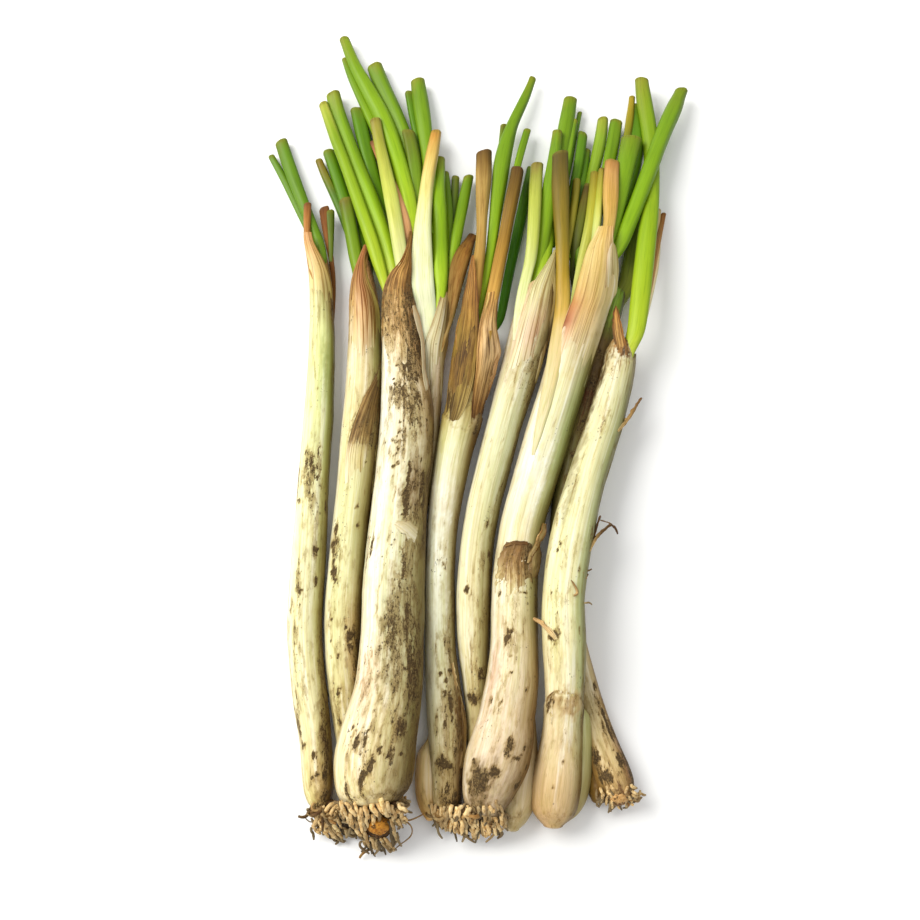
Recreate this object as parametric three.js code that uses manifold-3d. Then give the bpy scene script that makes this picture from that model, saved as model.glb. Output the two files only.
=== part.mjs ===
// A bunch of rakkyo: eight freshly pulled plants laid side by side, bulbs at one
// end and leaves, trimmed across, at the other. Millimetres, +Z up. The bunch lies
// on the plane z = 0 with its length along Y, leaf tips towards +Y.
import * as THREE from 'three';
import { mergeVertices } from 'three/addons/utils/BufferGeometryUtils.js';
import Module from 'manifold-3d';

// ---- driving dimensions ----
const STALK_SIDES = 12;      // faces around a stalk or bulb
const LOBE_SIDES = 10;       // faces around a daughter bulb
const LEAF_SIDES = 6;        // faces around a leaf
const LEAF_FLATNESS = 0.62;  // leaf thickness over its width
const ROOT_SIDES = 5;        // faces around one root
const GAP = 0.3;             // clearance between neighbouring pieces
const FLOOR = 0;             // the bunch lies on this plane, pressed a little flat

// Centre line of each stalk from the root end up: [x, y, z, half width, half height].
const STALKS = {
  rakkyo_3_stalk: { colour: '#f3efd2', line: [[-26.85,-118.98,12.26,4.66,3.99], [-27.8,-116.34,12.17,8.39,7.2], [-27.65,-111.53,12.59,9.92,8.52], [-27.36,-107.88,12.69,10.16,8.72], [-25.29,-96.58,11.68,9.22,7.91], [-24.03,-87.42,10.26,8.73,7.49], [-23.55,-54.3,7.32,8.1,6.95], [-22.1,-30.79,6.42,7.75,6.65], [-21.09,-18.75,6.59,7.95,6.82], [-21.1,-6.21,6.33,7.42,6.37], [-24.29,30.98,6.01,4.25,3.64], [-22.28,42.18,6.32,1.58,1.35]] },
  rakkyo_6_stalk: { colour: '#e8d4a8', line: [[-0.31,-120.56,9.99,2.76,2.42], [-0.16,-119.1,9.4,4.14,3.63], [0.49,-115,9.76,5.68,4.99], [2.31,-108.92,10.35,6.59,5.78], [6.1,-97.68,10.33,7.24,6.36], [8.71,-81.91,8.58,6.62,5.81], [9.25,-59.72,6.5,5.95,5.22], [10.59,-48.18,5.77,5.7,5], [11.82,-42.35,5.67,5.82,5.1], [26.84,6.17,7.17,6.6,5.79], [33.18,25.78,7.47,5.36,4.7], [36.08,37.06,8.57,5.01,4.4], [37.1,41.25,9.07,4.45,3.9]] },
  rakkyo_4_stalk: { colour: '#e2d2a0', line: [[-8.92,-120.83,4.22,1.8,1.65], [-8.94,-117.86,3.73,3.87,3.55], [-9.1,-110.89,3.48,4.04,3.71], [-9.41,-96.98,4.37,5.01,4.6], [-11.07,-75.62,3.45,4.01,3.68], [-10.89,-47.53,3.5,4.06,3.73], [-8.85,-29.97,4.04,4.65,4.27], [-4.12,-7.38,5.36,5.44,4.99], [-1.31,9.77,7.76,6.3,5.79], [-0.5,23.92,7.83,4.2,3.86]] },
  rakkyo_7_stalk: { colour: '#eadfb2', line: [[17.83,-123.54,5.4,1.78,1.63], [18.02,-120.4,5.73,4.96,4.56], [18.84,-114.8,6.36,6.31,5.79], [20.31,-104.97,7.71,5.6,5.14], [21.45,-92.68,11.04,4.87,4.47], [21.58,-82.69,13.14,5.42,4.97], [21.4,-72.29,13.78,5.67,5.21], [23.25,-55.71,12.64,5.74,5.27], [29.54,-31.74,9.2,5.26,4.83], [38,-6.92,7.99,5.03,4.62], [40.83,4.29,7.74,4.54,4.17], [42.12,11.64,7.94,3.24,2.97]] },
  rakkyo_1_stalk: { colour: '#efe8bc', line: [[-41.69,-118.63,4.33,2.17,2.06], [-42.05,-117.14,4.02,3.22,3.05], [-42.58,-112.15,3.59,4.02,3.82], [-45.54,-91.75,4.16,4.62,4.39], [-47.77,-75.75,4.15,4.61,4.38], [-47.65,-47.73,4.22,4.69,4.45], [-46.86,7.91,3.46,3.89,3.69], [-47.54,27.53,4.22,3.43,3.25], [-48.89,38.92,5.35,3.35,3.18], [-50.1,44.1,5.44,2.82,2.67]] },
  rakkyo_8_stalk: { colour: '#dcc890', line: [[35.96,-117.17,4.54,2.71,2.57], [35.37,-115.69,4.69,4.13,3.92], [34.54,-113.72,4.83,4.91,4.66], [33.79,-111.22,4.57,5.06,4.8], [29.39,-95.31,3.43,3.85,3.66], [25.19,-76.9,3,3.4,3.23], [23.2,-63.09,3,3.4,3.23], [22.68,-48.85,3.05,3.46,3.28], [24.13,-34.16,3.11,3.52,3.34], [27.37,-18.98,3.16,3.58,3.39], [36.7,12.89,3.35,3.46,3.28], [40.86,26.93,4.07,3.06,2.9], [42.27,31.58,4.3,2.46,2.33]] },
  rakkyo_2_stalk: { colour: '#e9dcae', line: [[-33.29,-111.62,3.13,0.92,0.86], [-33.81,-108.34,2.99,2.87,2.72], [-34.2,-104.53,2.99,3.4,3.22], [-36.32,-91.65,3.43,3.86,3.66], [-37.3,-81.15,4.12,4.58,4.35], [-37.66,-70.34,4.43,4.91,4.66], [-36.31,-41.97,4.42,4.91,4.65], [-34.63,-18.12,4.96,5.47,5.19], [-34,0.91,4.6,5.09,4.83], [-34.55,27.22,4.81,4.26,4.04], [-35.63,37.59,4.66,2.63,2.49], [-35.29,41.72,4.74,1.87,1.77]] },
  rakkyo_5_stalk: { colour: '#e9e0b4', line: [[-0.76,-109.13,3.46,1.18,1.09], [-0.86,-105.52,2.61,2.63,2.44], [-1.03,-101.92,2.41,2.84,2.64], [-1.38,-91.55,2.69,3.15,2.92], [-2.06,-75.69,3.8,4.35,4.03], [-2.02,-64.74,4.11,4.67,4.34], [-0.83,-47.68,4.03,4.59,4.26], [1.21,-35.99,4.15,4.72,4.38], [7.48,-11.72,4.47,5.06,4.7], [14.13,11.68,5.85,5.9,5.48], [16.22,21.22,6.6,5.74,5.33], [18.07,32.99,7.91,4.67,4.34]] },
  rakkyo_3_second_shoot: { colour: '#f4f0d8', line: [[-18.19,-41.07,1.44,2.12,1.67], [-17.39,-35.33,2.13,2.98,2.36], [-15,-17.14,2.42,3.34,2.65], [-14.24,-4.55,2.43,3.11,2.46], [-12.99,20.54,4.69,3.68,2.92], [-11.76,28.37,5.19,2.55,2.01]] },
};
// Daughter bulbs that have grown against a main bulb and are joined to it.
const DAUGHTER_BULBS = {
  rakkyo_4_stalk: [[-12.92,-121.04,3.41,1.8,1.62], [-13.86,-119.04,2.6,2.46,2.21], [-14.58,-112.07,2.49,3,2.7], [-14.15,-103.44,2.34,2.5,2.25], [-13.64,-100.39,2.65,1.85,1.66]],
  rakkyo_6_stalk: [[7.43,-123.76,4.63,2.04,1.84], [8.27,-119.86,4.51,4.36,3.92], [9.1,-116.17,4.58,4.77,4.29], [10.42,-106.72,4.86,4.3,3.87], [10.61,-91.09,7.04,2.5,2.25]],
  rakkyo_7_stalk: [[20.69,-121.07,4.24,2.05,1.85], [23.04,-116.4,4.2,4.13,3.71], [23.95,-112.19,4.35,4.4,3.96], [24.68,-101.76,6.03,4.04,3.64], [24.42,-91.29,8.5,3.01,2.71]],
  rakkyo_8_stalk: [[30.33,-116.86,3.45,2.07,1.86], [30.2,-114.85,3.07,2.98,2.68], [30.22,-111.85,2.92,3.25,2.93], [31.07,-104.75,2.72,2.37,2.13], [31.51,-102,3.33,1.71,1.54]],
};
// Leaves from the sheath to the cut tip: [x, y, z, half width]. Upper leaves come first.
const LEAVES = {
  rakkyo_3_leaf_10: { colour: '#f4e9b0', line: [[-16.39,4.81,5.58,1.24], [-16.41,7.22,5.85,1.35], [-16.26,7.44,10.73,1.48], [-16.38,15.57,10.15,2.53], [-16.49,20.71,10.55,3.16], [-16.62,23.86,9.67,3.34], [-16.74,26.52,9.72,3.41], [-17.17,35.97,7.37,3.36], [-17.22,38.51,7.71,3.29], [-17.21,40.39,9.17,3.17], [-17.02,50.47,10.57,2.56], [-16.31,62.95,8.3,2.1], [-14.55,77.88,6.93,2.05], [-13.41,88.02,5.33,1.59]] },
  rakkyo_6_leaf_9: { colour: '#b2d240', line: [[39.15,29.71,10.89,1.16], [39.68,31.71,11.67,1.25], [41.95,39.99,10.57,1.79], [45.88,51.03,9.6,2.22], [54.85,74.75,8.98,2.35], [63.05,95.82,5.38,2.54], [65.58,101.8,4.82,1.87], [66.77,104.92,4.62,0.95]] },
  rakkyo_6_leaf_5: { colour: '#d99a5c', line: [[37.85,31.93,12.58,0.83], [38.11,34.3,12.9,0.9], [39.57,46.07,11.33,1.29], [40.15,54.52,11.4,2.13], [40.23,56.95,12.04,2.33], [40.62,62.7,11.98,2.44], [41.97,73.77,8.9,1.17]] },
  rakkyo_3_leaf_7: { colour: '#dfe6a0', line: [[-22.1,28.57,9,1.54], [-22.4,30.94,9.36,1.68], [-23.45,39.02,9.07,2.1], [-24.9,48.36,11.29,2.25], [-25.77,53.58,11.4,2.28], [-27.9,65.39,9.57,2.21], [-30.37,77.98,6.82,1.9], [-31.51,83.63,6.45,1.82], [-32.88,91.5,6.82,1.82]] },
  rakkyo_4_leaf_1: { colour: '#a88a3c', line: [[-3.71,11.51,12.04,1.72], [-3.34,13.74,12.51,1.87], [-2.17,21.98,11.28,2.09], [0.62,44.43,8.88,1.6], [1.05,55.97,7.66,1.79], [1.67,70.33,6.75,2.63], [1.77,73.62,6.06,2.48], [1.92,80.15,5.17,0.95]] },
  rakkyo_6_leaf_1: { colour: '#8c8a34', line: [[22.41,2.7,10.25,2.36], [22.71,4.92,10.89,2.57], [23.51,10.32,10.29,2.88], [24.21,15.56,10.35,2.83], [24.54,20.18,11.73,2.54], [25.07,32.07,9.67,1.99], [25.09,36.67,11.09,1.93], [25.18,50.11,11.33,2.36], [25.44,67.56,9.95,2.69], [25.93,77.54,8.3,0.94]] },
  rakkyo_4_leaf_2: { colour: '#b07a34', line: [[1.43,5.42,11.17,1.56], [1.55,7.57,12.01,1.7], [2.49,19,10.25,1.92], [8.39,49.88,7.85,1.89], [9.29,54.95,8.47,1.96], [9.72,56.91,9.67,2.02], [10.25,59.6,9.72,2.06], [11.49,66.06,8.37,1.98], [12.52,72.76,7.17,1.25]] },
  rakkyo_6_leaf_4: { colour: '#efe29a', line: [[33.57,33.39,11.23,0.95], [33.82,35.52,12.01,1.03], [34.7,41.41,10.97,1.18], [36.29,52.98,10.6,1.28], [38.84,72.76,7.17,0.86]] },
  rakkyo_6_leaf_3: { colour: '#efe29a', line: [[26.87,21.5,10.09,0.68], [27.53,23.83,10.29,0.75], [31.18,37.32,8.94,1.43], [32.87,44.67,9.88,1.42], [33.93,50.09,9.73,1.35], [36.81,71.33,6.57,1.17]] },
  rakkyo_3_leaf_11: { colour: '#a4cc34', line: [[-11.65,20.03,6.71,0.83], [-11.27,27.55,7.05,1.21], [-11.19,32.47,7.85,1.7], [-11.53,41.33,6.44,1.93], [-11.71,46.88,6.2,1.97], [-11.77,51.42,7.6,1.92], [-11.83,59.27,8.02,1.71], [-11.88,65.57,6.74,1.4], [-11.92,72.92,4.13,1.04], [-11.96,79.46,2.96,0.64]] },
  rakkyo_7_leaf_1: { colour: '#a4cc34', line: [[44.29,-1.48,11.68,0.92], [45.58,11.56,11.11,2.02], [47.4,22.21,10.5,2.39], [52.23,52.04,8.5,2.38], [54.52,69.21,6.58,2.03], [55.11,83.38,5.68,2.06], [54.02,100,5.29,2.07], [53.81,108.7,4.86,1.55]] },
  rakkyo_5_leaf_2: { colour: '#b2d240', line: [[14.89,21.36,10.72,0.76], [15.32,23.59,11.2,0.82], [16.34,29.29,9.98,1.19], [17.76,37.68,8.99,2.37], [18.48,42.69,9.43,2.71], [18.76,44.67,10.52,2.74], [19.6,49.84,10.6,2.71], [22.82,67.5,7.58,2.39], [25.47,87.44,6.1,1.43]] },
  rakkyo_3_leaf_1: { colour: '#a4cc34', line: [[-27.76,21.95,7.5,0.95], [-28.64,32.19,7.46,1.51], [-30.57,39.35,8.17,1.99], [-32.78,46.82,8.23,2.08], [-50.39,100.32,3.45,1.55]] },
  rakkyo_6_leaf_8: { colour: '#b2d240', line: [[37.61,36.29,9.42,1.17], [38.17,38.5,9.9,1.27], [42.27,54.84,8.98,1.81], [42.9,57.48,9.09,1.89], [43.36,59.55,10.09,1.98], [43.97,62.28,10.08,2.1], [46.02,71.56,8.59,2.41], [48.87,83.65,7.63,2.8]] },
  rakkyo_5_leaf_1: { colour: '#dfe6a0', line: [[12.41,16.92,10.97,1.33], [13.54,23.57,12.25,1.62], [14.8,31.69,11.4,1.63], [15.49,36.89,11.38,1.64], [16.23,43.88,12.75,1.66], [16.66,49.16,12.68,1.72], [17.61,61.86,9.42,1.8], [18.87,75.87,4.84,1.58]] },
  rakkyo_3_leaf_13: { colour: '#8a5c26', line: [[-11.2,8.94,4.03,0.7], [-10.72,11.07,4.84,0.76], [-9.81,16.46,4.27,0.96], [-8.84,21.58,4.47,1.33], [-7.89,25.92,6.19,1.72], [-7.51,28.46,6.38,1.93], [-7.17,30.41,7.66,2.15], [-5.8,38.18,7.89,2.72], [-4.02,44.05,6.54,2.19], [-1.58,51.63,2.14,0.87]] },
  rakkyo_3_leaf_2: { colour: '#a4cc34', line: [[-24.6,30.09,6.61,1.28], [-28.61,45.05,6.39,2.17], [-31.71,55.24,5.94,2.35], [-41.75,84.04,3.31,2.21], [-45.76,97.03,2.77,2.02], [-47.46,104.81,2.77,1.69]] },
  rakkyo_3_leaf_4: { colour: '#a4cc34', line: [[-19.48,42.25,6.61,1.46], [-19.71,44.82,6.59,1.59], [-20.34,51.39,8.73,1.89], [-21.01,56.85,8.74,2.03], [-25.39,77.8,5.68,2.16], [-28.81,89.06,4.84,2.38], [-39.41,112.78,3.94,1.74], [-44.49,127.08,2.82,1.34]] },
  rakkyo_6_leaf_2: { colour: '#5a6a1e', line: [[26.76,27.5,6.66,0.54], [28.47,37.77,6.71,0.98], [30.04,46.84,9.34,1.82], [31.15,52.46,8.8,1.83], [34.41,67.49,6.25,0.92]] },
  rakkyo_4_leaf_3: { colour: '#7aa822', line: [[0.22,23.23,8.52,1.05], [3.53,41.68,7.47,1.46], [5.52,58.06,6.68,1.98], [6.8,69.5,5.63,2.53], [8.4,80.42,5.38,2.56], [11.26,91.44,4.71,1.81], [16.61,104.82,3.84,1.44], [18.39,110.55,3.58,0.71]] },
  rakkyo_2_leaf_3: { colour: '#8f9a34', line: [[-36.05,27.21,7.08,1.08], [-37.18,38.46,5.53,1.52], [-41.49,62.82,5.03,1.63]] },
  rakkyo_3_leaf_9: { colour: '#8f9a34', line: [[-19.07,44.77,6.45,1.1], [-18.68,57.12,7.36,1.41], [-18.87,63.07,6.49,1.59], [-19.48,71.39,6.14,1.9], [-22.3,87.88,5.52,1.96]] },
  rakkyo_1_leaf_2: { colour: '#7aa822', line: [[-44.07,30.86,4.05,0.81], [-44.76,33.05,4.54,0.89], [-49.55,48.34,3.84,1.59], [-63.6,86.83,1.74,1.87]] },
  rakkyo_1_leaf_3: { colour: '#c48a4a', line: [[-49.88,29.22,7.79,0.6], [-50.2,31.59,8.02,0.65], [-52.74,48.23,5.51,0.83], [-53.37,61.59,4.68,1.02]] },
  rakkyo_1_leaf_4: { colour: '#8a5a22', line: [[-43.63,5.45,0.66,0.54], [-43.87,35.77,0.82,1.08], [-46.86,53.03,1.17,1.64], [-47.66,60.37,1.48,2.21]] },
  rakkyo_6_leaf_7: { colour: '#7aa822', line: [[34.59,47.75,7.69,1.19], [40.86,72.56,5.36,1.56], [44.99,93.33,3.39,1.61]] },
  rakkyo_6_leaf_10: { colour: '#5c9218', line: [[39.95,42.32,8.07,0.94], [45.92,63.04,6.39,1.81], [49.42,76.72,5.09,1.96], [51.05,88.22,3.81,2.03], [51.7,99.82,3.08,0.98]] },
  rakkyo_6_leaf_6: { colour: '#8f9a34', line: [[30.3,47.75,7.69,1.19], [35.12,67.09,4.66,1.53], [38.26,80.23,4.5,1.72], [39.95,88.73,3.78,1.68], [40.67,94.51,3.37,1.29]] },
  rakkyo_5_leaf_3: { colour: '#7aa822', line: [[21.24,47.26,8.26,1.57], [21.62,49.7,8.26,1.7], [23.46,61.43,5.64,2.01], [25.17,72.53,4.61,2.1], [28.47,91.15,4.14,2.14], [30.37,102.2,3.56,1.77]] },
  rakkyo_3_leaf_8: { colour: '#7aa822', line: [[-14.26,51.91,6.32,1.11], [-14.36,54.45,6.22,1.2], [-14.55,58.99,6.98,1.36], [-15.71,76.18,4.97,1.51], [-17.49,92.52,4.43,1.89], [-19.73,110.02,2.74,1.63]] },
  rakkyo_5_leaf_4: { colour: '#5c9218', line: [[24.76,41.69,5.98,1.2], [30.62,69.09,4.16,1.54], [32.25,77.21,4.13,1.57], [33.99,88.9,3.11,1.6]] },
  rakkyo_3_leaf_12: { colour: '#7aa822', line: [[-9.2,32.22,6.16,0.96], [-6.62,50.42,5.48,1.73], [-4.79,61.78,3.75,1.76], [-2.93,72.85,2.73,1.48]] },
  rakkyo_3_leaf_5: { colour: '#5c9218', line: [[-26.49,66.6,6.34,1.21], [-29.87,80.56,4.44,1.49], [-41.24,110.28,2.93,1.23], [-44.08,119.2,2.42,0.89]] },
  rakkyo_3_leaf_6: { colour: '#7aa822', line: [[-19.01,53.86,6.04,1.11], [-19.81,70.88,3.89,1.58], [-21.81,81.97,3.29,1.73], [-26.98,97.32,3.51,1.75], [-33.92,116.21,2.58,1.73]] },
  rakkyo_3_leaf_3: { colour: '#5c9218', line: [[-23.95,38.86,5.25,1.28], [-30.68,62.2,3.45,1.81], [-34.64,77.56,3.22,1.86], [-39.37,98.92,2.21,1.92]] },
  rakkyo_2_leaf_2: { colour: '#5c9218', line: [[-28.51,22.6,1.41,0.71], [-29.11,25.26,1.1,0.78], [-32.34,37.74,1.61,1.62], [-33.98,42.33,2.38,1.67], [-34.79,44.28,3.28,1.62], [-35.7,46.74,3.33,1.6], [-43.04,67.05,2.71,1.69], [-48.23,83.35,1.24,1.75]] },
  rakkyo_8_leaf_1: { colour: '#7d8a2c', line: [[39.71,9.08,3.71,1.63], [44.47,29.37,3.04,2.08], [52.09,66.56,1.59,1.17]] },
  rakkyo_4_leaf_4: { colour: '#3f6d12', line: [[4.72,7.8,2.77,0.77], [8.59,34.11,2.24,1.49], [14.49,63.41,1.48,1.77], [17.22,76.93,1.18,1.41]] },
  rakkyo_2_leaf_1: { colour: '#8f9a34', line: [[-35.21,35.08,3.91,0.94], [-35.94,37.49,4.02,1.02], [-38.39,46,2.46,1.25], [-42.73,59.69,1.31,1.46], [-51.18,79.99,1.69,1.09]] },
  rakkyo_1_leaf_1: { colour: '#7aa822', line: [[-47.33,35.71,2.6,0.95], [-51.76,50.92,1.89,1.25], [-66.8,81.91,1.12,0.95]] },
};
// Root tufts: the root plate centre and radius, then each root as [x, y, z, radius].
const ROOTS = {
  rakkyo_1_roots: { plate: [-41.49, -119.23, 4.68, 2.20], roots: [
    [[-42.27,-118.71,4.23,0.62], [-44.58,-120.74,3.7,0.55], [-46.79,-122.74,2.83,0.48], [-49.08,-124.45,1.6,0.4]],
    [[-41.88,-118.57,4.85,0.62], [-43.25,-120.63,4.54,0.55], [-44.97,-122.32,3.93,0.48], [-46.98,-123.49,3.05,0.4]],
    [[-41.49,-118.59,4.93,0.62], [-42.32,-120.51,3.72,0.55], [-43.74,-121.96,2.41,0.48], [-45.5,-122.98,1.12,0.4]],
    [[-41.3,-118.46,3.87,0.62], [-41.01,-121.14,3.17,0.55], [-41.13,-123.73,2.15,0.48], [-41.57,-126.17,0.89,0.4]],
    [[-41.06,-118.53,4.62,0.62], [-39.92,-120.57,4.57,0.55], [-38.73,-122.53,4.11,0.48], [-37.7,-124.49,3.39,0.4]],
    [[-40.61,-118.6,4.28,0.62], [-38.9,-120.79,4.2,0.55], [-36.49,-122.1,3.8,0.48], [-33.99,-123.18,3.25,0.4]],
  ] },
  rakkyo_2_roots: { plate: [-33.29, -112.12, 3.48, 1.30], roots: [
    [[-33.55,-111.48,3.8,0.62], [-34.54,-112.82,3.68,0.55], [-34.79,-114.42,3.23,0.48], [-34.31,-115.87,2.53,0.4]],
    [[-33.28,-111.42,4.13,0.62], [-33.82,-112.9,3.5,0.55], [-33.77,-114.41,2.73,0.48], [-33.24,-115.77,1.87,0.4]],
    [[-33.16,-111.36,3.96,0.62], [-32.87,-113.29,3.43,0.55], [-32.8,-115.14,2.61,0.48], [-32.92,-116.87,1.55,0.4]],
    [[-32.99,-111.46,3.53,0.62], [-31.89,-113.16,3.21,0.55], [-31.46,-115.02,2.46,0.48], [-31.73,-116.8,1.46,0.4]],
  ] },
  rakkyo_3_roots: { plate: [-27.05, -121.48, 10.21, 3.60], roots: [
    [[-28.73,-121.09,11.51,0.62], [-31.12,-122.48,10.93,0.55], [-33.48,-123.61,9.86,0.48], [-35.51,-125.05,8.51,0.4]],
    [[-28.12,-121.09,10.72,0.62], [-30.17,-122.41,9.6,0.55], [-30.35,-124.33,7.75,0.48], [-29.08,-125.93,6.02,0.4]],
    [[-27.72,-120.83,11.1,0.62], [-29.11,-123.48,9.76,0.55], [-31.06,-125.62,8.22,0.48], [-33.39,-127.26,6.58,0.4]],
    [[-27.18,-120.72,10.41,0.62], [-27.74,-122.78,10.12,0.55], [-28.6,-124.66,9.51,0.48], [-29.51,-126.49,8.79,0.4]],
    [[-26.62,-120.7,11.16,0.62], [-26.92,-123.22,10.73,0.55], [-27.9,-125.42,9.83,0.48], [-29.32,-127.24,8.68,0.4]],
    [[-26.48,-120.89,10.34,0.62], [-24.93,-122.96,9.28,0.55], [-24.12,-124.89,7.43,0.48], [-24.15,-126.77,5.37,0.4]],
    [[-25.77,-120.98,10.51,0.62], [-24.4,-122.67,8.94,0.55], [-22.7,-123.98,7.34,0.48], [-20.85,-125.15,5.8,0.4]],
    [[-25.31,-121.12,9.06,0.62], [-23.25,-122.32,7.93,0.55], [-21.58,-122.99,6,0.48], [-20.63,-123.87,3.7,0.4]],
  ] },
  rakkyo_4_roots: { plate: [-8.92, -121.03, 4.57, 1.90], roots: [
    [[-9.75,-120.43,4.63,0.62], [-10.5,-121.87,3.62,0.55], [-11.86,-122.79,2.61,0.48], [-13.45,-123.4,1.72,0.4]],
    [[-9.29,-120.31,4.23,0.62], [-9.79,-122.11,3.5,0.55], [-10.96,-123.39,2.5,0.48], [-12.36,-124.43,1.52,0.4]],
    [[-8.88,-120.28,4.68,0.62], [-8.95,-121.64,4.16,0.55], [-9.09,-122.89,3.44,0.48], [-9.3,-123.91,2.43,0.4]],
    [[-8.53,-120.37,5.53,0.62], [-8.19,-121.64,4.73,0.55], [-7.93,-122.75,3.7,0.48], [-7.74,-123.64,2.44,0.4]],
    [[-8.23,-120.37,4.95,0.62], [-7.35,-121.65,5.17,0.55], [-6.23,-122.74,5.1,0.48], [-4.85,-123.38,4.75,0.4]],
  ] },
  rakkyo_5_roots: { plate: [-0.76, -109.63, 3.81, 1.30], roots: [
    [[-0.95,-109.04,3.84,0.62], [-1.95,-110.13,3.78,0.55], [-2.51,-111.46,3.48,0.48], [-2.64,-112.87,3.04,0.4]],
    [[-0.84,-108.87,3.41,0.62], [-1.16,-110.34,3.05,0.55], [-1.49,-111.74,2.52,0.48], [-1.8,-113.12,1.9,0.4]],
    [[-0.68,-108.94,3.78,0.62], [-0.35,-110.36,3.04,0.55], [-0.47,-111.67,2.06,0.48], [-0.92,-112.86,1.05,0.4]],
    [[-0.52,-109.15,4.19,0.62], [0.75,-110.42,3.11,0.55], [1.78,-111.83,1.92,0.48], [2.66,-113.17,0.75,0.4]],
  ] },
  rakkyo_6_roots: { plate: [-1.11, -121.16, 8.94, 3.00], roots: [
    [[-2.5,-120.7,9.22,0.62], [-4.51,-122.32,8.16,0.55], [-6.88,-123.46,7.22,0.48], [-9.31,-124.57,6.4,0.4]],
    [[-2.16,-120.49,8.34,0.62], [-3.28,-122.6,7.54,0.55], [-3.51,-124.74,6.24,0.48], [-2.93,-126.63,4.68,0.4]],
    [[-1.72,-120.41,8.16,0.62], [-2.34,-122.46,7.72,0.55], [-2.59,-124.5,6.98,0.48], [-2.47,-126.31,5.76,0.4]],
    [[-1.3,-120.51,10.71,0.62], [-1.52,-122.13,9.56,0.55], [-2,-123.45,8.14,0.48], [-2.68,-124.5,6.58,0.4]],
    [[-0.92,-120.41,8.94,0.62], [-0.67,-122.39,8.29,0.55], [-0.53,-124.15,7.16,0.48], [-0.51,-125.7,5.74,0.4]],
    [[-0.5,-120.47,10.68,0.62], [0.28,-122.78,9.58,0.55], [1.72,-124.53,8.15,0.48], [3.54,-125.73,6.61,0.4]],
    [[-0.14,-120.56,10.59,0.62], [1.33,-122.61,9.59,0.55], [2.98,-124.36,8.33,0.48], [4.67,-125.95,6.94,0.4]],
    [[0.23,-120.73,8.18,0.62], [2.18,-122.08,7.42,0.55], [4.08,-123.11,6.21,0.48], [5.76,-124.18,4.71,0.4]],
  ] },
  rakkyo_8_roots: { plate: [36.06, -116.97, 4.89, 2.40], roots: [
    [[34.98,-116.49,4.71,0.62], [34.25,-117.24,4.02,0.55], [33.89,-118.08,3.17,0.48], [33.87,-118.79,2.13,0.4]],
    [[35.47,-116.32,4.33,0.62], [34.58,-117.63,4.01,0.55], [33.7,-118.72,3.21,0.48], [33.09,-119.8,2.17,0.4]],
    [[35.7,-116.29,6.21,0.62], [35.43,-117.43,5.53,0.55], [34.83,-118.3,4.68,0.48], [33.98,-118.77,3.74,0.4]],
    [[35.87,-116.22,4.14,0.62], [36.17,-117.43,3.77,0.55], [36.53,-118.48,3.08,0.48], [36.9,-119.33,2.16,0.4]],
    [[36.41,-116.19,5.18,0.62], [36.68,-117.47,4.95,0.55], [37.02,-118.68,4.53,0.48], [37.45,-119.78,3.93,0.4]],
    [[36.65,-116.32,4.75,0.62], [37.34,-117.35,5.03,0.55], [37.36,-118.62,5.11,0.48], [36.89,-119.8,5,0.4]],
    [[37.01,-116.47,4.84,0.62], [38.09,-117.38,4.44,0.55], [38.97,-118.26,3.67,0.48], [39.64,-118.72,2.46,0.4]],
  ] },
};
// Loose dry skin on the outside of a stalk: [x, y, z, half width, half thickness].
const DRY_SKINS = {
  rakkyo_4_dry_flap: { colour: '#8a6026', line: [[1.25,-9.49,5.50,0.93,0.34], [2.73,-4.11,6.20,1.75,0.36], [4.23,1.95,6.90,1.87,0.36], [5.44,6.78,7.60,1.00,0.34]] },
  rakkyo_6_torn_skin: { colour: '#c9a06a', line: [[12.20,-43.62,10.20,0.83,0.36], [14.66,-48.59,8.60,1.71,0.36], [15.16,-53.44,7.60,1.87,0.36], [13.99,-58.87,6.80,0.82,0.34]] },
  rakkyo_7_dry_curl: { colour: '#a98550', line: [[39.37,-17.17,8.40,0.74,0.36], [42.08,-13.87,8.60,1.26,0.38], [44.52,-10.55,8.80,1.21,0.38], [46.34,-7.06,9.40,0.63,0.34]] },
  rakkyo_7_skin_flap: { colour: '#d8c090', line: [[20.27,-79.42,15.60,0.78,0.36], [17.52,-75.98,15.40,1.31,0.36], [15.52,-73.53,15.00,1.26,0.36], [13.78,-71.50,14.20,0.63,0.34]] },
};

const wasm = await Module();
wasm.setup();

// A round bar of the given number of sides whose rings follow a centre line.
// Each row is [x, y, z, half width, half height]; grow adds clearance all round.
function loft(rows, sides, grow = 0) {
  const n = rows.length;
  const g = new THREE.CylinderGeometry(1, 1, 1, sides, n - 1, false, Math.PI / sides);
  const pts = rows.map((r) => new THREE.Vector3(r[0], r[1], r[2]));
  const frames = pts.map((p, i) => {
    const t = pts[Math.min(i + 1, n - 1)].clone().sub(pts[Math.max(i - 1, 0)]).normalize();
    const s = new THREE.Vector3().crossVectors(t, new THREE.Vector3(0, 0, 1)).normalize();
    return { t, s, u: new THREE.Vector3().crossVectors(s, t) };
  });
  const pos = g.attributes.position;
  for (let v = 0; v < pos.count; v++) {
    const i = Math.round((0.5 - pos.getY(v)) * (n - 1));
    const f = frames[i];
    const end = i === 0 ? -grow : i === n - 1 ? grow : 0;
    const p = pts[i].clone()
      .addScaledVector(f.s, -pos.getX(v) * (rows[i][3] + grow))
      .addScaledVector(f.u, pos.getZ(v) * (rows[i][4] + grow))
      .addScaledVector(f.t, end);
    pos.setXYZ(v, p.x, p.y, p.z);
  }
  return solid(g);
}

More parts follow.
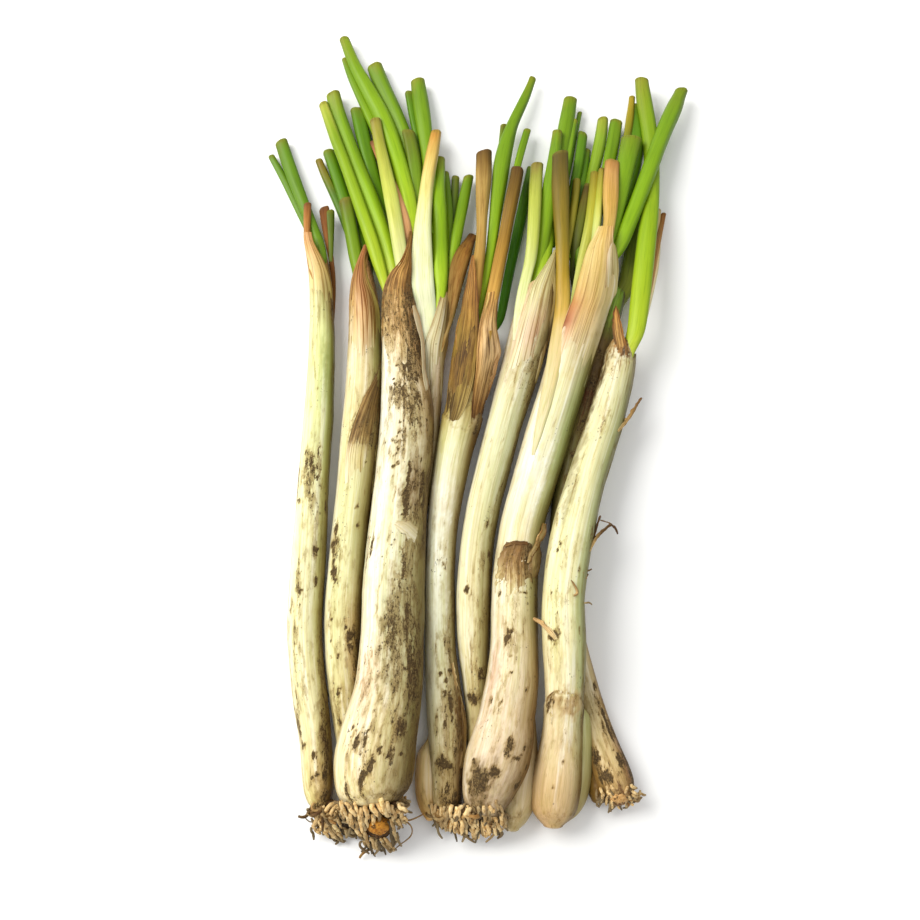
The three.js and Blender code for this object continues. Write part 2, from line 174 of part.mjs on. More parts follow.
// Closed geometry to a solid for joining and cutting.
function solid(geometry) {
  let g = geometry.clone();
  g.deleteAttribute('normal');
  g.deleteAttribute('uv');
  g = mergeVertices(g, 1e-4);
  return new wasm.Manifold(new wasm.Mesh({
    numProp: 3,
    vertProperties: new Float32Array(g.attributes.position.array),
    triVerts: new Uint32Array(g.index.array),
  }));
}

// The largest single body left after cutting.
function largest(m) {
  const parts = m.decompose();
  let best = parts[0];
  for (const p of parts) if (p.volume() > best.volume()) best = p;
  return best;
}

function meshOf(m, name, colour, roughness) {
  const mesh = m.getMesh();
  const g = new THREE.BufferGeometry();
  g.setAttribute('position', new THREE.BufferAttribute(Float32Array.from(mesh.vertProperties), 3));
  g.setIndex(new THREE.BufferAttribute(Uint32Array.from(mesh.triVerts), 1));
  g.computeVertexNormals();
  const out = new THREE.Mesh(g, new THREE.MeshStandardMaterial({ color: colour, roughness, metalness: 0 }));
  out.name = name;
  return out;
}

// Everything below the resting plane is pressed away, which leaves real flats.
const below = solid(new THREE.BoxGeometry(1000, 1000, 100).translate(0, 0, FLOOR - 50));

const leafRows = (line) => line.map(([x, y, z, a]) => [x, y, z, a, a * LEAF_FLATNESS]);

// Pieces in order: each later piece gives way to the earlier ones it would touch.
const placed = [];
const group = new THREE.Group();

function bounds(m) {
  const b = m.boundingBox();
  return new THREE.Box3(new THREE.Vector3(...b.min), new THREE.Vector3(...b.max));
}

function place(name, body, grown, colour, roughness) {
  let m = body;
  const box = bounds(m);
  for (const p of placed) {
    if (!box.intersectsBox(p.box)) continue;
    if (m.intersect(p.grown).volume() > 1e-6) m = m.subtract(p.grown);
  }
  m = largest(m.subtract(below));
  m = largest(m.simplify(0.02));
  placed.push({ name, grown, box: bounds(grown) });
  group.add(meshOf(m, name, colour, roughness));
}

for (const [name, { colour, line }] of Object.entries(STALKS)) {
  let body = loft(line, STALK_SIDES);
  let grown = loft(line, STALK_SIDES, GAP);
  const side = DAUGHTER_BULBS[name];
  if (side) {
    body = body.add(loft(side, LOBE_SIDES));
    grown = grown.add(loft(side, LOBE_SIDES, GAP));
  }
  place(name, body, grown, colour, 0.55);
}

for (const [name, { colour, line }] of Object.entries(DRY_SKINS)) {
  place(name, loft(line, LEAF_SIDES), loft(line, LEAF_SIDES, GAP), colour, 0.8);
}
for (const [name, { plate, roots }] of Object.entries(ROOTS)) {
  const [x, y, z, r] = plate;
  const disc = (extra) => solid(new THREE.CylinderGeometry(r + extra, r * 0.8 + extra, 1.8 + 2 * extra, 10)
    .scale(1, 1, 0.8).translate(x, y, Math.max(z, r * 0.8)));
  let body = disc(0);
  let grown = disc(GAP);
  for (const root of roots) {
    const rows = root.map(([px, py, pz, pr]) => [px, py, pz, pr, pr]);
    body = body.add(loft(rows, ROOT_SIDES));
    grown = grown.add(loft(rows, ROOT_SIDES, GAP));
  }
  place(name, body, grown, '#a87a45', 0.85);
}

for (const [name, { colour, line }] of Object.entries(LEAVES)) {
  place(name, loft(leafRows(line), LEAF_SIDES), loft(leafRows(line), LEAF_SIDES, GAP), colour, 0.4);
}

export default group;
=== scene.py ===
"""Looks for the bunch of rakkyo: eight plants lying side by side on a pale surface.

Everything is built in millimetres in the row frame and scaled to metres: +Y runs from the
roots to the trimmed leaf tips, +Z is up, and the plants lie on z = 0."""
import math

import bpy
import numpy as np
from mathutils import Matrix, Vector


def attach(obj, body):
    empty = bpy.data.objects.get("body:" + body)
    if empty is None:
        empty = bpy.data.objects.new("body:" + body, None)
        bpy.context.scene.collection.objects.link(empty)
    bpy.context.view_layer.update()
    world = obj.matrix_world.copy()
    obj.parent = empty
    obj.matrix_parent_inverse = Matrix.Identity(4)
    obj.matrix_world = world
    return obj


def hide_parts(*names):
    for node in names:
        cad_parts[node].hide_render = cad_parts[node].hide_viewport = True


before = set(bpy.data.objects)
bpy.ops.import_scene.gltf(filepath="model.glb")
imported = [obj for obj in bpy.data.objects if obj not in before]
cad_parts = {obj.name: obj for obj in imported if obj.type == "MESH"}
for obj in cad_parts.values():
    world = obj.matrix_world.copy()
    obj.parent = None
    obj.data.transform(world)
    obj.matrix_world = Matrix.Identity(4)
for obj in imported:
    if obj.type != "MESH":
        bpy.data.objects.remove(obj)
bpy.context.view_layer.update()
MM = 0.001
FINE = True

# ------------------------------------------------------------------ tables (millimetres)
# centre line of each stalk from the root end: x, y, z, half width, half height
STALKS = {
    "1": [[-41.69, -118.63, 4.33, 2.24, 2.13], [-42.05, -117.14, 4.02, 3.29, 3.12], [-42.32, -114.65, 3.75, 3.95, 3.75], [-42.58, -112.15, 3.59, 4.09, 3.89], [-43.66, -102.05, 3.75, 4.26, 4.05], [-45.54, -91.75, 4.16, 4.69, 4.46], [-46.46, -86.47, 4.07, 4.6, 4.37], [-47.77, -75.75, 4.15, 4.68, 4.45], [-48.03, -70.29, 4.17, 4.71, 4.47], [-47.65, -47.73, 4.22, 4.76, 4.52], [-47.59, -29.95, 3.97, 4.5, 4.27], [-46.92, -11.47, 3.85, 4.37, 4.15], [-46.86, 7.91, 3.46, 3.96, 3.76], [-46.94, 14.31, 3.84, 3.83, 3.64], [-47.22, 20.96, 3.88, 3.56, 3.38], [-48.14, 34.08, 4.76, 3.43, 3.26], [-48.89, 38.92, 5.35, 3.42, 3.25], [-50.1, 44.1, 5.44, 2.89, 2.74], [-50.92, 46.62, 5.69, 2.46, 2.34]],
    "2": [[-33.29, -111.62, 3.13, 0.99, 0.93], [-33.49, -110.1, 2.94, 2.16, 2.05], [-33.81, -108.34, 2.99, 2.94, 2.79], [-34.2, -104.53, 2.99, 3.47, 3.29], [-35.63, -96.84, 3.15, 3.64, 3.45], [-36.32, -91.65, 3.43, 3.93, 3.73], [-37.3, -81.15, 4.12, 4.65, 4.42], [-37.66, -70.34, 4.43, 4.98, 4.73], [-37.59, -64.82, 4.45, 5, 4.75], [-36.66, -47.82, 4.53, 5.08, 4.83], [-36.31, -41.97, 4.42, 4.98, 4.72], [-35.26, -30.21, 4.75, 5.32, 5.05], [-34.63, -18.12, 4.96, 5.54, 5.26], [-34, 0.91, 4.6, 5.16, 4.9], [-34.06, 7.42, 4.5, 5.05, 4.8], [-34.2, 20.48, 4.81, 4.75, 4.51], [-34.55, 27.22, 4.81, 4.33, 4.11], [-35, 32.31, 4.85, 3.74, 3.55], [-35.63, 37.59, 4.66, 2.7, 2.56], [-35.29, 41.72, 4.74, 1.94, 1.84]],
    "3": [[-27.42, -117.53, 12.23, 7.15, 6.15], [-27.83, -116.08, 12.2, 8.8, 7.57], [-27.99, -114.41, 12.38, 9.44, 8.12], [-27.65, -111.53, 12.59, 9.99, 8.59], [-27.36, -107.88, 12.69, 10.23, 8.79], [-26.96, -104.18, 12.57, 10.09, 8.67], [-26.19, -100.41, 12.25, 9.71, 8.35], [-24.51, -92.69, 11.07, 9.04, 7.77], [-24.03, -87.42, 10.26, 8.8, 7.56], [-23.81, -76.66, 8.96, 8.46, 7.27], [-23.83, -60.01, 7.68, 8.25, 7.08], [-22.98, -42.68, 6.77, 8, 6.87], [-22.1, -30.79, 6.42, 7.82, 6.72], [-21.49, -24.84, 6.59, 8.01, 6.89], [-20.84, -12.53, 6.46, 7.87, 6.76], [-21.1, -6.21, 6.33, 7.49, 6.44], [-21.73, 0.24, 6.08, 6.73, 5.78], [-23.55, 19.8, 6.12, 5.39, 4.62], [-24.13, 26.55, 6.05, 4.83, 4.15], [-24.29, 30.98, 6.01, 4.32, 3.71], [-23.76, 35.09, 6.02, 3.4, 2.92], [-22.28, 42.18, 6.32, 1.66, 1.42]],
    "3b": [[-18.19, -41.07, 1.44, 2.19, 1.74], [-17.39, -35.33, 2.13, 3.05, 2.43], [-16.06, -26.36, 2.38, 3.37, 2.68], [-15, -17.14, 2.42, 3.41, 2.72], [-14.7, -10.82, 2.27, 3.22, 2.57], [-14.24, -4.55, 2.43, 3.18, 2.53], [-13.59, 7.95, 3.38, 3.36, 2.68], [-13.33, 14.17, 4.13, 3.67, 2.93], [-12.99, 20.54, 4.69, 3.75, 2.99], [-12.41, 25.06, 5.05, 3.45, 2.75], [-11.76, 28.37, 5.19, 2.62, 2.08]],
    "4": [[-8.92, -120.83, 4.22, 1.87, 1.72], [-8.94, -117.86, 3.73, 3.94, 3.62], [-9.02, -114.63, 3.4, 4.03, 3.7], [-9.1, -110.89, 3.48, 4.11, 3.78], [-9.12, -102.1, 4.23, 4.93, 4.53], [-9.41, -96.98, 4.37, 5.08, 4.67], [-9.9, -91.76, 4.22, 4.91, 4.52], [-10.83, -81.06, 3.61, 4.25, 3.91], [-11.07, -75.62, 3.45, 4.08, 3.75], [-11.38, -58.98, 3.46, 4.09, 3.76], [-10.89, -47.53, 3.5, 4.13, 3.8], [-10.5, -41.74, 3.64, 4.29, 3.94], [-9.75, -35.89, 3.84, 4.5, 4.14], [-7.79, -24.03, 4.36, 5.07, 4.66], [-5.14, -11.96, 5.06, 5.61, 5.16], [-4.12, -7.38, 5.36, 5.51, 5.06], [-1.91, 6.1, 7.32, 6.33, 5.82], [-1.31, 9.77, 7.76, 6.37, 5.86], [-0.67, 18.96, 7.76, 5.28, 4.86], [-0.5, 23.92, 7.83, 4.27, 3.93]],
    "5": [[-0.76, -109.13, 3.46, 1.25, 1.16], [-0.86, -105.52, 2.61, 2.7, 2.51], [-1.03, -101.92, 2.41, 2.92, 2.71], [-1.27, -96.75, 2.42, 2.93, 2.72], [-1.38, -91.55, 2.69, 3.22, 2.99], [-2.06, -75.69, 3.8, 4.42, 4.1], [-2.02, -64.74, 4.11, 4.74, 4.41], [-1.42, -53.43, 4.02, 4.65, 4.32], [-0.83, -47.68, 4.03, 4.66, 4.33], [1.21, -35.99, 4.15, 4.79, 4.45], [7.48, -11.72, 4.47, 5.13, 4.77], [11.02, 0.77, 4.9, 5.59, 5.2], [12.81, 7.05, 5.3, 5.71, 5.3], [14.13, 11.68, 5.85, 5.97, 5.55], [15.32, 16.42, 6.25, 5.97, 5.55], [17.13, 26.03, 7.01, 5.49, 5.11], [17.79, 29.78, 7.57, 5.24, 4.87], [18.07, 32.99, 7.91, 4.74, 4.41], [18.82, 38.53, 8.16, 4.54, 4.22], [19.81, 42.54, 8.41, 3.95, 3.67]],
    "6": [[0.33, -120.3, 9.88, 4.03, 3.55], [0.48, -119.08, 9.4, 5.18, 4.56], [0.74, -117.39, 9.35, 5.95, 5.24], [1.39, -114.98, 9.76, 6.85, 6.03], [3.47, -108.89, 10.35, 8.16, 7.18], [4.54, -105.17, 10.28, 8.2, 7.22], [5.62, -101.42, 10.26, 7.98, 7.03], [6.1, -97.68, 10.33, 7.31, 6.43], [7.17, -92.53, 9.88, 7.26, 6.38], [8.2, -87.26, 9.25, 6.99, 6.15], [8.97, -76.46, 7.89, 6.36, 5.59], [8.89, -70.95, 7.36, 6.21, 5.46], [9.25, -59.72, 6.5, 6.02, 5.29], [10.59, -48.18, 5.77, 5.77, 5.07], [11.82, -42.35, 5.67, 5.89, 5.17], [19.2, -18.61, 6.22, 6.51, 5.72], [26.84, 6.17, 7.17, 6.67, 5.87], [33.18, 25.78, 7.47, 5.43, 4.77], [34.82, 32.3, 7.93, 5.27, 4.63], [36.08, 37.06, 8.57, 5.08, 4.47], [37.76, 43.73, 9.32, 4.32, 3.81]],
    "7": [[17.99, -123.29, 5.43, 2.55, 2.34], [18.04, -120.87, 5.68, 5.36, 4.93], [18.14, -118.69, 5.92, 6.08, 5.59], [18.84, -114.8, 6.36, 6.38, 5.86], [19.33, -111.87, 6.83, 6.45, 5.93], [20.31, -104.97, 7.71, 5.67, 5.21], [20.74, -101.28, 8.57, 5.3, 4.87], [21.08, -97.61, 9.69, 4.99, 4.59], [21.45, -92.68, 11.04, 4.94, 4.54], [21.58, -82.69, 13.14, 5.49, 5.04], [21.5, -77.57, 13.75, 5.71, 5.25], [21.4, -72.29, 13.78, 5.74, 5.28], [21.6, -66.86, 13.49, 5.65, 5.19], [23.25, -55.71, 12.64, 5.81, 5.34], [25.99, -43.95, 10.94, 5.7, 5.24], [29.54, -31.74, 9.2, 5.33, 4.9], [35.96, -13.22, 8.17, 5.3, 4.87], [39.72, -0.5, 7.74, 4.83, 4.44], [40.83, 4.29, 7.74, 4.61, 4.24], [41.67, 8.4, 7.92, 4.15, 3.82], [42.12, 11.64, 7.94, 3.31, 3.04]],
    "8": [[35.96, -117.17, 4.54, 2.78, 2.64], [35.37, -115.69, 4.69, 4.2, 3.99], [34.54, -113.72, 4.83, 4.98, 4.73], [33.79, -111.22, 4.57, 5.13, 4.87], [30.62, -99.99, 3.65, 4.16, 3.95], [29.39, -95.31, 3.43, 3.93, 3.73], [28.04, -90.05, 3.2, 3.69, 3.5], [25.19, -76.9, 3, 3.47, 3.3], [23.2, -63.09, 3, 3.48, 3.3], [22.73, -56.03, 3.02, 3.5, 3.33], [22.68, -48.85, 3.05, 3.53, 3.35], [23.19, -41.57, 3.08, 3.56, 3.38], [24.13, -34.16, 3.11, 3.59, 3.41], [27.37, -18.98, 3.16, 3.65, 3.46], [34.29, 4.79, 3.17, 3.65, 3.47], [36.7, 12.89, 3.35, 3.53, 3.35], [40.86, 26.93, 4.07, 3.13, 2.97], [42.27, 31.58, 4.3, 2.53, 2.4]],
}
# daughter bulbs grown against a main bulb, same columns
LOBES = {
    "4": [[-12.92, -121.04, 3.41, 1.8, 1.62], [-13.86, -119.04, 2.6, 2.46, 2.21], [-14.41, -116.06, 2.36, 2.85, 2.57], [-14.58, -112.07, 2.49, 3, 2.7], [-14.5, -107.52, 2.39, 2.88, 2.6], [-14.15, -103.44, 2.34, 2.5, 2.25], [-13.64, -100.39, 2.65, 1.85, 1.66]],
    "6": [[7.43, -123.76, 4.63, 2.04, 1.84], [7.72, -122.29, 4.38, 3.33, 2.99], [8.27, -119.86, 4.51, 4.36, 3.92], [9.1, -116.17, 4.58, 4.77, 4.29], [9.82, -111.71, 4.59, 4.66, 4.2], [10.42, -106.72, 4.86, 4.3, 3.87], [10.75, -101.7, 5.4, 3.79, 3.41], [10.82, -96.15, 6.22, 3.15, 2.83], [10.61, -91.09, 7.04, 2.5, 2.25]],
    "7": [[20.69, -121.07, 4.24, 2.05, 1.85], [21.92, -119.35, 4.08, 3.21, 2.89], [23.04, -116.4, 4.2, 4.13, 3.71], [23.95, -112.19, 4.35, 4.4, 3.96], [24.46, -107.22, 4.85, 4.29, 3.86], [24.68, -101.76, 6.03, 4.04, 3.64], [24.62, -96.28, 7.29, 3.66, 3.29], [24.42, -91.29, 8.5, 3.01, 2.71]],
    "8": [[30.33, -116.86, 3.45, 2.07, 1.86], [30.2, -114.85, 3.07, 2.98, 2.68], [30.22, -111.85, 2.92, 3.25, 2.93], [30.53, -108.31, 2.7, 3.01, 2.71], [31.07, -104.75, 2.72, 2.37, 2.13], [31.51, -102, 3.33, 1.71, 1.54]],
}
# the frame node that each stalk stands for
NODE_OF = {
    "1": "rakkyo_1_stalk",
    "2": "rakkyo_2_stalk",
    "3": "rakkyo_3_stalk",
    "3b": "rakkyo_3_second_shoot",
    "4": "rakkyo_4_stalk",
    "5": "rakkyo_5_stalk",
    "6": "rakkyo_6_stalk",
    "7": "rakkyo_7_stalk",
    "8": "rakkyo_8_stalk",
}
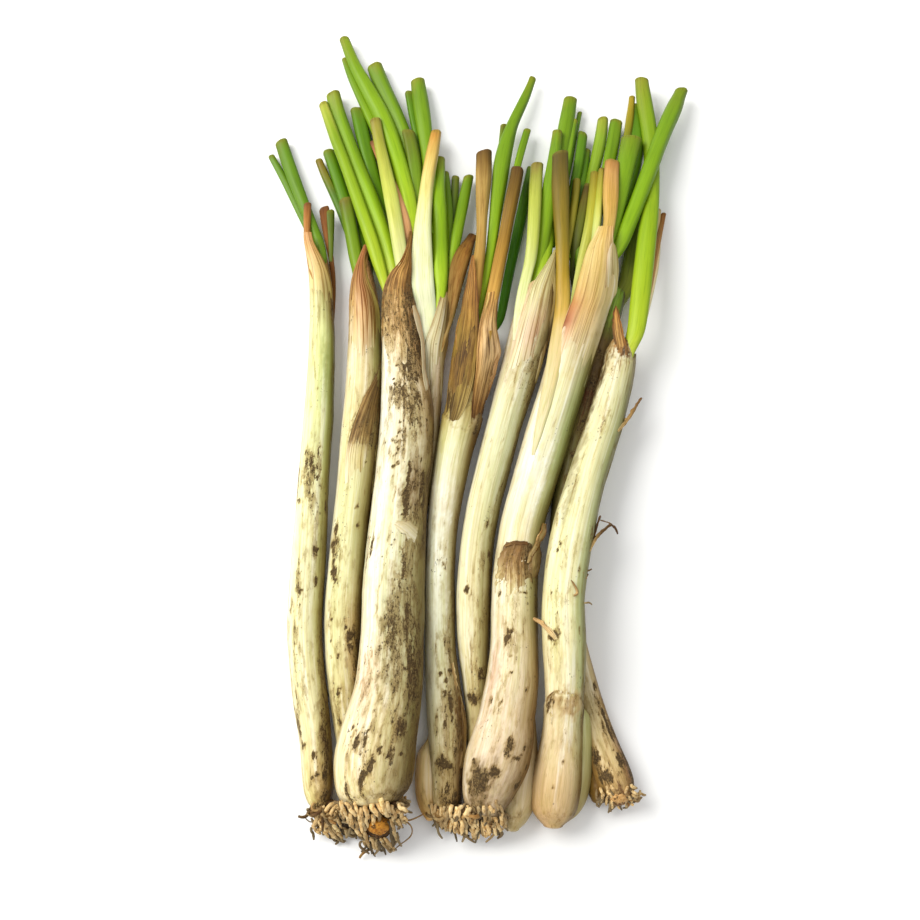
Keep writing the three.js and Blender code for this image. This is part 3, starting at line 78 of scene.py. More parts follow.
# finish of each stalk, placed by length from the root end (mm) and angle (degrees, 0 is up, + is right)
# In 'base' the left colours are mostly pale and the right ones dark olive: painted light on the left and painted shade
# on the right. The long near-white 'tints' are painted highlight streaks.
SKINS = {
    "1": {'top': [(-80, 165.4), (-30, 163.7), (0, 159.4), (50, 158.2), (90, 159.4), (180, 161.9)], 'base': [(1.5, (240, 226, 160), (226, 206, 140), (170, 140, 80)), (16.7, (248, 238, 190), (236, 224, 168), (176, 158, 96)), (43.5, (250, 244, 200), (240, 232, 180), (196, 186, 120)), (83.3, (246, 238, 190), (236, 230, 176), (190, 186, 112)), (114.1, (244, 240, 190), (226, 228, 160), (150, 160, 80)), (133.7, (244, 236, 186), (222, 222, 150), (160, 166, 90)), (150.2, (236, 220, 160), (216, 206, 140), (170, 140, 80)), (163.7, (216, 176, 116), (200, 156, 98), (160, 110, 60))], 'tints': [(124.1, 32, 8.25, 1.47, 0.6, (150, 160, 80)), (160.2, -2, 3.87, 2.45, 0.85, (206, 160, 104)), (13.5, 42, 9.28, 1.23, 0.7, (120, 100, 50)), (6.5, 2, 6.45, 1.96, 0.35, (190, 140, 90))], 'marks': [("dirt", 87.6, -7, 6.71, 2.45, 0.47), ("dirt", 64.6, 20, 15.47, 3.43, 0.25), ("dirt", 37, 58, 23.21, 1.47, 0.36), ("dirt", 48, -15, 20.63, 0.98, 0.36), ("dirt", 6.5, -18, 6.19, 3.43, 0.29), ("dirt", 93.6, -5, 2.58, 0.34, 1.35), ("dirt", 95.6, 20, 2.06, 0.27, 1.4), ("dirt", 96.1, -32, 0.64, 0.34, 1.1), ("dirt", 89.1, -60, 5.16, 0.29, 1.3), ("dirt", 82.1, -48, 0.93, 0.73, 1.6), ("dirt", 67.6, 30, 1.29, 0.64, 1.5), ("dirt", 58.5, 38, 1.55, 0.47, 1.6), ("dirt", 80.6, 65, 1.03, 0.32, 1.3), ("dirt", 88.6, 20, 0.41, 0.34, 1.3), ("dirt", 56, -15, 1.29, 0.73, 0.9), ("dirt", 18.5, -55, 3.09, 0.73, 0.7), ("dirt", 15.5, -40, 0.77, 0.98, 1.1), ("dirt", 12.5, -5, 1.29, 0.54, 1.4), ("dirt", 7.5, 5, 0.52, 0.49, 1.7), ("dirt", 7, -15, 0.41, 0.32, 1.5), ("dirt", 16, 42, 7.74, 0.73, 0.7), ("dirt", 8, 30, 2.06, 0.98, 1.06), ("dirt", 2, 32, 1.55, 0.98, 1.1), ("dirt", 0, -22, 0.77, 2.45, 0.88), ("dirt", 90.1, -2, 6.96, 2.69, 0.72), ("dirt", 88.6, -65, 5.16, 0.49, 0.7), ("dirt", 116.1, 0, 0.64, 0.37, 0.9), ("dirt", 82.1, -42, 0.77, 0.61, 0.9), ("dirt", 61.5, -22, 5.16, 0.98, 0.53), ("dirt", 67.6, 35, 0.52, 0.37, 0.9), ("dirt", 59, 38, 0.52, 0.37, 0.9), ("dirt", 50.5, -48, 3.35, 0.98, 0.57), ("dirt", 49, 95, 5.16, 0.49, 0.53), ("dirt", 24.5, -63, 6.96, 1.23, 0.55), ("dirt", 12.5, 42, 9.28, 1.23, 0.58), ("dirt", 6.5, 2, 6.45, 1.47, 0.43), ("dirt", 1, -2, 1.55, 2.94, 0.62), ("brown", 161.2, 2, 3.35, 1.96, 0.47)], 'seams': [([(135.7, -45), (118.6, -10), (103.1, 18), (85.1, 42)], 0.2, 2, 1), ([(76.1, -28), (53.5, -22), (27.5, -38)], 0.14, 1.6, 1)], 'grime': 0.2, 'speck': 0.45, 'bcol': (214, 170, 104), 'cap': 0.35},
    "2": {'top': [(-80, 148.1), (-30, 151.3), (0, 152.6), (60, 152.6), (100, 151.6), (180, 150.6)], 'base': [(2, (226, 206, 150), (214, 190, 130), (160, 130, 80)), (15, (238, 226, 170), (228, 212, 152), (176, 150, 92)), (36.3, (242, 234, 180), (230, 220, 162), (170, 150, 90)), (64.1, (244, 238, 190), (228, 222, 164), (166, 154, 92)), (94, (240, 228, 176), (226, 214, 156), (160, 140, 80)), (122.8, (240, 222, 176), (228, 206, 156), (150, 146, 76)), (136.1, (232, 196, 140), (222, 184, 128), (186, 150, 96)), (151.6, (214, 160, 104), (204, 148, 92), (180, 126, 76))], 'tints': [(35.6, 38, 12.89, 1.71, 0.6, (196, 160, 104)), (123.3, 58, 4.13, 0.98, 0.7, (140, 140, 70)), (111.2, -40, 7.74, 0.98, 0.5, (250, 240, 210))], 'marks': [("clean", 112.7, -22, 8.77, 2.45, 1), ("clean", 133.8, 7, 7.74, 3.43, 0.8), ("dirt", 95.2, 22, 6.19, 2.45, 0.55), ("dirt", 57.1, -18, 12.89, 2.45, 0.36), ("dirt", 40.6, 12, 15.47, 3.43, 0.29), ("dirt", 25, 28, 12.89, 2.45, 0.36), ("dirt", 95.7, 25, 2.32, 0.98, 1.32), ("dirt", 90.2, 12, 1.03, 0.64, 1.4), ("dirt", 66.1, -45, 1.03, 0.64, 1.6), ("dirt", 62.1, -45, 2.06, 0.98, 1.5), ("dirt", 56.6, -38, 1.03, 0.37, 1.4), ("dirt", 53.6, -35, 1.03, 0.73, 1.6), ("dirt", 51.6, -28, 0.52, 0.59, 1.4), ("dirt", 72.7, -22, 0.41, 0.39, 1.2), ("dirt", 72.7, 20, 0.77, 0.44, 1.2), ("dirt", 67.6, 30, 0.77, 0.39, 1.4), ("dirt", 79.7, -28, 0.39, 0.24, 1.2), ("dirt", 77.2, -28, 0.39, 0.24, 1.2), ("dirt", 85.7, 32, 0.52, 0.24, 1.1), ("dirt", 13, -18, 0.77, 0.29, 1.5), ("dirt", 14.5, -28, 0.52, 0.29, 1.5), ("dirt", 31.6, -10, 0.36, 0.34, 1.6), ("dirt", 22, -18, 0.46, 0.34, 1.6), ("dirt", 38.6, 15, 0.36, 0.34, 1.2), ("dirt", 35.6, 30, 1.81, 0.73, 1.3), ("dirt", 41.1, -30, 0.34, 0.32, 1.2), ("dirt", 35.6, -35, 0.34, 0.32, 1.3), ("dirt", 99.7, 30, 4.13, 2.21, 0.78), ("dirt", 93.7, -5, 3.61, 1.71, 0.47), ("dirt", 62.6, -38, 4.38, 1.23, 0.88), ("dirt", 53.6, -35, 2.32, 0.61, 0.9), ("dirt", 36.6, 32, 2.32, 1.47, 0.88), ("dirt", 43.6, 35, 7.74, 1.23, 0.39), ("dirt", 31.6, -38, 0.52, 0.49, 0.9), ("dirt", 23, -12, 0.52, 0.49, 0.9), ("dirt", 20.5, -38, 7.74, 1.47, 0.39), ("dirt", 8.5, -20, 5.16, 1.96, 0.47), ("dirt", 1.5, -22, 2.06, 2.21, 0.7), ("brown", 149.3, -28, 4.64, 2.21, 0.39)], 'seams': [([(49.1, 7), (35.6, 22), (22.5, 53)], 0.3, 2, 1), ([(117.8, 70), (106.2, 15), (98.2, -22), (89.2, -35)], 0.3, 3, 1)], 'grime': 0.32, 'speck': 0.6, 'bcol': (176, 132, 76)},
    "3": {'top': [(-100, 146.2), (-60, 147.7), (-30, 149.2), (0, 150), (30, 150.5), (60, 150.5), (90, 149.2), (130, 150.5), (180, 150.5)], 'base': [(0, (244, 226, 176), (226, 204, 146), (150, 128, 76)), (9.7, (250, 236, 196), (236, 218, 168), (158, 140, 86)), (25.2, (250, 234, 200), (234, 220, 176), (166, 156, 100)), (41.5, (250, 240, 206), (232, 224, 180), (170, 164, 108)), (63.8, (252, 246, 216), (238, 232, 190), (172, 160, 100)), (87.6, (252, 248, 224), (240, 232, 196), (180, 164, 110)), (112.1, (252, 248, 228), (238, 226, 190), (200, 170, 120)), (134.9, (250, 240, 210), (226, 200, 150), (190, 150, 98)), (148.5, (226, 186, 130), (190, 140, 84), (160, 112, 62)), (160.7, (190, 140, 84), (170, 120, 68), (170, 110, 64))], 'tints': [(73.6, -40, 20.63, 1.23, 0.7, (255, 254, 244)), (83.1, 28, 8.77, 2.21, 0.85, (150, 122, 86)), (55, 40, 15.47, 2.69, 0.7, (188, 176, 132)), (28, -35, 11.61, 2.45, 0.5, (240, 206, 176)), (39.5, 7, 13.41, 2.94, 0.85, (168, 160, 116)), (27.5, 50, 15.47, 1.71, 0.6, (160, 158, 104))], 'marks': [("dirt", 132.7, -2, 6.71, 3.67, 0.45), ("dirt", 123.7, 12, 6.71, 2.45, 0.54), ("dirt", 112.6, -22, 5.16, 2.94, 0.27), ("dirt", 103.1, 18, 10.32, 2.45, 0.61), ("dirt", 79.6, 28, 15.47, 2.94, 0.4), ("dirt", 53.5, 28, 20.63, 3.67, 0.54), ("dirt", 34, -30, 10.32, 2.45, 0.36), ("dirt", 26.5, 22, 10.32, 3.92, 0.32), ("dirt", 13.4, 7, 7.74, 5.39, 0.22), ("dirt", 6.9, -7, 5.67, 3.43, 0.29), ("dirt", 92.6, -20, 0.34, 0.32, 1.5), ("dirt", 94.6, -12, 0.41, 0.37, 1.6), ("dirt", 90.1, -10, 0.36, 0.44, 1.8), ("dirt", 89.1, -18, 0.39, 0.44, 1.7), ("dirt", 86.6, -15, 0.34, 0.32, 1.4), ("dirt", 97.1, -22, 0.9, 1.71, 1.1), ("dirt", 102.6, -12, 0.36, 0.29, 1.6), ("dirt", 99.6, -12, 0.36, 0.29, 1.6), ("dirt", 99.6, -63, 0.41, 0.29, 1.2), ("dirt", 87.1, 15, 2.06, 0.39, 1.8), ("dirt", 81.6, 15, 3.61, 0.49, 1.58), ("dirt", 75.6, 15, 2.06, 0.64, 1.8), ("dirt", 82.6, 28, 5.67, 1.1, 0.58), ("dirt", 87.6, 50, 1.55, 0.49, 1.8), ("dirt", 83.1, 48, 2.06, 0.42, 1.7), ("dirt", 80.6, 58, 1.81, 0.32, 1.8), ("dirt", 92.1, 40, 1.55, 0.32, 1.4), ("dirt", 64.5, 20, 4.13, 0.73, 0.79), ("dirt", 57, 20, 2.58, 0.73, 1.14), ("dirt", 66.5, -48, 1.81, 0.47, 1.3), ("dirt", 58.5, -65, 3.61, 0.29, 1.2), ("dirt", 64, 85, 8.77, 0.34, 0.97), ("dirt", 12.9, -28, 1.29, 0.83, 1.6), ("dirt", 15.4, -40, 1.03, 0.44, 1.3), ("dirt", 7.9, 0, 1.29, 0.64, 1.8), ("dirt", 5.9, -10, 0.67, 0.73, 1.7), ("dirt", 4.4, -15, 2.06, 0.54, 1.6), ("dirt", 11.4, 10, 1.03, 0.44, 1.7), ("dirt", 12.9, -12, 1.55, 0.39, 1.2), ("dirt", 11.4, 22, 1.03, 0.64, 1.4), ("dirt", 11.4, 42, 0.52, 0.37, 1.5), ("dirt", 17.4, 32, 1.81, 1.23, 1.14), ("dirt", 16.9, 80, 3.09, 0.44, 1.6), ("dirt", 2.5, -42, 2.32, 0.39, 1.4), ("dirt", 125.7, 5, 3.61, 0.98, 1.14), ("dirt", 120.7, 5, 1.55, 0.73, 1.4), ("dirt", 117.1, 32, 1.29, 0.49, 1.5), ("dirt", 110.6, 25, 1.29, 0.54, 1.5), ("dirt", 111.6, -5, 1.55, 0.49, 1.3), ("dirt", 128.7, 32, 1.29, 0.39, 1.4), ("dirt", 121.2, -18, 0.41, 0.59, 1.4), ("dirt", 116.6, -28, 0.41, 0.29, 1.5), ("brown", 151.2, -15, 7.74, 3.92, 0.72), ("brown", 137.7, 20, 8.25, 2.21, 0.61), ("brown", 160.7, 42, 4.13, 1.96, 0.78), ("dirt", 125.7, 20, 17.02, 2.69, 0.54), ("dirt", 135.2, 15, 7.74, 1.96, 0.47), ("dirt", 110.1, -35, 23.21, 1.47, 0.18), ("dirt", 93.6, -22, 4.13, 1.47, 0.43), ("brown", 81.1, 22, 7.22, 1.71, 0.27), ("dirt", 82.6, 22, 6.71, 1.47, 0.66), ("dirt", 84.6, 48, 5.16, 1.23, 0.62), ("dirt", 73.6, 32, 1.29, 2.45, 0.44), ("brown", 72.1, 15, 1.29, 2.21, 0.44), ("brown", 64, -63, 9.28, 0.73, 0.55), ("dirt", 65.5, -50, 2.06, 0.49, 0.9), ("dirt", 61.5, 12, 10.32, 4.9, 0.25), ("brown", 56, 22, 2.32, 0.98, 0.53), ("dirt", 39.5, 2, 13.41, 2.21, 0.72), ("dirt", 38.5, 38, 15.47, 2.45, 0.58), ("dirt", 22.9, 0, 6.71, 1.96, 0.47), ("brown", 29.5, 42, 2.32, 0.86, 0.53), ("dirt", 17.9, 35, 2.84, 0.98, 0.75), ("dirt", 28, -35, 10.83, 1.96, 0.25), ("dirt", 12.9, -25, 2.32, 0.98, 0.79), ("dirt", 7.9, -2, 1.55, 0.49, 1), ("dirt", 4.4, -10, 2.58, 0.98, 0.53), ("dirt", 11.4, 10, 1.55, 0.73, 0.8), ("dirt", 11.9, 25, 2.58, 0.98, 0.7), ("dirt", 14.9, 78, 3.87, 0.61, 0.79), ("dirt", 6.4, -40, 5.16, 1.47, 0.39), ("dirt", 0, 7, 1.55, 7.35, 0.39)], 'seams': [([(85.1, -5), (64.5, -12), (45, -30)], 0.26, 3, 1), ([(151.2, -10), (132.7, 10), (109.1, -5), (88.1, 5)], 0.22, 2.6, 1), ([(40.5, -65), (22.4, -63), (8.4, -40)], 0.2, 3, 1), ([(50.5, 25), (29, 35), (9.9, 45)], 0.2, 3, -1), ([(144.7, 88), (128.7, 68), (113.6, 63)], 0.3, 1.2, 1)], 'grime': 0.3, 'speck': 0.7, 'bcol': (206, 160, 92), 'cap': 0.22},
    "3b": {'top': [(-90, 52.6), (-60, 53.8), (-30, 57.1), (0, 61.7), (30, 67.4), (80, 69.4), (130, 67.4), (180, 63.9)], 'base': [(6, (246, 240, 210), (236, 226, 184), (170, 150, 96)), (30.7, (248, 244, 220), (236, 224, 190), (190, 164, 120)), (52.6, (250, 246, 220), (236, 220, 186), (196, 166, 120)), (68.7, (240, 226, 180), (214, 190, 140), (170, 130, 80))], 'tints': [(45.3, 22, 15.47, 1.71, 0.5, (196, 170, 124))], 'marks': [("dirt", 61.9, 40, 2.58, 0.73, 0.62), ("dirt", 26.7, 20, 12.89, 1.23, 0.31), ("brown", 67.4, 32, 2.06, 0.98, 0.79)], 'seams': [([(67.9, 15), (53.3, 0), (35.7, -2), (23.1, 5)], 0.25, 2, 1)], 'grime': 0.25, 'speck': 0.6, 'bcol': (176, 130, 70)},
    "4": {'top': [(-90, 137.9), (-50, 140.4), (-20, 142.4), (10, 137.9), (40, 135.9), (80, 136.4), (130, 139.2), (180, 142.4)], 'base': [(1.3, (220, 196, 140), (190, 160, 104), (130, 96, 54)), (13.8, (236, 220, 170), (214, 196, 146), (150, 116, 66)), (29.3, (238, 228, 184), (218, 208, 164), (150, 130, 80)), (56.6, (238, 232, 196), (222, 214, 172), (156, 144, 90)), (85.4, (240, 232, 200), (224, 210, 170), (166, 150, 100)), (94.4, (232, 226, 176), (226, 216, 164), (156, 140, 76)), (101.9, (206, 196, 130), (222, 214, 156), (132, 104, 46)), (111.7, (160, 132, 66), (188, 166, 96), (120, 84, 34)), (131.4, (196, 156, 92), (150, 106, 52), (206, 170, 134)), (146, (176, 134, 74), (134, 92, 42), (190, 150, 110))], 'tints': [(109.7, 58, 2.06, 1.96, 0.5, (226, 206, 160)), (66.6, -15, 28.37, 1.96, 0.8, (252, 250, 228))], 'marks': [("clean", 72.6, -12, 23.21, 2.21, 0.7), ("dirt", 67.1, 15, 20.63, 2.94, 0.29), ("dirt", 31, 28, 15.47, 2.45, 0.43), ("dirt", 13.5, -22, 10.32, 3.43, 0.36), ("dirt", 112.2, -28, 1.81, 0.73, 1.6), ("dirt", 108.2, 58, 3.61, 0.73, 1.14), ("dirt", 35.5, -7, 0.77, 0.64, 1.5), ("dirt", 33.5, 10, 0.46, 0.49, 1.5), ("dirt", 30.5, 5, 0.77, 0.39, 1.5), ("dirt", 28, 18, 2.06, 0.49, 1.4), ("dirt", 25, 22, 2.06, 0.44, 1.4), ("dirt", 35.5, 28, 1.29, 0.54, 1.5), ("dirt", 44.5, 15, 1.55, 0.34, 1.2), ("dirt", 24.5, -28, 0.77, 0.24, 1.3), ("dirt", 22.5, -5, 0.77, 0.39, 1.3), ("dirt", 12.5, -12, 1.55, 1.35, 1.5), ("dirt", 12.5, 18, 0.52, 0.39, 1.5), ("dirt", 6.5, 2, 1.81, 0.73, 1), ("dirt", 3, 28, 1.55, 0.73, 1.5), ("dirt", 6, 55, 4.13, 0.44, 1.23), ("dirt", 66.1, 15, 1.55, 0.73, 1.3), ("dirt", 44.5, -15, 5.16, 0.32, 0.7), ("dirt", 42, 38, 7.74, 0.73, 0.62), ("dirt", 18.5, 30, 7.74, 0.73, 0.7), ("brown", 126.2, -28, 13.41, 4.9, 1.15), ("brown", 141.2, -18, 6.19, 4.41, 1.15), ("dirt", 110.2, -40, 2.58, 1.47, 0.7), ("dirt", 133.7, -40, 10.32, 0.98, 0.23), ("dirt", 72.6, -5, 15.47, 1.47, 0.25), ("dirt", 44.5, -15, 15.47, 1.96, 0.29), ("dirt", 28.5, 12, 12.89, 1.47, 0.43), ("dirt", 12.5, -25, 1.55, 1.47, 0.88), ("dirt", 2.5, 0, 2.58, 3.43, 0.62), ("brown", 24.5, 50, 11.35, 1.23, 0.66), ("dirt", 23.5, 53, 10.32, 0.73, 0.39)], 'seams': [([(145.7, -72), (129.2, -53), (114.2, -42)], 0.26, 2, 1), ([(138.7, -5), (120.7, 5), (108.2, 10)], 0.26, 2, -1), ([(131.2, 30), (115.7, 48)], 0.22, 2, 1), ([(36.5, 53), (23.5, 35), (13.5, 63)], 0.3, 2, 1)], 'rings': [([(-78, 110.2), (-10, 105.2), (25, 105.2), (55, 112.2), (115, 111.2)], 0.38, 2.2)], 'grime': 0.22, 'speck': 0.6, 'bcol': (140, 108, 46), 'lobe': {'base': [(0, (196, 150, 84), (214, 176, 110), (190, 150, 90)), (9.3, (206, 160, 92), (232, 204, 144), (214, 180, 120)), (19.5, (214, 176, 110), (232, 206, 150), (210, 176, 120))], 'marks': [("dirt", 4, -18, 3.09, 1.96, 0.39)]}},
    "5": {'top': [(-90, 137.7), (-60, 139.2), (-30, 140.9), (-5, 142.9), (25, 148.2), (55, 153.7), (90, 151.7), (130, 148.2), (180, 143.7)], 'base': [(1.5, (214, 190, 130), (196, 170, 110), (140, 110, 60)), (17.7, (226, 208, 150), (214, 196, 138), (140, 120, 66)), (39, (232, 222, 170), (222, 208, 156), (146, 130, 72)), (67.6, (240, 232, 186), (226, 216, 166), (150, 140, 80)), (98.6, (244, 236, 196), (230, 220, 176), (160, 150, 90)), (118.2, (242, 232, 194), (230, 214, 172), (156, 142, 88)), (131.2, (236, 214, 176), (222, 196, 150), (160, 140, 90)), (144.2, (206, 170, 120), (196, 166, 110), (160, 140, 80))], 'tints': [(91.1, 28, 23.21, 3.92, 0.4, (222, 232, 184)), (120.7, -30, 7.74, 2.94, 0.34, (196, 144, 118)), (135.7, 12, 7.74, 1.96, 0.3, (214, 196, 140))], 'marks': [("clean", 122.2, -15, 11.86, 3.43, 0.9), ("dirt", 43.5, 20, 23.21, 3.43, 0.25), ("dirt", 61.6, 58, 18.05, 1.23, 0.36), ("dirt", 18.5, -25, 0.77, 1.1, 1.6), ("dirt", 17, -7, 1.03, 0.44, 1.5), ("dirt", 24.5, 30, 1.03, 0.78, 1.4), ("dirt", 65.6, 25, 0.88, 0.44, 1.5), ("dirt", 57.6, 50, 1.03, 0.59, 1.3), ("dirt", 46.5, -28, 0.88, 0.64, 1.4), ("dirt", 29, -35, 0.31, 0.34, 1.3), ("dirt", 38.5, 7, 0.31, 0.24, 1.2), ("dirt", 10.5, -48, 0.52, 0.29, 1.2), ("dirt", 121.7, -35, 0.26, 0.24, 1.6), ("brown", 136.7, -88, 4.13, 1.47, 0.31), ("dirt", 66.1, 25, 0.77, 0.49, 0.9), ("dirt", 57.1, 50, 1.55, 0.73, 0.8), ("dirt", 46.5, -28, 1.03, 0.73, 0.8), ("dirt", 24, 40, 1.81, 0.73, 0.8), ("dirt", 18, -5, 1.81, 1.47, 0.79), ("dirt", 7, -45, 5.16, 1.96, 0.39), ("dirt", 1, -7, 1.55, 1.96, 0.62)], 'seams': [([(135.2, -18), (116.2, -5), (94.1, 12), (72.6, 20)], 0.2, 2.4, 1), ([(139.7, 25), (120.7, 30), (99.1, 65)], 0.2, 2.4, 1), ([(60.6, 2), (38.5, -12), (17.5, -10)], 0.16, 2, 1)], 'grime': 0.34, 'speck': 0.5, 'bcol': (196, 156, 100)},
    "6": {'top': [(-100, 153.6), (-70, 155.6), (-40, 159.6), (-15, 163.6), (10, 167.1), (35, 169.1), (60, 167.1), (90, 163.1), (130, 163.6), (180, 161.6)], 'base': [(1, (226, 200, 160), (210, 182, 144), (160, 134, 92)), (10.6, (240, 218, 182), (230, 204, 168), (180, 150, 104)), (23.4, (246, 226, 192), (236, 214, 178), (190, 158, 108)), (39.6, (246, 232, 200), (238, 222, 184), (196, 170, 118)), (56.2, (250, 240, 206), (242, 230, 186), (186, 176, 116)), (73.5, (248, 236, 196), (240, 226, 180), (180, 170, 110)), (95, (252, 244, 216), (240, 232, 190), (170, 176, 110)), (117.3, (252, 242, 212), (238, 230, 184), (160, 168, 100)), (137.1, (244, 214, 176), (230, 206, 160), (176, 160, 100)), (154.4, (214, 150, 116), (226, 190, 140), (196, 160, 104)), (167.6, (220, 170, 120), (222, 184, 130), (200, 150, 96))], 'tints': [(142.1, -40, 5.16, 1.47, 0.5, (176, 110, 86)), (93, 2, 8.25, 1.96, 0.6, (255, 252, 240)), (104.5, 53, 10.83, 1.96, 0.5, (170, 184, 110)), (34.9, -48, 13.41, 1.23, 0.5, (206, 140, 110)), (4.9, -18, 5.67, 2.94, 1.2, (140, 116, 84))], 'marks': [("clean", 134.1, -18, 12.89, 6.37, 0.8), ("dirt", 43.4, -12, 12.89, 3.92, 0.25), ("dirt", 22.4, -12, 12.89, 4.9, 0.25), ("dirt", 12.4, 50, 8.77, 3.43, 0.29), ("dirt", 6.9, -28, 5.67, 3.43, 0.36), ("dirt", 45.9, -15, 0.62, 0.78, 1.7), ("dirt", 43.9, -20, 0.72, 0.54, 1.8), ("dirt", 42.4, -20, 0.41, 0.49, 1.7), ("dirt", 34.4, -5, 0.77, 0.27, 1.4), ("dirt", 16.9, 12, 1.29, 0.44, 1.5), ("dirt", 17.4, 45, 0.62, 0.49, 1.6), ("dirt", 30.9, 32, 0.41, 0.29, 1.4), ("dirt", 10.4, -40, 0.62, 0.64, 1.5), ("dirt", 38.9, -10, 0.26, 0.34, 1.5), ("dirt", 14.4, 35, 0.46, 0.98, 1.3), ("dirt", 13.4, 68, 0.62, 0.34, 1.4), ("dirt", 9.9, 2, 0.77, 1.23, 1.4), ("dirt", 4.4, -45, 1.55, 0.54, 1.5), ("dirt", 8.4, -28, 1.55, 1.96, 0.97), ("dirt", 6.4, -12, 3.61, 1.96, 0.78), ("dirt", 8.4, 60, 1.29, 0.78, 1.4), ("dirt", 26.4, -40, 1.03, 0.34, 1.2), ("dirt", 25.4, -20, 1.55, 0.73, 0.9), ("dirt", 56.4, -45, 0.62, 0.34, 1.5), ("dirt", 56.9, 20, 0.36, 0.59, 1.1), ("dirt", 61.4, -20, 1.03, 0.73, 1.2), ("dirt", 61.9, -5, 0.77, 0.49, 1.1), ("scab", 66.4, -5, 4.38, 4.17, 0.72), ("dirt", 68.9, 30, 1.29, 0.73, 0.9), ("dirt", 44.4, -18, 2.32, 0.98, 0.7), ("dirt", 16.4, 15, 2.06, 1.23, 0.79), ("dirt", 14.9, 40, 1.81, 1.47, 0.62), ("dirt", 4.9, -18, 5.16, 2.69, 0.86), ("dirt", 17.9, 88, 8.25, 0.73, 0.55), ("brown", 17.9, 88, 8.25, 0.73, 0.47), ("dirt", 65.9, -32, 3.61, 2.94, 0.39), ("dirt", 0, -25, 1.29, 4.41, 0.7)], 'seams': [([(161.6, -2), (144.6, -12), (127.1, -20), (104.5, -35)], 0.18, 2.2, 1), ([(163.1, 25), (145.6, 22), (125.1, 15), (102.5, 7)], 0.18, 2.2, 1), ([(155.6, -30), (143.6, -42), (130.6, -50)], 0.14, 1.8, -1)], 'rings': [([(-55, 63.4), (-20, 60.4), (10, 61.4), (50, 65.4), (110, 64.4)], 0.06, 2.6)], 'grime': 0.18, 'speck': 0.5, 'bcol': (204, 164, 106), 'cap': 0.3, 'lobe': {'base': [(0.3, (196, 176, 136), (190, 170, 124), (170, 152, 106)), (9.3, (226, 204, 166), (214, 194, 154), (180, 158, 112)), (19.5, (238, 214, 178), (226, 202, 162), (176, 146, 96)), (32.1, (240, 214, 176), (226, 202, 160), (180, 148, 100))], 'marks': [("dirt", 17.7, -2, 2.06, 1.47, 0.53), ("dirt", 2.5, -7, 2.58, 2.94, 0.39)]}},
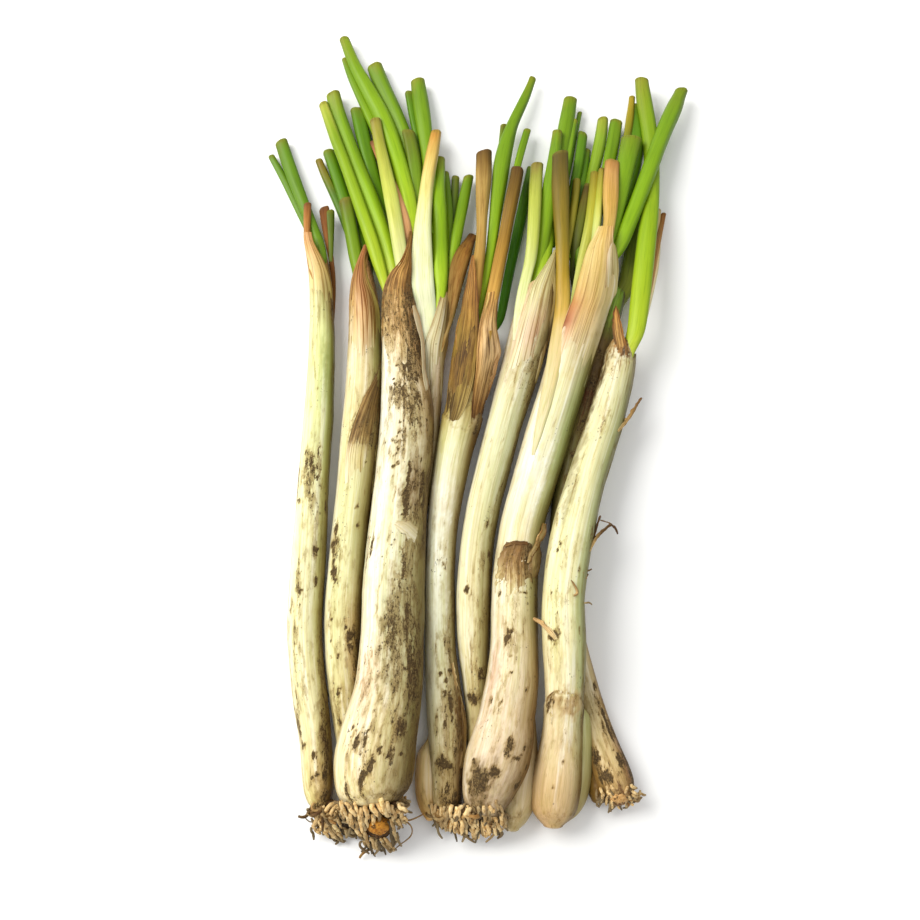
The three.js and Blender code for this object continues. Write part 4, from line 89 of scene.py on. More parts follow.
    # On rakkyo 7 the dark tints and the soil and brown marks near -90 degrees are its left side in the gap beside
    # rakkyo 6: partly soil, partly painted shade.
    "7": {'top': [(-100, 136.5), (-60, 139), (-30, 139), (-8, 139), (8, 139), (30, 138.3), (60, 135.5), (100, 136), (180, 138.3)], 'base': [(1.3, (200, 160, 106), (204, 168, 114), (162, 134, 82)), (11, (220, 186, 134), (224, 192, 142), (182, 158, 104)), (23.8, (240, 216, 170), (234, 212, 164), (188, 174, 118)), (34.1, (248, 232, 188), (240, 226, 176), (176, 176, 112)), (52.1, (250, 242, 196), (242, 234, 180), (178, 184, 116)), (74.9, (250, 244, 200), (240, 232, 180), (170, 178, 110)), (100.4, (248, 242, 200), (236, 228, 176), (160, 166, 100)), (120.2, (230, 222, 176), (230, 222, 176), (160, 160, 100)), (135, (216, 196, 146), (228, 214, 172), (190, 180, 130)), (139, (176, 130, 76), (190, 150, 96), (150, 110, 60)), (139, (150, 100, 54), (140, 92, 48), (120, 80, 40))], 'tints': [(51.1, 45, 30.95, 1.23, 0.4, (190, 196, 130)), (129.2, -88, 6.71, 2.21, 1.3, (58, 38, 14)), (118.2, -88, 6.71, 2.21, 1.3, (80, 58, 26)), (108.2, -88, 6.71, 1.96, 1.1, (112, 90, 48)), (96.7, -55, 7.22, 1.47, 0.8, (140, 122, 72)), (84.1, -35, 7.74, 0.98, 0.6, (150, 134, 84))], 'marks': [("dirt", 78.6, -68, 7.22, 1.71, 0.47), ("dirt", 70.6, -75, 5.67, 1.47, 0.47), ("dirt", 87.6, -25, 6.19, 1.96, 0.27), ("dirt", 94.2, -88, 5.16, 1.23, 0.31), ("clean", 123.7, 22, 9.28, 1.71, 0.8), ("dirt", 123.7, -90, 8.77, 2.21, 0.65), ("dirt", 109.7, -85, 7.74, 1.96, 0.62), ("brown", 127.7, -88, 6.19, 1.71, 0.55), ("dirt", 67.1, 18, 15.47, 3.92, 0.22), ("dirt", 46.1, -15, 15.47, 3.43, 0.25), ("dirt", 22, 20, 12.89, 4.41, 0.22), ("dirt", 47.6, -30, 1.03, 1.1, 1.6), ("dirt", 71.1, -28, 1.29, 0.64, 1.1), ("dirt", 69.6, -38, 0.52, 0.73, 1.3), ("dirt", 58.1, -38, 0.31, 0.24, 1.6), ("dirt", 51.6, -22, 1.29, 0.24, 0.9), ("dirt", 28, 82, 1.16, 1.1, 1.5), ("dirt", 65.1, 32, 1.29, 0.34, 1.2), ("dirt", 49.1, 42, 2.58, 0.29, 1), ("dirt", 30, -53, 1.29, 0.98, 1.2), ("dirt", 31.5, -40, 1.55, 0.49, 1.4), ("dirt", 35.6, 82, 0.77, 0.24, 1.2), ("dirt", 135.3, -18, 0.62, 0.39, 1.6), ("dirt", 126.7, -20, 3.09, 0.73, 0.88), ("dirt", 16, 5, 0.52, 0.39, 1), ("dirt", 9.5, -10, 0.41, 0.49, 1), ("brown", 138.8, -20, 6.71, 2.45, 0.72), ("brown", 134.3, 10, 2.58, 3.43, 0.7), ("dirt", 111.2, 2, 5.16, 0.73, 0.53), ("dirt", 47.1, -28, 1.29, 1.23, 0.8), ("scab", 31, 7, 3.35, 5.14, 0.9), ("dirt", 28.5, 82, 1.81, 1.47, 0.62), ("brown", 77.6, 55, 4.64, 0.98, 0.44), ("dirt", 52.1, 82, 12.89, 0.73, 0.31), ("dirt", 2.5, 15, 1.81, 4.41, 0.39)], 'seams': [([(104.2, -28), (84.1, -30), (66.6, -35)], 0.16, 2.4, 1), ([(124.2, -15), (104.7, -2), (85.1, 10)], 0.16, 2.4, 1)], 'rings': [([(-85, 136.8), (-7, 130.7), (38, 131.8), (80, 136.3), (140, 136.6)], 0.35, 1.5), ([(-80, 30.5), (-18, 33.6), (28, 33.1), (82, 30.5), (142, 30.5)], 0.3, 2.2)], 'grime': 0.16, 'speck': 0.4, 'bcol': (176, 128, 66), 'cap': 0.35, 'lobe': {'base': [(0, (196, 166, 110), (176, 156, 100), (150, 130, 80)), (12.1, (214, 190, 140), (190, 180, 124), (160, 150, 96)), (24.8, (220, 204, 150), (190, 188, 126), (164, 160, 100)), (29.9, (226, 210, 156), (196, 192, 130), (168, 166, 104))], 'marks': [("dirt", 26.8, 12, 1.55, 1.47, 0.44)]}},
    # Rakkyo 8 runs in the shaded gap between rakkyo 6 and 7: the dark middle rows of its 'base' are painted shade over
    # its brown, soiled sheath.
    "8": {'top': [(-60, 150.5), (0, 152.5), (60, 151.7), (180, 150.5)], 'base': [(0, (150, 116, 66), (190, 152, 98), (150, 112, 66)), (8, (170, 130, 70), (214, 186, 130), (160, 110, 60)), (21.3, (170, 140, 86), (210, 190, 140), (190, 160, 104)), (40.5, (180, 160, 110), (214, 200, 156), (210, 190, 140)), (65.8, (110, 96, 48), (150, 136, 84), (130, 110, 64)), (92.6, (84, 80, 36), (112, 104, 52), (84, 74, 34)), (105.1, (86, 78, 30), (126, 112, 50), (82, 64, 26)), (115.1, (60, 36, 14), (84, 54, 22), (60, 38, 16)), (133.7, (96, 76, 34), (124, 100, 50), (90, 70, 30)), (141.4, (120, 140, 44), (140, 164, 56), (110, 124, 40)), (150.5, (120, 156, 40), (140, 176, 56), (112, 140, 36))], 'marks': [("dirt", 17, 50, 12.89, 2.94, 0.4), ("dirt", 21.5, 38, 3.09, 0.44, 1.6), ("dirt", 16.5, 40, 2.32, 0.49, 1.6), ("dirt", 11.5, -35, 2.32, 0.73, 1.5), ("dirt", 6.5, -32, 0.77, 1.71, 1.7), ("dirt", 9, 32, 1.81, 0.73, 1.6), ("dirt", 7, 80, 4.13, 0.54, 1.32), ("dirt", 8.5, 80, 0.41, 0.34, 1.8), ("dirt", 30, 38, 0.77, 0.34, 1.5), ("dirt", 2, -70, 1.03, 0.98, 1.5), ("dirt", 21, 40, 4.64, 1.47, 0.55), ("dirt", 18, 63, 3.09, 0.98, 0.79), ("dirt", 10.5, -38, 4.64, 1.23, 0.78), ("dirt", 6, -18, 1.29, 1.96, 0.88), ("dirt", 9, 40, 2.06, 0.98, 0.79), ("dirt", 6, 63, 5.16, 0.98, 0.7), ("dirt", 113.6, 15, 20.63, 3.43, 0.36), ("brown", 114.1, 22, 15.47, 3.43, 0.5), ("dirt", 105.1, 22, 2.32, 1.23, 1.14), ("dirt", 97.1, 15, 2.58, 1.23, 1.23), ("dirt", 119.2, 7, 2.84, 1.23, 1.14), ("dirt", 129.2, 7, 2.06, 0.98, 1.06), ("dirt", 89.1, 7, 2.32, 1.23, 1.06), ("dirt", 30, 42, 1.55, 0.73, 0.9), ("brown", 1.5, -7, 2.06, 2.94, 0.62)], 'seams': [([(25.5, 32), (15, 10), (5, -12)], 0.2, 2, 1)], 'grime': 0.34, 'speck': 0.3, 'bcol': (120, 70, 26), 'lobe': {'base': [(0, (120, 90, 30), (140, 104, 40), (120, 84, 30)), (7.4, (110, 80, 26), (130, 96, 34), (90, 60, 20)), (14.5, (90, 60, 20), (110, 76, 26), (80, 50, 16))], 'marks': [("dirt", 9.7, -10, 4.13, 1.47, 0.7)]}},
}
# layers of sheath on the stalks: a grid of points from base to tip, colours, brown and soil along it
PATCHES = {
    "3": [{'cols': [(0, (250, 244, 222), (240, 228, 194), (206, 178, 128)), (0.12, (246, 234, 206), (234, 212, 166), (190, 154, 102)), (0.28, (232, 206, 160), (222, 188, 134), (164, 128, 76)), (0.45, (190, 156, 104), (214, 176, 116), (150, 112, 60)), (0.62, (186, 148, 92), (226, 182, 112), (160, 116, 58)), (0.8, (196, 146, 78), (230, 182, 104), (172, 122, 58)), (1, (206, 156, 88), (222, 170, 96), (180, 126, 62))], 'dirt': [(0, 0.35, 0.5, 0.95), (0.15, 0.6, 0.7, 1.15), (0.32, 0.85, 0.85, 1.2), (0.5, 0.8, 0.7, 1), (0.68, 0.35, 0.3, 0.55), (0.85, 0.1, 0.1, 0.2), (1, 0.05, 0.05, 0.1)], 'fibre': 1.1, 'from': (0.3, 0.75), 'fold': 0.8, 'crinkle': 0.12, 'rag': 0.08, 'lines': 0.85, 'rim': 0.35, 'm': 47, 'wref': 5.2, 'speck': 0.9, 'grid': [[[-28.34, 4.37, 7.22], [-26.49, 3.13, 9.68], [-24.53, 2.51, 10.78], [-22.62, 2.19, 11.24], [-20.74, 2.11, 11.2], [-18.89, 2.24, 10.67], [-17.04, 2.56, 9.75]], [[-28.44, 8.87, 7.29], [-26.6, 7.53, 9.86], [-24.65, 6.87, 11.01], [-22.77, 6.6, 11.36], [-20.91, 6.54, 11.26], [-19.07, 6.72, 10.66], [-17.26, 7.26, 9.3]], [[-28.94, 13.46, 7.25], [-26.87, 12.02, 9.93], [-24.94, 11.43, 10.92], [-23.07, 11.11, 11.34], [-21.23, 11.08, 11.19], [-19.41, 11.29, 10.54], [-17.62, 11.96, 8.96]], [[-29.07, 18.73, 7.26], [-27.11, 17.33, 9.88], [-25.31, 16.81, 10.79], [-23.54, 16.56, 11.17], [-21.81, 16.59, 11.02], [-20.12, 16.92, 10.25], [-18.43, 17.6, 8.82]], [[-29.04, 23.99, 7.4], [-27.31, 22.79, 9.56], [-25.68, 22.2, 10.58], [-24.1, 21.98, 10.89], [-22.56, 21.96, 10.81], [-21.04, 22.26, 10.14], [-19.55, 22.96, 8.72]], [[-28.82, 28.33, 7.79], [-27.21, 27.36, 9.41], [-25.67, 26.78, 10.33], [-24.18, 26.56, 10.56], [-22.72, 26.59, 10.36], [-21.28, 26.82, 9.77], [-19.88, 27.59, 8.21]], [[-27.96, 31.92, 8.34], [-26.58, 31.28, 9.29], [-25.23, 30.79, 9.95], [-23.9, 30.54, 10.2], [-22.61, 30.54, 10], [-21.35, 30.91, 9.15], [-20.11, 31.65, 7.61]], [[-26.48, 34.76, 9.05], [-25.39, 34.37, 9.58], [-24.31, 34.07, 9.96], [-23.25, 33.92, 10.07], [-22.22, 33.97, 9.84], [-21.19, 34.18, 9.31], [-20.24, 35.23, 7.32]], [[-24.21, 37.06, 10.1], [-23.53, 36.92, 10.24], [-22.85, 36.86, 10.24], [-22.18, 36.89, 10.1], [-21.52, 37.04, 9.74], [-20.87, 37.27, 9.24], [-20.27, 38.21, 7.53]], [[-22.73, 39.86, 10.59], [-22.33, 39.94, 10.36], [-21.92, 39.98, 10.2], [-21.52, 40.1, 9.9], [-21.12, 40.23, 9.58], [-20.73, 40.54, 8.96], [-20.35, 40.97, 8.12]], [[-21.9, 43.15, 10.28], [-21.65, 43.17, 10.16], [-21.41, 43.19, 10.02], [-21.16, 43.24, 9.85], [-20.92, 43.32, 9.61], [-20.68, 43.46, 9.3], [-20.45, 43.6, 8.97]], [[-21.06, 47.9, 10.5], [-20.9, 47.94, 10.42], [-20.75, 47.99, 10.35], [-20.6, 48.05, 10.25], [-20.45, 48.13, 10.12], [-20.3, 48.2, 10.01], [-20.14, 48.23, 9.95]]]}, {'cols': [(0, (238, 228, 196), (232, 220, 186), (190, 164, 120)), (0.5, (246, 234, 206), (240, 222, 190), (206, 176, 132)), (1, (240, 216, 180), (226, 196, 156), (186, 146, 100))], 'dirt': [(0, 0.3, 0.4, 0.5), (0.4, 0.2, 0.25, 0.3), (1, 0.05, 0.1, 0.1)], 'fold': 0.2, 'crinkle': 0.16, 'rag': 0.16, 'lines': 0.3, 'rim': 0.5, 'curl': 0.12, 'm': 15, 'grid': [[[-14.91, -8.06, 9.54], [-14.77, -8.02, 9.45], [-14.63, -7.95, 9.3], [-14.49, -7.88, 9.11], [-14.35, -7.78, 8.89], [-14.22, -7.65, 8.59], [-14.08, -7.51, 8.26]], [[-15.64, -5.17, 10.09], [-15.45, -5.09, 9.9], [-15.27, -5, 9.71], [-15.08, -4.91, 9.5], [-14.9, -4.8, 9.24], [-14.72, -4.65, 8.89], [-14.54, -4.48, 8.51]], [[-16.34, -1.77, 10.22], [-16.12, -1.68, 10.02], [-15.91, -1.59, 9.82], [-15.69, -1.49, 9.59], [-15.48, -1.36, 9.3], [-15.27, -1.19, 8.93], [-15.06, -1.02, 8.54]], [[-16.8, 2.16, 9.93], [-16.63, 2.27, 9.71], [-16.47, 2.36, 9.49], [-16.31, 2.48, 9.24], [-16.16, 2.63, 8.91], [-16, 2.8, 8.54], [-15.84, 2.95, 8.22]], [[-17.01, 6.84, 9.51], [-16.84, 6.99, 9.19], [-16.67, 7.12, 8.91], [-16.5, 7.27, 8.59], [-16.34, 7.45, 8.23], [-16.17, 7.59, 7.92], [-15.99, 7.69, 7.72]], [[-17.37, 11.47, 9.29], [-17.2, 11.72, 8.9], [-17.04, 11.95, 8.53], [-16.87, 12.2, 8.14], [-16.7, 12.44, 7.76], [-16.53, 12.62, 7.52], [-16.35, 12.72, 7.43]], [[-18.45, 15.67, 9.38], [-18.22, 15.91, 9.02], [-17.99, 16.15, 8.65], [-17.76, 16.42, 8.22], [-17.53, 16.69, 7.8], [-17.3, 16.87, 7.55], [-17.05, 16.98, 7.46]], [[-19.38, 19.22, 9.51], [-19.13, 19.46, 9.27], [-18.89, 19.71, 9], [-18.65, 20, 8.66], [-18.41, 20.3, 8.3], [-18.17, 20.56, 8.01], [-17.92, 20.77, 7.81]], [[-19.97, 22.9, 9.47], [-19.85, 23, 9.38], [-19.73, 23.12, 9.26], [-19.61, 23.24, 9.13], [-19.5, 23.36, 9.01], [-19.38, 23.53, 8.8], [-19.28, 23.78, 8.44]]]}, {'cols': [(0, (236, 228, 196), (226, 214, 178), (206, 190, 148)), (0.5, (232, 220, 184), (220, 206, 168), (196, 178, 136)), (1, (232, 216, 178), (216, 198, 158), (190, 168, 126))], 'dirt': [(0, 0.2, 0.3, 0.4), (1, 0.3, 0.2, 0.3)], 'fold': 0.3, 'crinkle': 0.25, 'rag': 0.9, 'rag_end': 1.3, 'lines': 0.08, 'rim': 0.3, 'ln': 0, 'm': 25, 'grid': [[[-18.2, -50.8, 12.4], [-17.9, -50.21, 12.14], [-17.6, -49.63, 11.89], [-17.3, -49.03, 11.63], [-17.01, -48.42, 11.3], [-16.71, -47.79, 10.93], [-16.41, -47.16, 10.57]], [[-19.8, -50.22, 13.34], [-19.41, -49.55, 13.13], [-19.03, -48.89, 12.92], [-18.64, -48.21, 12.71], [-18.25, -47.52, 12.44], [-17.86, -46.82, 12.13], [-17.47, -46.11, 11.83]], [[-21.14, -49.01, 13.99], [-20.76, -48.36, 13.85], [-20.37, -47.7, 13.71], [-19.98, -47.05, 13.55], [-19.59, -46.38, 13.36], [-19.2, -45.7, 13.14], [-18.81, -45.01, 12.92]], [[-22.51, -47.68, 14.27], [-22.2, -47.17, 14.21], [-21.9, -46.65, 14.13], [-21.6, -46.13, 14.05], [-21.3, -45.61, 13.94], [-21, -45.07, 13.82], [-20.69, -44.53, 13.68]], [[-23.75, -46.28, 14.31], [-23.6, -46, 14.31], [-23.45, -45.71, 14.29], [-23.3, -45.42, 14.27], [-23.15, -45.13, 14.24], [-23, -44.83, 14.2], [-22.85, -44.54, 14.16]]]}],
    "3b": [{'cols': [(0, (240, 236, 206), (234, 226, 186), (176, 152, 96)), (0.5, (238, 232, 196), (230, 218, 172), (170, 142, 84)), (0.85, (234, 222, 178), (222, 202, 150), (160, 128, 70)), (1, (186, 150, 90), (200, 168, 110), (140, 104, 52))], 'brown': [(0, 0, 0, 0), (0.7, 0, 0, 0.1), (1, 0.2, 0.2, 0.3)], 'dirt': [(0, 0.05, 0.05, 0.2), (0.8, 0.1, 0.2, 0.2), (1, 0.3, 0.4, 0.3)], 'bcol': (150, 108, 52), 'fold': 0.15, 'crinkle': 0.06, 'rag': 0.08, 'lines': 0.45, 'rim': 0.8, 'm': 25, 'gain': 0.9, 'grid': [[[-15.64, -6.57, 4.55], [-14.76, -6.51, 4.64], [-13.89, -6.39, 4.61], [-13.02, -6.18, 4.37], [-12.16, -5.86, 3.86], [-11.29, -5.51, 3.28], [-11.23, -5.25, 2.92]], [[-16.29, -0.3, 4.77], [-15.23, -0.45, 5.11], [-14.17, -0.51, 5.25], [-13.12, -0.45, 5.11], [-12.08, -0.25, 4.66], [-11.04, 0.04, 4.02], [-10.84, 0.31, 3.41]], [[-16.49, 5.87, 5.38], [-15.34, 5.69, 5.77], [-14.21, 5.6, 5.97], [-13.08, 5.64, 5.89], [-11.96, 5.84, 5.45], [-10.84, 6.19, 4.71], [-10.44, 6.61, 3.8]], [[-16.23, 11.93, 6.37], [-15.06, 11.69, 6.62], [-13.9, 11.52, 6.76], [-12.74, 11.45, 6.66], [-11.59, 11.55, 6.24], [-10.44, 11.84, 5.41], [-9.29, 12.34, 4.17]], [[-14.91, 16.07, 7.28], [-13.92, 15.89, 7.42], [-12.93, 15.78, 7.44], [-11.94, 15.77, 7.23], [-10.96, 15.91, 6.74], [-9.99, 16.21, 5.91], [-9.01, 16.79, 4.55]], [[-13.45, 20.41, 7.86], [-12.66, 20.27, 7.93], [-11.86, 20.22, 7.8], [-11.08, 20.26, 7.51], [-10.29, 20.43, 6.98], [-9.51, 20.79, 6.06], [-8.72, 21.25, 4.95]], [[-12.29, 24.69, 7.98], [-11.67, 24.73, 7.91], [-11.05, 24.81, 7.75], [-10.43, 24.97, 7.47], [-9.81, 25.21, 7.01], [-9.2, 25.55, 6.36], [-8.58, 25.96, 5.6]], [[-11.27, 28.19, 7.74], [-10.84, 28.36, 7.63], [-10.42, 28.55, 7.48], [-10, 28.77, 7.29], [-9.58, 29, 7.07], [-9.15, 29.25, 6.84], [-8.73, 29.5, 6.58]]]}],
    "4": [{'cols': [(0, (112, 90, 36), (136, 114, 56), (180, 164, 110)), (0.13, (100, 78, 26), (150, 128, 64), (186, 166, 104)), (0.3, (130, 106, 38), (160, 134, 60), (166, 138, 66)), (0.5, (136, 110, 40), (176, 144, 66), (146, 114, 48)), (0.7, (140, 104, 40), (214, 168, 90), (140, 96, 40)), (0.85, (150, 106, 44), (226, 176, 100), (170, 120, 56)), (1, (190, 136, 68), (222, 166, 96), (190, 138, 70))], 'dirt': [(0, 0.6, 0.5, 0.2), (0.2, 0.3, 0.2, 0.2), (1, 0, 0, 0)], 'fibre': 1.2, 'fold': 0.4, 'crinkle': 0.1, 'rag': 0.12, 'rag_end': 0.3, 'lines': 0.5, 'rim': 0.3, 'm': 35, 'wref': 4.2, 'speck': 0.1, 'grid': [[[-9.73, -14.28, 8.1], [-9.15, -14.33, 8.59], [-8.57, -14.33, 8.98], [-8, -14.29, 9.27], [-7.43, -14.22, 9.48], [-6.86, -14.14, 9.65], [-6.29, -14.04, 9.78]], [[-9.6, -10.49, 7.93], [-8.8, -10.91, 8.81], [-8.01, -11.24, 9.47], [-7.22, -11.46, 9.89], [-6.43, -11.61, 10.13], [-5.64, -11.71, 10.24], [-4.86, -11.77, 10.26]], [[-9.25, -5.38, 7.68], [-8.21, -6.09, 9.08], [-7.19, -6.61, 10.04], [-6.17, -6.95, 10.58], [-5.16, -7.17, 10.86], [-4.15, -7.31, 10.94], [-3.14, -7.39, 10.89]], [[-8.77, -0.02, 7.73], [-7.57, -0.97, 9.73], [-6.39, -1.5, 10.79], [-5.21, -1.84, 11.42], [-4.04, -2.03, 11.73], [-2.87, -2.12, 11.81], [-1.7, -2.14, 11.74]], [[-8.35, 5.41, 8.45], [-7.12, 4.37, 10.55], [-5.91, 3.78, 11.69], [-4.71, 3.45, 12.29], [-3.51, 3.24, 12.63], [-2.31, 3.15, 12.71], [-1.11, 3.12, 12.66]], [[-7.62, 9.76, 10.13], [-6.42, 8.67, 12.27], [-5.23, 8.51, 12.49], [-4.05, 8.22, 12.97], [-2.87, 8, 13.31], [-1.7, 7.91, 13.38], [-0.52, 7.9, 13.31]], [[-6.59, 14.05, 12.58], [-5.52, 13.98, 12.73], [-4.45, 13.89, 12.89], [-3.39, 13.81, 13.06], [-2.32, 13.74, 13.2], [-1.26, 13.7, 13.28], [-0.19, 13.71, 13.25]], [[-5.57, 19.41, 12.31], [-4.67, 19.18, 12.75], [-3.76, 19.13, 12.85], [-2.86, 19.13, 12.85], [-1.96, 19.12, 12.87], [-1.06, 19.12, 12.87], [-0.15, 19.14, 12.84]], [[-4.83, 25.12, 11.52], [-4.07, 24.89, 11.95], [-3.31, 24.73, 12.25], [-2.55, 24.65, 12.38], [-1.78, 24.64, 12.42], [-1.02, 24.65, 12.4], [-0.26, 24.67, 12.35]], [[-3.78, 29.92, 11.31], [-3.26, 29.76, 11.61], [-2.75, 29.63, 11.84], [-2.23, 29.55, 11.98], [-1.71, 29.52, 12.04], [-1.19, 29.52, 12.04], [-0.67, 29.54, 12.01]], [[-3.18, 33.53, 11.49], [-2.81, 33.46, 11.62], [-2.44, 33.4, 11.73], [-2.06, 33.36, 11.8], [-1.69, 33.34, 11.84], [-1.32, 33.33, 11.85], [-0.95, 33.34, 11.84]], [[-2.63, 36.51, 11.63], [-2.4, 36.48, 11.68], [-2.17, 36.46, 11.73], [-1.93, 36.44, 11.76], [-1.7, 36.43, 11.77], [-1.46, 36.43, 11.78], [-1.23, 36.43, 11.77]], [[-2.18, 38.87, 11.68], [-2.07, 38.86, 11.71], [-1.96, 38.84, 11.74], [-1.85, 38.83, 11.75], [-1.74, 38.83, 11.75], [-1.63, 38.84, 11.74], [-1.52, 38.84, 11.74]]]}, {'cols': [(0, (120, 86, 40), (130, 94, 44), (94, 62, 26)), (0.15, (146, 106, 54), (156, 114, 58), (120, 84, 40)), (0.33, (176, 136, 74), (216, 182, 130), (204, 170, 122)), (0.55, (214, 172, 114), (236, 208, 170), (224, 192, 152)), (0.75, (232, 190, 130), (236, 200, 150), (212, 176, 120)), (0.9, (246, 206, 136), (236, 190, 122), (204, 162, 94)), (1, (246, 204, 130), (238, 186, 114), (206, 156, 88))], 'dirt': [(0, 0.4, 0.3, 0.5), (0.3, 0.1, 0.1, 0.2), (1, 0, 0, 0)], 'fibre': 1.3, 'fold': 0.28, 'crinkle': 0.12, 'rag': 0.15, 'lines': 0.3, 'rim': 0.4, 'curl': 0.15, 'm': 31, 'wref': 3.4, 'speck': 0.1, 'grid': [[[-2.58, -16.83, 8.32], [-2.19, -16.47, 8.18], [-1.81, -16.09, 8], [-1.42, -15.68, 7.74], [-1.03, -15.24, 7.4], [-0.64, -14.72, 6.88], [-0.24, -14.12, 6.13]], [[-2.57, -12.39, 9.53], [-2.04, -12.1, 9.32], [-1.51, -11.78, 9.04], [-0.98, -11.44, 8.7], [-0.45, -11.03, 8.23], [0.09, -10.61, 7.69], [0.64, -10.07, 6.9]], [[-2.28, -7.86, 10.53], [-1.56, -7.66, 10.31], [-0.84, -7.42, 9.99], [-0.11, -7.12, 9.53], [0.62, -6.74, 8.89], [1.37, -6.26, 8.02], [1.87, -5.69, 6.94]], [[-1.7, -3.59, 11.48], [-0.88, -3.41, 11.31], [-0.06, -3.16, 10.98], [0.77, -2.79, 10.39], [1.6, -2.31, 9.54], [2.45, -1.71, 8.44], [3.32, -1.01, 7.09]], [[-1.11, 1.31, 12.46], [-0.15, 1.45, 12.39], [0.81, 1.61, 12.27], [1.79, 2.16, 11.32], [2.79, 2.76, 10.25], [3.8, 3.52, 8.84], [4.82, 4.25, 7.5]], [[-0.96, 5.67, 13.29], [0.19, 5.63, 13.38], [1.35, 5.69, 13.25], [2.53, 6.17, 12.26], [3.73, 6.84, 10.85], [4.95, 7.59, 9.28], [6.18, 8.25, 7.9]], [[-0.66, 9.35, 13.6], [0.38, 9.29, 13.73], [1.41, 9.21, 13.89], [2.45, 9.31, 13.7], [3.55, 10.29, 11.69], [4.65, 11.11, 10.04], [5.77, 12.01, 8.2]], [[-0.25, 13.64, 13.39], [0.61, 13.83, 13.23], [1.47, 14.02, 13.08], [2.34, 14.25, 12.84], [3.2, 14.43, 12.7], [4.1, 15.07, 11.65], [5.08, 16.77, 8.52]], [[0.58, 18.58, 12.64], [1.34, 18.91, 12.43], [2.11, 19.26, 12.19], [2.88, 19.62, 11.92], [3.65, 20.02, 11.57], [4.43, 20.58, 10.92], [5.26, 21.73, 9.15]], [[1.8, 22.96, 11.83], [2.42, 23.22, 11.65], [3.05, 23.49, 11.47], [3.67, 23.79, 11.21], [4.3, 24.13, 10.89], [4.93, 24.51, 10.5], [5.57, 24.87, 10.13]], [[2.43, 26.26, 11.26], [2.98, 26.51, 11.12], [3.53, 26.74, 11], [4.08, 27, 10.83], [4.64, 27.32, 10.56], [5.2, 27.63, 10.29], [5.75, 27.9, 10.1]]]}, {'cols': [(0, (190, 160, 110), (206, 180, 130), (220, 200, 150)), (0.5, (200, 170, 120), (222, 200, 150), (236, 218, 170)), (1, (190, 160, 110), (206, 180, 130), (220, 200, 150))], 'dirt': [(0, 0.6, 0.5, 0.3), (1, 0.5, 0.4, 0.2)], 'fold': 0.25, 'crinkle': 0.35, 'rag': 0.4, 'lines': 0.4, 'rim': 0.6, 'fibre': 1.05, 'm': 13, 'grid': [[[-6.23, -109.82, 6.33], [-6.02, -109.73, 6.24], [-5.8, -109.64, 6.09], [-5.59, -109.54, 5.88], [-5.37, -109.44, 5.59], [-5.15, -109.32, 5.19], [-4.94, -109.2, 4.7]], [[-5.46, -105.34, 6.61], [-5.24, -105.24, 6.47], [-5.02, -105.14, 6.27], [-4.81, -105.03, 5.97], [-4.59, -104.91, 5.6], [-4.37, -104.8, 5.3], [-4.15, -104.7, 5.11]], [[-5.19, -100.31, 6.96], [-4.98, -100.21, 6.8], [-4.76, -100.1, 6.58], [-4.54, -99.98, 6.22], [-4.32, -99.85, 5.82], [-4.1, -99.73, 5.56], [-3.88, -99.64, 5.51]], [[-5.72, -95.75, 7.31], [-5.48, -95.64, 7.17], [-5.24, -95.53, 6.97], [-4.99, -95.41, 6.67], [-4.75, -95.28, 6.31], [-4.51, -95.16, 6.05], [-4.27, -95.06, 5.93]], [[-6.77, -91.38, 7.48], [-6.55, -91.28, 7.38], [-6.33, -91.17, 7.24], [-6.11, -91.06, 7.06], [-5.89, -90.94, 6.83], [-5.67, -90.82, 6.61], [-5.45, -90.71, 6.39]], [[-7.7, -86.92, 7.32], [-7.5, -86.82, 7.28], [-7.3, -86.72, 7.21], [-7.11, -86.62, 7.11], [-6.91, -86.52, 6.99], [-6.71, -86.41, 6.86], [-6.51, -86.29, 6.7]], [[-8.25, -82.63, 6.91], [-8.11, -82.54, 6.94], [-7.98, -82.45, 6.92], [-7.85, -82.35, 6.85], [-7.71, -82.25, 6.77], [-7.58, -82.15, 6.73], [-7.45, -82.06, 6.7]]]}],
